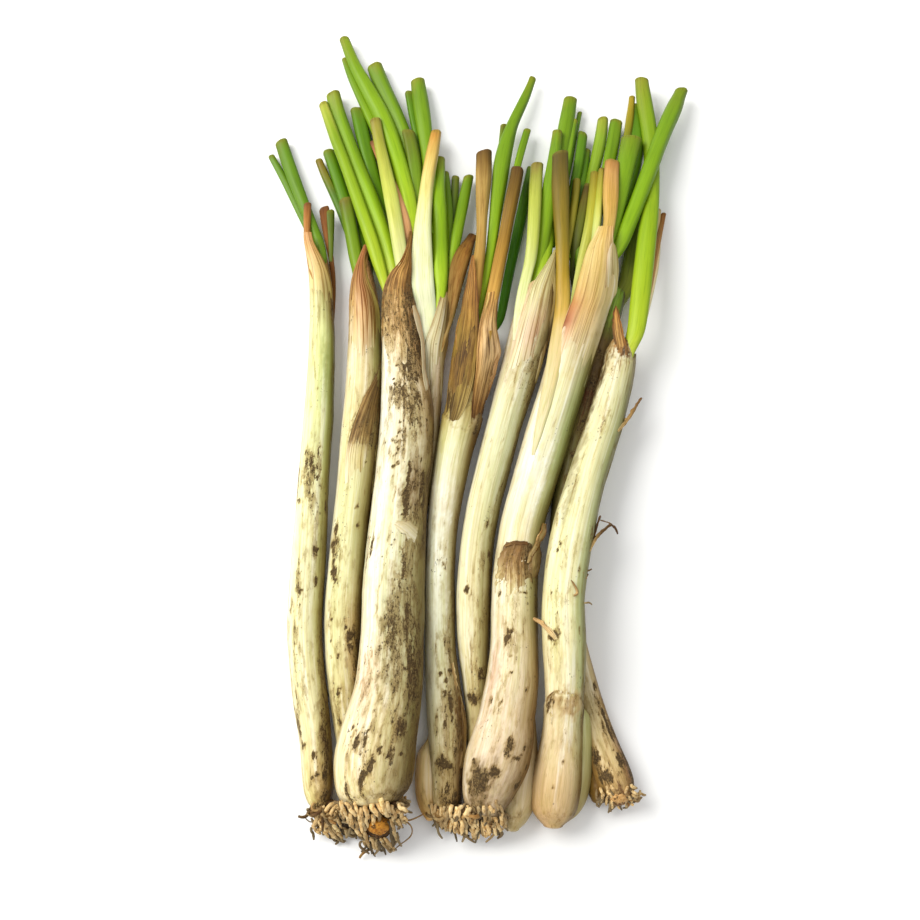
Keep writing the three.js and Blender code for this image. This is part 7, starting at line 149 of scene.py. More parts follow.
    "rakkyo_6_leaf_5": {'node': True, 'slot': "dried_leaf", 'rows': [[36.32, 33.06, 11.73, 0.75, 0.2], [37.15, 36.77, 12.35, 1.34, 0.2], [37.81, 40.4, 13.15, 1.68, 0.25], [38.52, 44.21, 13.67, 1.8, 0.4], [40, 51.79, 11.24, 1.95, 1], [40.15, 54.52, 11.4, 2.24, 1], [40.23, 56.95, 12.04, 2.45, 1], [40.41, 59.74, 12.13, 2.57, 1], [40.62, 62.7, 11.98, 2.57, 1], [40.96, 66.16, 11.18, 2.4, 1], [41.97, 73.77, 8.9, 2.4, 1]], 'stops': [(0, (232, 206, 140)), (0.3, (232, 200, 126)), (0.6, (236, 194, 110)), (0.85, (228, 180, 116)), (1, (196, 140, 80))], 'dry': 0.3},
    "rakkyo_6_leaf_6": {'node': True, 'slot': "green_leaf", 'rows': [[30.47, 29.4, 8.86, 1.37], [30.3, 47.75, 8.03, 1.37], [32.31, 55.81, 6.33, 1.67], [34.42, 64.28, 5.02, 1.75], [35.78, 69.72, 4.66, 1.77], [37.64, 77.48, 4.62, 1.91], [38.88, 83.02, 4.26, 2.02], [39.95, 88.73, 3.79, 1.93], [40.67, 94.51, 3.37, 1.72]], 'stops': [(0, (120, 150, 40)), (0.3, (130, 170, 40)), (0.6, (150, 180, 50)), (0.85, (160, 190, 70)), (1, (180, 180, 80))]},
    "rakkyo_6_leaf_7": {'node': True, 'slot': "green_leaf", 'rows': [[33.35, 42.92, 8.09, 1.47], [34.59, 47.75, 7.76, 1.47], [37.3, 58.32, 6.77, 1.86], [40.18, 69.67, 5.66, 1.91], [43.38, 84.36, 4.14, 2.16], [44.99, 93.33, 3.39, 2.01]], 'stops': [(0, (206, 226, 96)), (0.08, (184, 214, 54)), (0.3, (160, 196, 34)), (0.7, (136, 174, 26)), (0.92, (128, 164, 28)), (1, (150, 160, 44))]},
    "rakkyo_6_thin_leaf_2": {'node': False, 'slot': "green_leaf", 'rows': [[28.04, 40.03, 7.11, 1.21], [28.96, 44.9, 6.54, 1.21], [30.56, 53.38, 5.06, 1.47], [32.24, 62.45, 3.73, 1.41], [33.68, 71.4, 2.95, 1.39], [35.24, 83.4, 2.23, 1.22]], 'stops': [(0, (150, 186, 40)), (0.35, (116, 162, 26)), (0.9, (108, 154, 24)), (1, (124, 144, 36))]},
    "rakkyo_6_leaf_8": {'node': True, 'slot': "green_leaf", 'rows': [[37.61, 36.29, 9.42, 1.35], [38.17, 38.5, 9.64, 1.46], [38.84, 41.14, 9.67, 1.58], [41.61, 52.12, 9.05, 2], [42.27, 54.84, 9.09, 2.08], [43.36, 59.55, 9.73, 2.28], [43.97, 62.28, 9.79, 2.41], [46.72, 74.6, 8.27, 2.87], [48.87, 83.65, 7.63, 3.22]], 'stops': [(0, (170, 206, 60)), (0.3, (156, 196, 34)), (0.8, (136, 174, 28)), (1, (140, 160, 40))]},
    "rakkyo_6_leaf_9": {'node': True, 'slot': "green_leaf", 'rows': [[37.52, 30.22, 7.93, 0.61], [37.76, 32.38, 8.29, 0.82], [39.08, 37.88, 9.07, 1.36], [42.79, 42.71, 9.88, 2.11], [43.73, 45.47, 10.16, 2.22], [46.96, 53.71, 9.45, 2.39], [50.94, 64, 9.38, 2.42], [53.87, 72.01, 9.11, 2.47], [55.88, 77.66, 8.54, 2.5], [59.33, 86.86, 6.84, 2.6], [61.8, 92.87, 5.78, 2.71], [64.33, 98.77, 5.1, 2.53], [65.58, 101.8, 4.84, 1.99], [66.77, 104.92, 4.62, 1.99]], 'stops': [(0, (170, 206, 60)), (0.3, (156, 196, 34)), (0.8, (136, 174, 28)), (1, (140, 160, 40))]},
    "rakkyo_6_thin_leaf_3": {'node': False, 'slot': "green_leaf", 'rows': [[42.28, 55.52, 9.47, 0.8], [43.36, 61.34, 8.78, 0.8], [45, 70.09, 6.92, 1], [46.12, 76.14, 5.9, 1.12], [47.12, 81.96, 5.36, 1.18], [49.02, 93.2, 4.93, 1.3], [50.04, 99.56, 4.23, 1.01], [50.45, 102.79, 3.82, 1.01]], 'stops': [(0, (120, 152, 26)), (0.5, (126, 148, 28)), (0.8, (180, 158, 44)), (1, (200, 166, 52))]},
    "rakkyo_6_leaf_10": {'node': True, 'slot': "green_leaf", 'rows': [[39.95, 42.32, 6.17, 0.58], [42.89, 52.63, 6.52, 1.72], [45.92, 63.04, 6.36, 2.46], [48.14, 71.17, 5.61, 2.61], [49.42, 76.72, 5.07, 2.66], [50.43, 82.44, 4.42, 2.73], [51.05, 88.22, 3.83, 2.76], [51.26, 91.08, 3.6, 2.65], [51.58, 96.91, 3.22, 1.99], [51.7, 99.82, 3.08, 1.99]], 'stops': [(0, (150, 186, 40)), (0.35, (116, 162, 26)), (0.9, (108, 154, 24)), (1, (124, 144, 36))]},
    "rakkyo_7_leaf_1": {'node': True, 'slot': "green_leaf", 'rows': [[42.22, -0.96, 9.92, 1.1], [42.85, 4, 9.75, 1.39], [43, 6.64, 9.72, 1.71], [43.48, 9.22, 10.04, 2.1], [45.58, 11.56, 10.57, 2.42], [46.02, 14.22, 10.85, 2.6], [46.48, 16.88, 10.81, 2.72], [48.31, 27.56, 10.18, 2.92], [51.78, 49.27, 8.72, 2.88], [52.66, 54.84, 8.2, 2.82], [53.89, 63.46, 7.18, 2.58], [54.76, 72.08, 6.35, 2.41], [55.03, 77.69, 6, 2.43], [55.11, 83.38, 5.73, 2.47], [54.69, 91.52, 5.66, 2.48], [54.02, 100, 5.29, 2.48], [53.79, 105.79, 4.99, 2.18], [53.81, 108.7, 4.86, 2.15]], 'stops': [(0, (244, 246, 190)), (0.06, (222, 236, 110)), (0.14, (196, 224, 60)), (0.4, (168, 206, 36)), (0.85, (144, 182, 28)), (1, (156, 166, 56))], 'gain': (0.74, 0.69, 0.42)},
    "rakkyo_7_thin_leaf_2": {'node': False, 'slot': "dried_leaf", 'rows': [[45.25, 9.53, 6.32, 0.46], [45.85, 11.86, 6.63, 0.5], [47.21, 17, 6.45, 0.58], [48.1, 19.51, 6.61, 0.62], [50.98, 27.68, 6.14, 0.76], [55.53, 47.63, 4.3, 0.86], [58.39, 59.54, 2.79, 0.76]], 'stops': [(0, (228, 186, 140)), (0.6, (220, 170, 122)), (1, (184, 128, 84))], 'dry': 0.6, 'flat': 0.4, 'gain': (0.95, 0.9, 0.8)},
    "rakkyo_8_leaf_1": {'node': True, 'slot': "green_leaf", 'rows': [[37.06, 9.88, 3.42, 2.12], [38.61, 17.32, 3.59, 2.61], [40.55, 24.96, 3.89, 2.7], [41.17, 27.54, 3.85, 2.71], [45.03, 31.99, 3.17, 2.67], [45.54, 34.62, 2.88, 2.62], [47.52, 45.23, 2.41, 2.25], [52.09, 66.56, 1.59, 1.59]], 'stops': [(0, (150, 160, 80)), (0.4, (150, 164, 72)), (0.8, (120, 150, 44)), (1, (110, 140, 40))], 'dry': 0.3, 'gain': (0.74, 0.69, 0.42)},
    "rakkyo_7_thin_leaf_1": {'node': False, 'slot': "pale_leaf", 'rows': [[49.13, 19.53, 5.8, 0.89], [51.93, 30.28, 4.66, 1.12], [54.07, 38.64, 3.89, 1.11], [54.58, 41.43, 3.65, 1.08], [55.8, 49.9, 3.02, 0.98], [56.59, 61.14, 2.56, 0.94]], 'stops': [(0, (246, 230, 196)), (0.5, (236, 214, 170)), (1, (214, 188, 140))], 'gain': (1, 0.96, 0.9)},
    "rakkyo_5_thin_leaf_2": {'node': False, 'slot': "green_leaf", 'rows': [[25.31, 56.4, 6, 0.93], [26.57, 65.73, 5.6, 0.94], [28.5, 77.26, 5, 1.03], [30.34, 87.17, 4.4, 1.04], [31.49, 93.64, 4, 1.13]], 'stops': [(0, (206, 226, 96)), (0.08, (184, 214, 54)), (0.3, (160, 196, 34)), (0.7, (136, 174, 26)), (0.92, (128, 164, 28)), (1, (150, 160, 44))]},
    "rakkyo_1_thin_leaf": {'node': False, 'slot': "green_leaf", 'rows': [[-45.39, 41.19, 3.6, 0.62], [-45.54, 45.29, 3.8, 0.77], [-45.71, 50.13, 4, 0.93], [-46.07, 55.15, 4, 1.25], [-46.39, 59.3, 4, 1.41]], 'stops': [(0, (120, 134, 44)), (0.6, (104, 122, 30)), (1, (100, 116, 30))]},
    "rakkyo_4_thin_leaf_2": {'node': False, 'slot': "green_leaf", 'rows': [[5.27, 66, 5.2, 0.94], [6.65, 75.39, 5, 0.95], [7.82, 85.12, 4.6, 1.04], [8.4, 91.55, 4.2, 1.05]], 'stops': [(0, (176, 206, 90)), (0.3, (150, 180, 44)), (0.7, (128, 160, 32)), (0.92, (124, 136, 40)), (1, (128, 120, 42))]},
}
# root tufts
ROOTS = {
    "rakkyo_1_roots": {'r': (3.2, 1.9), 'n': 60, 'len': 5.6, 'rad': 0.5, 'cols': [(224, 186, 124), (208, 166, 102), (232, 200, 142), (184, 140, 80), (150, 108, 56), (240, 212, 158)], 'curl': 0.5, 'plate': (84, 56, 24), 'spread': (0.42, 0.3), 'lean': (0.12, 0, 0), 'tone': (0.5, 0.85), 'c': [-40.49, -118.23, 3.93], 'strokes': [([[-37.74, -117.84, 5.76], [-39.06, -118.28, 6.28], [-39.94, -119.46, 5.75], [-40.77, -117.94, 4.37]], 0.41, 0.72), ([[-41.56, -119.3, 4.86], [-42.26, -120.18, 4.74], [-42.88, -121.33, 3.65], [-41.76, -123.79, 2.4]], 0.51, 0.67), ([[-41.04, -119.82, 4.36], [-40.72, -120.67, 4.24], [-41.34, -121.82, 3.15], [-42.49, -124.26, 1.9]], 0.44, 0.5), ([[-36.58, -118.81, 5.44], [-38.18, -119.23, 5.73], [-38.83, -120.53, 5.45], [-38.95, -122.19, 4.19]], 0.43, 0.63), ([[-37.03, -118.46, 4.94], [-38.76, -119.29, 5.23], [-39.41, -120.59, 4.95], [-41.11, -121.86, 3.69]], 0.4, 0.57), ([[-40.24, -120.14, 3.96], [-40.49, -121.66, 3.74], [-41.32, -122.68, 3.37], [-43.63, -122.16, 1.74]], 0.46, 0.45), ([[-38.82, -121.76, 3.46], [-38.83, -122.77, 3.24], [-39.66, -123.79, 2.87], [-41.02, -125.5, 1.24]], 0.46, 0.58), ([[-37.61, -120.59, 5.26], [-38.11, -120.98, 5.03], [-38.5, -122.1, 4.34], [-37.62, -124.67, 3.26]], 0.44, 0.6), ([[-38, -119.95, 4.76], [-38.01, -120.51, 4.53], [-38.4, -121.63, 3.84], [-39.33, -122.85, 2.76]], 0.47, 0.76), ([[-39.88, -122.73, 3.1], [-39.35, -123.92, 3.38], [-38.55, -124.88, 2.51], [-37.49, -126.1, 1.49]], 0.44, 0.73), ([[-38.92, -122.71, 2.6], [-38.23, -124.1, 2.88], [-37.43, -125.06, 2.01], [-36.37, -125.17, 0.99]], 0.49, 0.76), ([[-37.06, -120.9, 3.77], [-36.57, -121.76, 4.15], [-36.05, -122.72, 3], [-36.02, -123.81, 1.53]], 0.44, 0.61), ([[-37.15, -120.74, 3.27], [-36.96, -121.86, 3.65], [-36.44, -122.82, 2.5], [-36.7, -123.41, 1.03]], 0.4, 0.48), ([[-39.21, -122.52, 3.17], [-40.15, -123.85, 3.36], [-40.72, -124.79, 2.68], [-40.71, -125.5, 1.7]], 0.47, 0.38), ([[-40.94, -121.97, 2.67], [-41.31, -122.97, 2.86], [-41.88, -123.91, 2.18], [-42.2, -124.48, 1.2]], 0.38, 0.7), ([[-42.22, -120.5, 4.38], [-41.95, -121.77, 4.16], [-42.5, -122.94, 3.74], [-41.49, -123.06, 2.44]], 0.42, 0.68), ([[-42.26, -119.45, 3.88], [-41.81, -120.9, 3.66], [-42.36, -122.07, 3.24], [-43.24, -123.65, 1.94]], 0.44, 0.38), ([[-41.76, -123.3, 2.87], [-41.5, -122.98, 3.28], [-40.93, -123.57, 2.77], [-40.08, -123.91, 1.44]], 0.38, 0.67), ([[-41.63, -122.21, 2.37], [-40.21, -122.93, 2.78], [-39.64, -123.52, 2.27], [-39.57, -123.66, 0.94]], 0.39, 0.74), ([[-39.36, -123.78, 2.35], [-39.03, -123.57, 1.96], [-38.23, -124.4, 1.59], [-36.28, -126.49, 0.4]], 0.38, 0.69), ([[-39.09, -123.9, 1.85], [-38.62, -125.79, 1.46], [-37.82, -126.62, 1.09], [-36.48, -125.46, 0.4]], 0.38, 0.51), ([[-43.83, -123.84, 2.7], [-43.81, -124.75, 3.23], [-43.36, -125.35, 2.53], [-43.25, -126.87, 1.74]], 0.41, 0.47), ([[-43.68, -123.37, 2.2], [-42.9, -124.15, 2.73], [-42.45, -124.75, 2.03], [-42.36, -124.66, 1.24]], 0.33, 0.4), ([[-37.62, -126.03, 2.23], [-37.21, -126.47, 2.22], [-36.56, -126.98, 1.83], [-35.05, -127.15, 0.9]], 0.35, 0.53), ([[-37, -125.52, 1.73], [-36.14, -126.68, 1.72], [-35.49, -127.19, 1.33], [-36.46, -126.98, 0.4]], 0.39, 0.52), ([[-36.3, -124.11, 1.74], [-35.77, -124.66, 1.93], [-35.64, -125.38, 1.17], [-36.22, -124.72, 0.4]], 0.43, 0.45), ([[-35.51, -124.46, 1.24], [-35.15, -125.13, 1.43], [-35.02, -125.85, 0.67], [-35.08, -126.03, 0.4]], 0.42, 0.51), ([[-38.31, -118.99, 4.93], [-37.2, -119.42, 5.28], [-36.44, -119.87, 5.33], [-36.66, -120.74, 4.31]], 0.33, 0.51), ([[-37.64, -119.14, 4.43], [-37.03, -119.7, 4.78], [-36.27, -120.15, 4.83], [-34.6, -120.03, 3.81]], 0.39, 0.69), ([[-35.78, -123.55, 1.99], [-35.7, -123.44, 1.94], [-34.81, -123.99, 1.68], [-32.92, -126.11, 0.69]], 0.44, 0.4), ([[-35.66, -124.03, 1.49], [-35.19, -125.19, 1.44], [-34.3, -125.74, 1.18], [-32.57, -126.06, 0.4]], 0.34, 0.4), ([[-33.54, -123.92, 1.84], [-33.08, -124.34, 1.83], [-32.31, -124.66, 1.74], [-31.4, -125.05, 0.6]], 0.41, 0.33), ([[-33.85, -124.07, 1.34], [-33.4, -124.87, 1.33], [-32.63, -125.19, 1.24], [-32.5, -126.63, 0.4]], 0.37, 0.45), ([[-43.94, -121.54, 4.02], [-43.16, -122.85, 3.91], [-42.47, -123.48, 3.62], [-42.63, -123.36, 2.67]], 0.4, 0.55), ([[-42.14, -121.52, 3.52], [-41.73, -121.71, 3.41], [-41.04, -122.34, 3.12], [-40.63, -124.49, 2.17]], 0.33, 0.69), ([[-40.99, -121.28, 3.84], [-39.95, -121.19, 4.6], [-39.41, -121.74, 4.01], [-37, -121.5, 3.01]], 0.33, 0.62), ([[-41.56, -121.61, 3.34], [-41.72, -121.48, 4.1], [-41.18, -122.03, 3.51], [-39.38, -121.73, 2.51]], 0.42, 0.68), ([[-40.1, -119.29, 5.44], [-40.47, -119.29, 5.47], [-40.96, -120.48, 5.13], [-41.11, -121.93, 3.44]], 0.42, 0.38), ([[-40.89, -118.9, 4.94], [-42.01, -119.48, 4.97], [-42.5, -120.67, 4.63], [-43.36, -120.92, 2.94]], 0.47, 0.36), ([[-39.91, -119.79, 4.52], [-40.84, -121.04, 3.99], [-40.76, -121.95, 3.85], [-39.66, -122.73, 2.96]], 0.46, 0.45), ([[-39.58, -120.47, 4.02], [-39.9, -121.18, 3.49], [-39.82, -122.09, 3.35], [-39.54, -121.06, 2.46]], 0.36, 0.47), ([[-37.98, -120.39, 4.45], [-38.01, -121.3, 4.23], [-38.68, -122.18, 4.02], [-38.65, -123.99, 2.55]], 0.42, 0.57), ([[-37.94, -120.71, 3.95], [-37.02, -121.31, 3.73], [-37.69, -122.19, 3.52], [-39.12, -123.36, 2.05]], 0.43, 0.42), ([[-40.6, -124.42, 1.99], [-39.43, -125.88, 2.22], [-38.79, -126.43, 1.75], [-37.18, -126.18, 0.97]], 0.34, 0.4), ([[-40.01, -123.71, 1.49], [-38.98, -123.9, 1.72], [-38.34, -124.45, 1.25], [-36.93, -126.45, 0.47]], 0.37, 0.41), ([[-38.81, -125.59, 1.51], [-39.05, -126.11, 1.28], [-38.33, -126.39, 1.26], [-37.52, -127.18, 0.87]], 0.39, 0.4), ([[-38.62, -126.44, 1.01], [-37.96, -126.99, 0.78], [-37.24, -127.27, 0.76], [-37.84, -127.78, 0.4]], 0.38, 0.48), ([[-42, -123.78, 2.6], [-41.41, -124.27, 2.53], [-40.89, -124.69, 2.63], [-40.59, -124.17, 1.31]], 0.41, 0.53), ([[-41.16, -124.16, 2.1], [-40.92, -124.39, 2.03], [-40.4, -124.81, 2.13], [-39.93, -124.65, 0.81]], 0.41, 0.58), ([[-36.9, -120.89, 4.71], [-37.25, -120.99, 4.99], [-36.75, -121.75, 4.34], [-35.08, -123.25, 3.25]], 0.31, 0.41), ([[-36.67, -119.9, 4.21], [-36.61, -120.2, 4.49], [-36.11, -120.96, 3.84], [-34.47, -122.22, 2.75]], 0.41, 0.52), ([[-45.87, -121.1, 4.14], [-44.56, -122.25, 4.33], [-43.37, -122.6, 3.84], [-43.05, -122.53, 3.38]], 0.16, 0.54), ([[-45.2, -120.1, 3.64], [-44.42, -120.52, 3.83], [-43.23, -120.87, 3.34], [-40.72, -121.32, 2.88]], 0.15, 0.4), ([[-37.72, -117.94, 6.31], [-39.07, -118.47, 6.83], [-39.95, -119.65, 6.3], [-40.98, -120.69, 4.92]], 0.56, 0.95), ([[-41.1, -119.87, 5.41], [-40.94, -121.15, 5.29], [-41.56, -122.3, 4.2], [-41.99, -123.45, 2.95]], 0.57, 0.9), ([[-36.71, -118.42, 5.99], [-37.96, -119.17, 6.28], [-38.61, -120.47, 6], [-39.5, -121.58, 4.74]], 0.59, 1), ([[-38.93, -121.12, 4.51], [-39.18, -122.33, 4.29], [-40.01, -123.35, 3.92], [-40.68, -124.43, 2.29]], 0.6, 0.95), ([[-37.49, -119.64, 5.81], [-37.45, -120.81, 5.58], [-37.84, -121.93, 4.89], [-38.24, -123, 3.81]], 0.56, 1), ([[-38.65, -122.3, 3.65], [-38.02, -123.43, 3.93], [-37.22, -124.39, 3.06], [-36.43, -125.3, 2.04]], 0.63, 1.05), ([[-37.31, -120.83, 4.32], [-37.08, -121.95, 4.7], [-36.56, -122.91, 3.55], [-36.35, -123.92, 2.08]], 0.53, 0.95), ([[-40.1, -122.51, 3.72], [-40.89, -123.19, 3.91], [-41.46, -124.13, 3.23], [-42.16, -124.95, 2.25]], 0.57, 0.9), ([[-42.44, -120.34, 4.93], [-42.27, -121.61, 4.71], [-42.82, -122.78, 4.29], [-43.27, -123.94, 2.99]], 0.56, 0.9), ([[-41.55, -123.37, 3.42], [-40.77, -123.82, 3.83], [-40.2, -124.41, 3.32], [-39.69, -124.91, 1.99]], 0.53, 0.95), ([[-39.66, -123.73, 2.9], [-39.13, -124.7, 2.51], [-38.33, -125.53, 2.14], [-37.68, -126.33, 0.75]], 0.57, 0.9), ([[-43.52, -123.26, 3.25], [-43.07, -123.96, 3.78], [-42.62, -124.56, 3.08], [-42.18, -125.14, 2.29]], 0.5, 0.85), ([[-37.07, -124.7, 2.78], [-36.87, -125.49, 2.77], [-36.22, -126, 2.38], [-35.86, -126.62, 1.45]], 0.47, 0.8), ([[-35.39, -124.19, 2.29], [-35.01, -124.89, 2.48], [-34.88, -125.61, 1.72], [-35.01, -126.37, 0.89]], 0.5, 0.75), ([[-38.23, -118.62, 5.48], [-37.42, -119.02, 5.83], [-36.66, -119.47, 5.88], [-36.15, -120.01, 4.86]], 0.5, 1.05), ([[-36.05, -123.41, 2.54], [-35.28, -124.1, 2.49], [-34.39, -124.65, 2.23], [-33.6, -125.18, 1.24]], 0.5, 0.6), ([[-33.94, -124.1, 2.39], [-33.63, -124.93, 2.38], [-32.86, -125.25, 2.29], [-32.19, -125.52, 1.15]], 0.47, 0.6), ([[-42.62, -121.32, 4.57], [-42.31, -122.18, 4.46], [-41.62, -122.81, 4.17], [-41.12, -123.45, 3.22]], 0.5, 0.95), ([[-41.08, -121.55, 4.39], [-40.13, -121.71, 5.15], [-39.59, -122.26, 4.56], [-39.02, -122.64, 3.56]], 0.47, 0.9), ([[-40.21, -118.72, 5.99], [-41.29, -119.43, 6.02], [-41.78, -120.62, 5.68], [-42.88, -121.4, 3.99]], 0.53, 0.85), ([[-39.2, -120.14, 5.07], [-39.82, -120.83, 4.54], [-39.74, -121.74, 4.4], [-40.11, -122.5, 3.51]], 0.53, 0.9), ([[-37.95, -120.61, 5], [-38.06, -121.69, 4.78], [-38.73, -122.57, 4.57], [-39.3, -123.49, 3.1]], 0.5, 0.8), ([[-40.75, -124.49, 2.54], [-40.29, -125.21, 2.77], [-39.65, -125.76, 2.3], [-39.13, -126.33, 1.52]], 0.5, 0.85), ([[-38.85, -125.34, 2.06], [-38.43, -125.97, 1.83], [-37.71, -126.25, 1.81], [-37.09, -126.57, 1.42]], 0.47, 0.8), ([[-42.46, -123.98, 3.15], [-42.34, -124.61, 3.08], [-41.82, -125.03, 3.18], [-41.43, -125.35, 1.86]], 0.47, 0.85), ([[-36.43, -120.12, 5.26], [-36.15, -121.03, 5.54], [-35.65, -121.79, 4.89], [-35.25, -122.53, 3.8]], 0.47, 0.7), ([[-45.17, -120.51, 4.69], [-44.01, -121.13, 4.88], [-42.82, -121.48, 4.39], [-41.61, -121.68, 3.93]], 0.19, 0.7)], 'root_mass_and_shade': [(-35.15, -122.45, 1.9, 2.19, 1.65, 1.9, (44, 28, 10)), (-39.02, -120.99, 2.4, 2.58, 1.86, 2.32, (84, 58, 26))]},
    "rakkyo_2_roots": {'r': (1.2, 1), 'n': 16, 'len': 4, 'rad': 0.42, 'cols': [(224, 186, 124), (208, 166, 102), (232, 200, 142), (184, 140, 80), (150, 108, 56), (240, 212, 158)], 'curl': 0.5, 'plate': (110, 76, 36), 'c': [-33.29, -112.12, 2.93]},
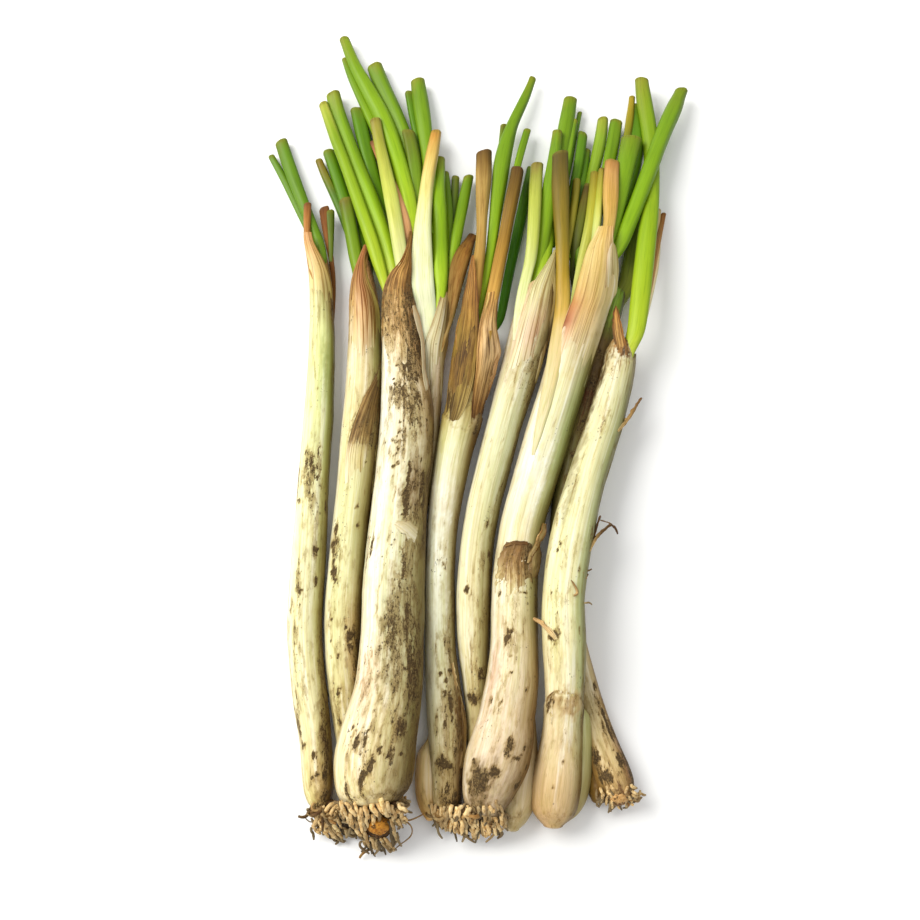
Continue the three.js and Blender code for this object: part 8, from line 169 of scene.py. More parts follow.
    "rakkyo_3_roots": {'r': (7, 3.4), 'n': 120, 'len': 5.6, 'rad': 0.52, 'cols': [(224, 186, 124), (208, 166, 102), (232, 200, 142), (184, 140, 80), (150, 108, 56), (240, 212, 158)], 'curl': 0.45, 'thick': 2.2, 'plate': (190, 132, 44), 'spread': (0.24, 0.3), 'lean': (0, 0, -0.1), 'tone': (0.42, 0.85), 'c': [-27.42, -117.13, 10.43], 'strokes': [([[-35.57, -118.45, 16.28], [-35.39, -118.83, 16.37], [-34.8, -119.92, 15.21], [-35.37, -121.52, 13.07]], 0.46, 0.45), ([[-34.16, -118.26, 15.93], [-32.44, -118.84, 16.36], [-32.13, -119.69, 15.44], [-33.59, -120.08, 14.06]], 0.44, 0.57), ([[-34.41, -118.38, 15.43], [-33.43, -118.99, 15.86], [-33.12, -119.84, 14.94], [-32.77, -120.68, 13.56]], 0.44, 0.66), ([[-31.81, -118.98, 15.68], [-31.56, -119.35, 15.53], [-30.87, -120.09, 14.91], [-28.55, -121.27, 13.44]], 0.48, 0.55), ([[-33.71, -118.69, 15.18], [-33.56, -119.9, 15.03], [-32.87, -120.64, 14.41], [-32.38, -120.08, 12.94]], 0.45, 0.45), ([[-32.44, -118, 16.8], [-31.61, -118.74, 16.08], [-31.36, -119.49, 15.83], [-31.98, -119.41, 14.1]], 0.36, 0.46), ([[-31.3, -118.68, 16.3], [-31.69, -119.79, 15.58], [-31.44, -120.54, 15.33], [-31.5, -121.48, 13.6]], 0.42, 0.69), ([[-32.47, -120.62, 14.5], [-32.63, -121.32, 13.63], [-32.55, -122.44, 12.19], [-33.32, -123.82, 10.3]], 0.4, 0.4), ([[-32.56, -120.92, 14], [-32.6, -121.73, 13.13], [-32.52, -122.85, 11.69], [-35.37, -122.74, 9.8]], 0.45, 0.54), ([[-30.8, -120.22, 14.29], [-29.89, -120.65, 13.97], [-30.01, -121.84, 12.15], [-31.37, -124.26, 10.13]], 0.46, 0.65), ([[-31.3, -120.98, 13.79], [-29.77, -121.91, 13.47], [-29.89, -123.1, 11.65], [-30.43, -124.64, 9.63]], 0.42, 0.69), ([[-29.35, -119.44, 14.98], [-28.96, -120.62, 14.81], [-28.86, -121.75, 12.85], [-29.76, -122.79, 10.54]], 0.42, 0.68), ([[-29.29, -119.41, 14.48], [-29.44, -120.27, 14.31], [-29.34, -121.4, 12.35], [-29.85, -123.23, 10.04]], 0.4, 0.43), ([[-30.1, -121.17, 12.76], [-29.54, -122.57, 11.79], [-29.42, -123.81, 9.92], [-30.42, -123.86, 7.74]], 0.42, 0.63), ([[-30.31, -121.41, 12.26], [-30.49, -123.32, 11.29], [-30.37, -124.56, 9.42], [-30.02, -124.65, 7.24]], 0.49, 0.79), ([[-29.43, -118.61, 15.48], [-29.57, -119.94, 15.34], [-29.28, -120.92, 14.44], [-30.04, -120.93, 12.69]], 0.6, 0.43), ([[-30.22, -118.6, 14.98], [-30.04, -119.48, 14.84], [-29.75, -120.46, 13.94], [-29.54, -121.17, 12.19]], 0.51, 0.72), ([[-26.65, -118.11, 16.41], [-27.17, -119.16, 16.5], [-26.48, -120.05, 15.44], [-25.4, -121.5, 13.23]], 0.5, 0.64), ([[-27.94, -119.2, 15.91], [-27.64, -119.91, 16], [-26.95, -120.8, 14.94], [-27.09, -122.38, 12.73]], 0.49, 0.67), ([[-25.6, -117.64, 16.22], [-25.68, -118.58, 15.94], [-25.12, -119.56, 15.3], [-24.5, -120.54, 13.25]], 0.55, 0.42), ([[-27.19, -117.94, 15.72], [-26.31, -118.89, 15.44], [-25.75, -119.87, 14.8], [-25.34, -118.92, 12.75]], 0.42, 0.49), ([[-25.09, -117.75, 17.78], [-24.09, -120.07, 16.96], [-23.59, -121.29, 15.89], [-23.77, -121.2, 13.99]], 0.65, 0.85), ([[-25.81, -117.3, 17.28], [-25.34, -117.79, 16.46], [-24.84, -119.01, 15.39], [-25.3, -119.21, 13.49]], 0.53, 0.69), ([[-23.84, -118.54, 16.75], [-23.43, -119.76, 16.66], [-23.15, -120.89, 15.49], [-23.77, -121.74, 13.36]], 0.42, 0.64), ([[-23.5, -118.56, 16.25], [-23.78, -120.06, 16.16], [-23.5, -121.19, 14.99], [-22.59, -120.81, 12.86]], 0.42, 0.63), ([[-24.09, -119.22, 15.45], [-23.05, -120.05, 15.17], [-22.27, -120.88, 13.8], [-23.58, -121.24, 12.15]], 0.42, 0.4), ([[-22.2, -118.94, 14.95], [-22.56, -120, 14.67], [-21.78, -120.83, 13.3], [-20.81, -121.24, 11.65]], 0.48, 0.61), ([[-21.47, -118.61, 15.42], [-20.86, -118.51, 15.45], [-19.77, -118.78, 15.38], [-19.39, -120.21, 13.81]], 0.39, 0.69), ([[-20.7, -118.5, 14.92], [-20.18, -118.72, 14.95], [-19.09, -118.99, 14.88], [-18.36, -118.47, 13.31]], 0.41, 0.44), ([[-22.76, -119.44, 13.99], [-21.17, -119.34, 13.86], [-20.74, -120.3, 12.73], [-19.24, -122.44, 11.15]], 0.45, 0.44), ([[-21.52, -120.47, 13.49], [-21.16, -120.79, 13.36], [-20.73, -121.75, 12.23], [-19.93, -122.93, 10.65]], 0.5, 0.45), ([[-22.06, -122.21, 13.17], [-21.54, -123.15, 12.41], [-20.71, -123.79, 11.63], [-21.16, -124.57, 9.79]], 0.49, 0.5), ([[-21.83, -120.91, 12.67], [-21.08, -121.79, 11.91], [-20.25, -122.43, 11.13], [-19.57, -122.18, 9.29]], 0.54, 0.53), ([[-26.26, -121.13, 13.68], [-25.71, -121.67, 12.94], [-25.85, -122.71, 11.64], [-25.74, -123.2, 9.7]], 0.55, 0.68), ([[-28.03, -121.72, 13.18], [-28.23, -121.85, 12.44], [-28.37, -122.89, 11.14], [-27.07, -124.62, 9.2]], 0.43, 0.59), ([[-29.32, -121.4, 12.78], [-29.55, -121.67, 12.5], [-29.26, -122.48, 11.1], [-27.9, -123.79, 9.18]], 0.47, 0.67), ([[-29.78, -122.21, 12.28], [-29.64, -123.62, 12], [-29.35, -124.43, 10.6], [-30.12, -124.95, 8.68]], 0.47, 0.69), ([[-34.48, -120.52, 13.73], [-34.24, -120.8, 13.45], [-34.03, -121.52, 12.8], [-32.79, -122.5, 10.58]], 0.43, 0.52), ([[-33.81, -121.25, 13.23], [-33.28, -121.84, 12.95], [-33.07, -122.56, 12.3], [-32.8, -122.16, 10.08]], 0.45, 0.67), ([[-20.56, -119.74, 15.28], [-19.93, -120.46, 14.85], [-19.22, -120.62, 15.14], [-20.26, -120.03, 14.31]], 0.38, 0.65), ([[-20.31, -119.49, 14.78], [-19.48, -120.14, 14.35], [-18.77, -120.3, 14.64], [-17.6, -120.7, 13.81]], 0.38, 0.48), ([[-23.7, -122.5, 12.18], [-23.3, -123.19, 11.36], [-22.93, -124.11, 10.41], [-22.24, -124.94, 8.29]], 0.38, 0.35), ([[-23.08, -121.93, 11.68], [-22.61, -123.64, 10.86], [-22.24, -124.56, 9.91], [-22.8, -124.78, 7.79]], 0.43, 0.38), ([[-33.13, -124.13, 9.3], [-33.71, -125.33, 8.78], [-33.08, -126.01, 7.7], [-31.7, -125.65, 6.19]], 0.49, 0.49), ([[-31.1, -125.02, 8.8], [-30.97, -126.05, 8.28], [-30.34, -126.73, 7.2], [-29.41, -126.66, 5.69]], 0.46, 0.48), ([[-30.89, -124.81, 8.49], [-30.23, -125.44, 7.57], [-30.19, -126.38, 6.27], [-28.97, -127.96, 4.61]], 0.44, 0.59), ([[-30.67, -124.24, 7.99], [-29.52, -125.52, 7.07], [-29.48, -126.46, 5.77], [-29.52, -127.69, 4.11]], 0.48, 0.46), ([[-30.61, -127.17, 7.28], [-31.08, -127.86, 5.91], [-30.6, -128.84, 4.76], [-28.95, -130.15, 2.2]], 0.41, 0.54), ([[-29.03, -125.99, 6.78], [-28.99, -127.45, 5.41], [-28.51, -128.43, 4.26], [-28.23, -130.2, 1.7]], 0.44, 0.38), ([[-28.07, -126.23, 6.08], [-26.85, -126.44, 5.7], [-26.83, -127.51, 3.88], [-26.3, -128.83, 1.82]], 0.42, 0.57), ([[-27.5, -126.54, 5.58], [-26.1, -127.55, 5.2], [-26.08, -128.62, 3.38], [-27.56, -130.44, 1.32]], 0.36, 0.61), ([[-26.24, -126.96, 5.05], [-26.81, -127.73, 4.16], [-26.68, -128.68, 2.43], [-26.7, -129.57, 1.04]], 0.38, 0.62), ([[-26.36, -126.64, 4.55], [-26.46, -127.62, 3.66], [-26.33, -128.57, 1.93], [-27.2, -129.49, 0.54]], 0.35, 0.41), ([[-26.54, -126.94, 5.88], [-25.72, -128.18, 5.36], [-25.05, -128.86, 4.21], [-24.68, -130.39, 2.45]], 0.38, 0.37), ([[-27.36, -126.83, 5.38], [-26.33, -127.81, 4.86], [-25.66, -128.49, 3.71], [-24.91, -129.8, 1.95]], 0.4, 0.49), ([[-25.52, -127.61, 6.31], [-24.22, -128.73, 5.95], [-23.46, -129.62, 4.31], [-22.86, -128.31, 2.59]], 0.41, 0.62), ([[-24.96, -126.29, 5.81], [-24.3, -127.53, 5.45], [-23.54, -128.42, 3.81], [-22.03, -129.42, 2.09]], 0.45, 0.55), ([[-22.98, -124.79, 6.44], [-21.81, -125.48, 5.23], [-21.79, -126.73, 3.27], [-22.97, -128.6, 1.31]], 0.41, 0.57), ([[-23.09, -125.51, 5.94], [-22.69, -126.23, 4.73], [-22.67, -127.48, 2.77], [-22.98, -129.57, 0.81]], 0.39, 0.49), ([[-28.15, -127.32, 3.3], [-29.19, -128.58, 2.83], [-29.2, -129.33, 1.94], [-29.07, -127.57, 1.29]], 0.25, 0.41), ([[-27.21, -127.91, 2.8], [-28.19, -128.74, 2.33], [-28.2, -129.49, 1.44], [-27.44, -130.89, 0.79]], 0.29, 0.34), ([[-22.99, -123.48, 10.4], [-23.32, -123.98, 9.28], [-23.12, -125, 7.8], [-22.61, -128.45, 6.16]], 0.49, 0.41), ([[-22.69, -123.22, 9.9], [-22.98, -124.7, 8.78], [-22.78, -125.72, 7.3], [-21.9, -127.42, 5.66]], 0.43, 0.41), ([[-22.14, -124.68, 8.27], [-22.15, -125.71, 7.36], [-21.84, -126.63, 6.09], [-21.23, -126.2, 4.22]], 0.42, 0.49), ([[-21.59, -125.19, 7.77], [-21.4, -126.54, 6.86], [-21.09, -127.46, 5.59], [-20.63, -128.34, 3.72]], 0.41, 0.53), ([[-24.44, -127.21, 4.81], [-24.16, -127.36, 4.41], [-23.76, -128.13, 2.77], [-23.5, -128.85, 1.76]], 0.33, 0.42), ([[-26.1, -127.55, 4.31], [-26.31, -128.62, 3.91], [-25.91, -129.39, 2.27], [-25.51, -129.35, 1.26]], 0.36, 0.46), ([[-33.64, -120.48, 11.97], [-33.22, -121.52, 11.61], [-32.62, -122.22, 10.75], [-32.97, -123.37, 8.92]], 0.43, 0.55), ([[-33.76, -120.94, 11.47], [-33.4, -121.76, 11.11], [-32.8, -122.46, 10.25], [-32.29, -123.29, 8.42]], 0.43, 0.44), ([[-34.4, -119.62, 14.84], [-34.58, -119.98, 14.36], [-34.36, -120.73, 13.55], [-34.41, -120.51, 11.79]], 0.46, 0.56), ([[-34.8, -119.65, 14.34], [-35.16, -119.94, 13.86], [-34.94, -120.69, 13.05], [-33.48, -120.49, 11.29]], 0.34, 0.65), ([[-32.15, -120.86, 11.78], [-31.44, -121.56, 11.18], [-31.31, -122.4, 10.34], [-32.49, -123.5, 8.28]], 0.44, 0.38), ([[-32.42, -121.92, 11.28], [-32.27, -122.25, 10.68], [-32.14, -123.09, 9.84], [-32.22, -124.12, 7.78]], 0.43, 0.43), ([[-19.91, -120.85, 13.54], [-20.23, -121.39, 12.88], [-19.6, -121.72, 12.95], [-19.23, -121.24, 11.51]], 0.33, 0.66), ([[-20.61, -121.51, 13.04], [-19.99, -122.72, 12.38], [-19.36, -123.05, 12.45], [-19.35, -123.26, 11.01]], 0.41, 0.64), ([[-21.61, -121.53, 12.44], [-21.22, -121.84, 12.33], [-20.99, -122.48, 11.19], [-20.03, -124.14, 9.63]], 0.35, 0.43), ([[-21.38, -122.06, 11.94], [-21.22, -122.93, 11.83], [-20.99, -123.57, 10.69], [-20.92, -124.33, 9.13]], 0.37, 0.38), ([[-30.12, -126.27, 5.61], [-30.09, -127.46, 5.03], [-29.85, -128.08, 4.53], [-29.59, -128.68, 3]], 0.33, 0.44), ([[-28.78, -126.42, 5.11], [-28.1, -126.26, 4.53], [-27.86, -126.88, 4.03], [-30.91, -129.69, 2.5]], 0.4, 0.43), ([[-35.12, -118.01, 16.83], [-34.79, -119.26, 16.92], [-34.2, -120.35, 15.76], [-33.68, -121.36, 13.62]], 0.61, 0.95), ([[-34.16, -118.48, 16.48], [-33.24, -118.98, 16.91], [-32.93, -119.83, 15.99], [-32.53, -120.52, 14.61]], 0.51, 0.9), ([[-32.92, -118.92, 16.23], [-32.71, -119.93, 16.08], [-32.02, -120.67, 15.46], [-31.51, -121.41, 13.99]], 0.58, 1), ([[-31.71, -118.44, 17.35], [-31.46, -119.12, 16.63], [-31.21, -119.87, 16.38], [-30.98, -120.48, 14.65]], 0.48, 1.05), ([[-32.52, -120.5, 15.05], [-33.01, -121.52, 14.18], [-32.93, -122.64, 12.74], [-33.2, -123.68, 10.85]], 0.58, 0.95), ([[-31.32, -120.28, 14.84], [-30.67, -121.36, 14.52], [-30.79, -122.55, 12.7], [-30.58, -123.64, 10.68]], 0.58, 0.95), ([[-30.25, -119.35, 15.53], [-30.2, -120.51, 15.36], [-30.1, -121.64, 13.4], [-30.22, -122.74, 11.09]], 0.61, 1), ([[-30.58, -121.62, 13.31], [-30.31, -122.83, 12.34], [-30.19, -124.07, 10.47], [-30.07, -125.27, 8.29]], 0.61, 1.05), ([[-29.03, -118.91, 16.03], [-29.02, -119.94, 15.89], [-28.73, -120.92, 14.99], [-28.65, -121.87, 13.24]], 0.7, 0.95), ([[-27.54, -118.18, 16.96], [-27.42, -119.37, 17.05], [-26.73, -120.26, 15.99], [-26.34, -121.17, 13.78]], 0.7, 1.05), ([[-26.24, -118.01, 16.77], [-25.85, -119.05, 16.49], [-25.29, -120.03, 15.85], [-24.83, -120.92, 13.8]], 0.64, 1), ([[-25.2, -117.38, 18.33], [-24.75, -118.59, 17.51], [-24.25, -119.81, 16.44], [-23.78, -120.95, 14.54]], 0.79, 1.1), ([[-23.5, -118.02, 17.3], [-23.46, -119.2, 17.21], [-23.18, -120.33, 16.04], [-23.15, -121.42, 13.91]], 0.64, 0.85), ([[-22.6, -118.92, 16], [-22.56, -120.06, 15.72], [-21.78, -120.89, 14.35], [-21.56, -121.9, 12.7]], 0.61, 0.9), ([[-21.02, -118.62, 15.97], [-20.54, -119.55, 16], [-19.45, -119.82, 15.93], [-18.78, -120.39, 14.36]], 0.58, 0.95), ([[-21.56, -120.22, 14.54], [-20.54, -120.65, 14.41], [-20.11, -121.61, 13.28], [-19.5, -122.32, 11.7]], 0.61, 0.9), ([[-22.29, -121.11, 13.72], [-22.01, -122.13, 12.96], [-21.18, -122.77, 12.18], [-20.41, -123.36, 10.34]], 0.61, 0.85), ([[-27.56, -120.95, 14.23], [-27.13, -121.89, 13.49], [-27.27, -122.93, 12.19], [-27.24, -123.9, 10.25]], 0.64, 1), ([[-29.08, -121.62, 13.33], [-29.09, -122.5, 13.05], [-28.8, -123.31, 11.65], [-28.68, -124.1, 9.73]], 0.55, 0.9), ([[-34.45, -120.93, 14.28], [-33.83, -121.41, 14], [-33.62, -122.13, 13.35], [-33.68, -122.86, 11.13]], 0.55, 0.9), ([[-20.27, -119.3, 15.83], [-19.81, -119.76, 15.4], [-19.1, -119.92, 15.69], [-18.59, -120.25, 14.86]], 0.51, 0.9), ([[-22.87, -122.07, 12.73], [-22.67, -123.01, 11.91], [-22.3, -123.93, 10.96], [-22, -124.8, 8.84]], 0.58, 0.8), ([[-31.89, -124.18, 9.85], [-31.57, -125.04, 9.33], [-30.94, -125.72, 8.25], [-30.46, -126.43, 6.74]], 0.56, 0.9), ([[-30.29, -124.8, 9.04], [-29.81, -125.58, 8.12], [-29.77, -126.52, 6.82], [-29.55, -127.37, 5.16]], 0.56, 0.85), ([[-29.46, -125.77, 7.83], [-29.53, -126.86, 6.46], [-29.05, -127.84, 5.31], [-28.65, -128.77, 2.75]], 0.56, 0.8), ([[-28.48, -126.2, 6.63], [-27.75, -127.02, 6.25], [-27.73, -128.09, 4.43], [-27.49, -129.04, 2.37]], 0.53, 0.85), ([[-26.94, -126.66, 5.6], [-27.24, -127.62, 4.71], [-27.11, -128.57, 2.98], [-26.86, -129.49, 1.59]], 0.53, 0.85), ([[-25.97, -126.45, 6.43], [-25.32, -127.15, 5.91], [-24.65, -127.83, 4.76], [-24.06, -128.52, 3]], 0.53, 0.85), ([[-24.98, -126.26, 6.86], [-24.18, -127.14, 6.5], [-23.42, -128.03, 4.86], [-22.56, -128.8, 3.14]], 0.53, 0.9), ([[-23.31, -125.95, 6.99], [-22.93, -127.09, 5.78], [-22.91, -128.34, 3.82], [-22.55, -129.49, 1.86]], 0.53, 0.8), ([[-27.56, -128.1, 3.85], [-28.21, -128.6, 3.38], [-28.22, -129.35, 2.49], [-28.35, -130.03, 1.84]], 0.37, 0.8), ([[-22.47, -122.97, 10.95], [-22.48, -124, 9.83], [-22.28, -125.02, 8.35], [-22.04, -126, 6.71]], 0.56, 0.85), ([[-22.3, -124.62, 8.82], [-22.11, -125.53, 7.91], [-21.8, -126.45, 6.64], [-21.78, -127.38, 4.77]], 0.5, 0.75), ([[-24.47, -127.37, 5.36], [-24.08, -128.17, 4.96], [-23.68, -128.94, 3.32], [-23.48, -129.81, 2.31]], 0.47, 0.8), ([[-33.58, -121.8, 12.52], [-33.33, -122.71, 12.16], [-32.73, -123.41, 11.3], [-32.37, -124.14, 9.47]], 0.52, 0.8), ([[-34.6, -119.57, 15.39], [-34.85, -120.36, 14.91], [-34.63, -121.11, 14.1], [-34.64, -121.83, 12.34]], 0.52, 0.85), ([[-32.17, -122.31, 12.33], [-31.59, -122.97, 11.73], [-31.46, -123.81, 10.89], [-31.41, -124.59, 8.83]], 0.49, 0.75), ([[-20.12, -121.19, 14.09], [-19.89, -121.76, 13.43], [-19.26, -122.09, 13.5], [-18.95, -122.54, 12.06]], 0.49, 0.85), ([[-21.14, -122.08, 12.99], [-20.88, -122.74, 12.88], [-20.65, -123.38, 11.74], [-20.31, -123.93, 10.18]], 0.49, 0.8), ([[-29.91, -126.41, 6.16], [-30.12, -127.11, 5.58], [-29.88, -127.73, 5.08], [-29.67, -128.31, 3.55]], 0.47, 0.75)], 'disc': (1.34, -6.27, -0.93, 3.02, 2.21, 2.76), 'root_mass_and_shade': [(-26.35, -123.29, 5.6, 4.08, 3.18, 3.97, (112, 80, 40)), (-32.08, -120.84, 5, 2.3, 2.05, 2.56, (70, 46, 18))], 'hairs': [([[-26.75, -126.37, 2.4], [-27.4, -128.05, 1.6], [-28.56, -129.02, 1.3], [-30.09, -129.5, 1.2], [-31.1, -130.22, 1.1], [-31.46, -131.19, 1]], 0.52), ([[-19.83, -122.43, 9], [-17.88, -122.14, 7.5], [-15.92, -121.12, 6], [-14.17, -120.11, 5]], 0.24), ([[-19.89, -122.16, 8], [-18.2, -123.29, 5.5], [-17.75, -124.93, 3.4], [-18.56, -126.36, 2], [-20.64, -127.56, 1], [-22.69, -129.25, 0.6]], 0.22)]},
    "rakkyo_4_roots": {'r': (3.2, 1.6), 'n': 50, 'len': 4.2, 'rad': 0.46, 'cols': [(224, 186, 124), (208, 166, 102), (232, 200, 142), (184, 140, 80), (150, 108, 56), (240, 212, 158)], 'curl': 0.5, 'plate': (80, 54, 24), 'spread': (0.35, 0.3), 'tone': (0.5, 0.9), 'c': [-8.52, -120.23, 3.62], 'strokes': [([[-12.45, -118.18, 5.38], [-12.95, -119.22, 5.65], [-13.06, -120.45, 5.14], [-11.89, -122.42, 3.34]], 0.35, 0.46), ([[-11.16, -118.58, 5.87], [-11.68, -119.71, 5.27], [-11.95, -121.07, 4.04], [-10.74, -123.73, 2.46]], 0.45, 0.5), ([[-10.82, -118.9, 5.37], [-10.42, -119.96, 4.77], [-10.69, -121.32, 3.54], [-10.3, -122.5, 1.96]], 0.5, 0.6), ([[-9.66, -118.4, 6.5], [-9.44, -119.7, 5.71], [-9.31, -121.3, 4.38], [-10.05, -124.21, 2.57]], 0.45, 0.43), ([[-9.78, -118.98, 6], [-10.65, -120.83, 5.21], [-10.52, -122.43, 3.88], [-8.27, -123.07, 2.07]], 0.43, 0.57), ([[-11.88, -121.91, 4.25], [-11.36, -123.73, 3.99], [-11.25, -124.97, 3.27], [-10.23, -126.43, 1.46]], 0.4, 0.55), ([[-12.7, -121.33, 3.75], [-11.72, -122.66, 3.49], [-11.61, -123.9, 2.77], [-11.31, -125.1, 0.96]], 0.36, 0.62), ([[-9.66, -121.08, 4.25], [-9.38, -121.84, 3.75], [-9.05, -122.95, 2.87], [-8.55, -124.27, 1.6]], 0.33, 0.41), ([[-9.2, -121.25, 3.75], [-9.54, -122.33, 3.25], [-9.21, -123.44, 2.37], [-8.73, -124.67, 1.1]], 0.37, 0.4), ([[-12.59, -118.34, 5.21], [-12.77, -118.66, 5.86], [-12.62, -119.63, 5.26], [-12.16, -121.01, 4.39]], 0.35, 0.47), ([[-13.88, -118.29, 4.71], [-13.04, -119.46, 5.36], [-12.89, -120.43, 4.76], [-14.11, -121.6, 3.89]], 0.37, 0.6), ([[-9.35, -120.66, 2.85], [-9.47, -121.07, 3.21], [-8.96, -121.89, 2.03], [-9.13, -124.53, 0.51]], 0.34, 0.47), ([[-11.21, -121.92, 2.35], [-10.88, -123.02, 2.71], [-10.37, -123.84, 1.53], [-10.28, -123.43, 0.4]], 0.44, 0.49), ([[-12.07, -119.52, 5.03], [-12.4, -120.5, 5.19], [-12.37, -121.56, 4.43], [-11.62, -123.23, 3.15]], 0.38, 0.49), ([[-11.26, -119.07, 4.53], [-11.59, -119.55, 4.69], [-11.56, -120.61, 3.93], [-11.34, -122.06, 2.65]], 0.41, 0.68), ([[-8.01, -118.66, 6.52], [-8.2, -119.94, 5.77], [-8.58, -121.04, 5.05], [-9.74, -121.79, 3.62]], 0.35, 0.57), ([[-7.94, -118.61, 6.02], [-7.15, -119.37, 5.27], [-7.53, -120.47, 4.55], [-7.43, -122.77, 3.12]], 0.37, 0.55), ([[-12.18, -120.11, 4.96], [-11.88, -121.07, 5.03], [-11.25, -122.04, 4.1], [-11.77, -123.83, 2.27]], 0.38, 0.49), ([[-12.26, -120.78, 4.46], [-12.33, -121.87, 4.53], [-11.7, -122.84, 3.6], [-11.97, -123.75, 1.77]], 0.34, 0.46), ([[-11.91, -118.44, 5.93], [-12.15, -119.64, 6.2], [-12.26, -120.87, 5.69], [-12.26, -122.04, 3.89]], 0.53, 0.9), ([[-10.63, -118.95, 6.42], [-10.48, -120.3, 5.82], [-10.75, -121.66, 4.59], [-10.91, -122.97, 3.01]], 0.57, 1), ([[-9.58, -118.73, 7.05], [-9.79, -120.31, 6.26], [-9.66, -121.91, 4.93], [-9.55, -123.46, 3.12]], 0.56, 0.9), ([[-11.49, -120.8, 4.8], [-10.83, -121.84, 4.54], [-10.72, -123.08, 3.82], [-10.33, -124.16, 2.01]], 0.53, 0.85), ([[-9.12, -121.33, 4.8], [-9.19, -122.45, 4.3], [-8.86, -123.56, 3.42], [-8.77, -124.66, 2.15]], 0.5, 0.85), ([[-12.97, -118.2, 5.76], [-12.87, -119.19, 6.41], [-12.72, -120.16, 5.81], [-12.46, -121.07, 4.94]], 0.47, 0.9), ([[-10.38, -122.02, 3.4], [-10.11, -122.95, 3.76], [-9.6, -123.77, 2.58], [-9.31, -124.63, 1.06]], 0.5, 0.85), ([[-11.35, -119.4, 5.58], [-11.52, -120.45, 5.74], [-11.49, -121.51, 4.98], [-11.54, -122.51, 3.7]], 0.5, 0.95), ([[-8.35, -118.72, 7.07], [-8.24, -119.86, 6.32], [-8.62, -120.96, 5.6], [-8.86, -122.03, 4.17]], 0.53, 0.8), ([[-12.24, -120.08, 5.51], [-12.18, -121.27, 5.58], [-11.55, -122.24, 4.65], [-11.13, -123.22, 2.82]], 0.47, 0.8)], 'root_mass_and_shade': [(-10.36, -120.51, 2.6, 2.07, 1.86, 2.32, (84, 58, 26))]},
    "rakkyo_5_roots": {'r': (1.2, 1), 'n': 14, 'len': 4, 'rad': 0.38, 'cols': [(224, 186, 124), (208, 166, 102), (232, 200, 142), (184, 140, 80), (150, 108, 56), (240, 212, 158)], 'curl': 0.4, 'plate': (110, 76, 36), 'c': [-0.76, -109.63, 3.46]},
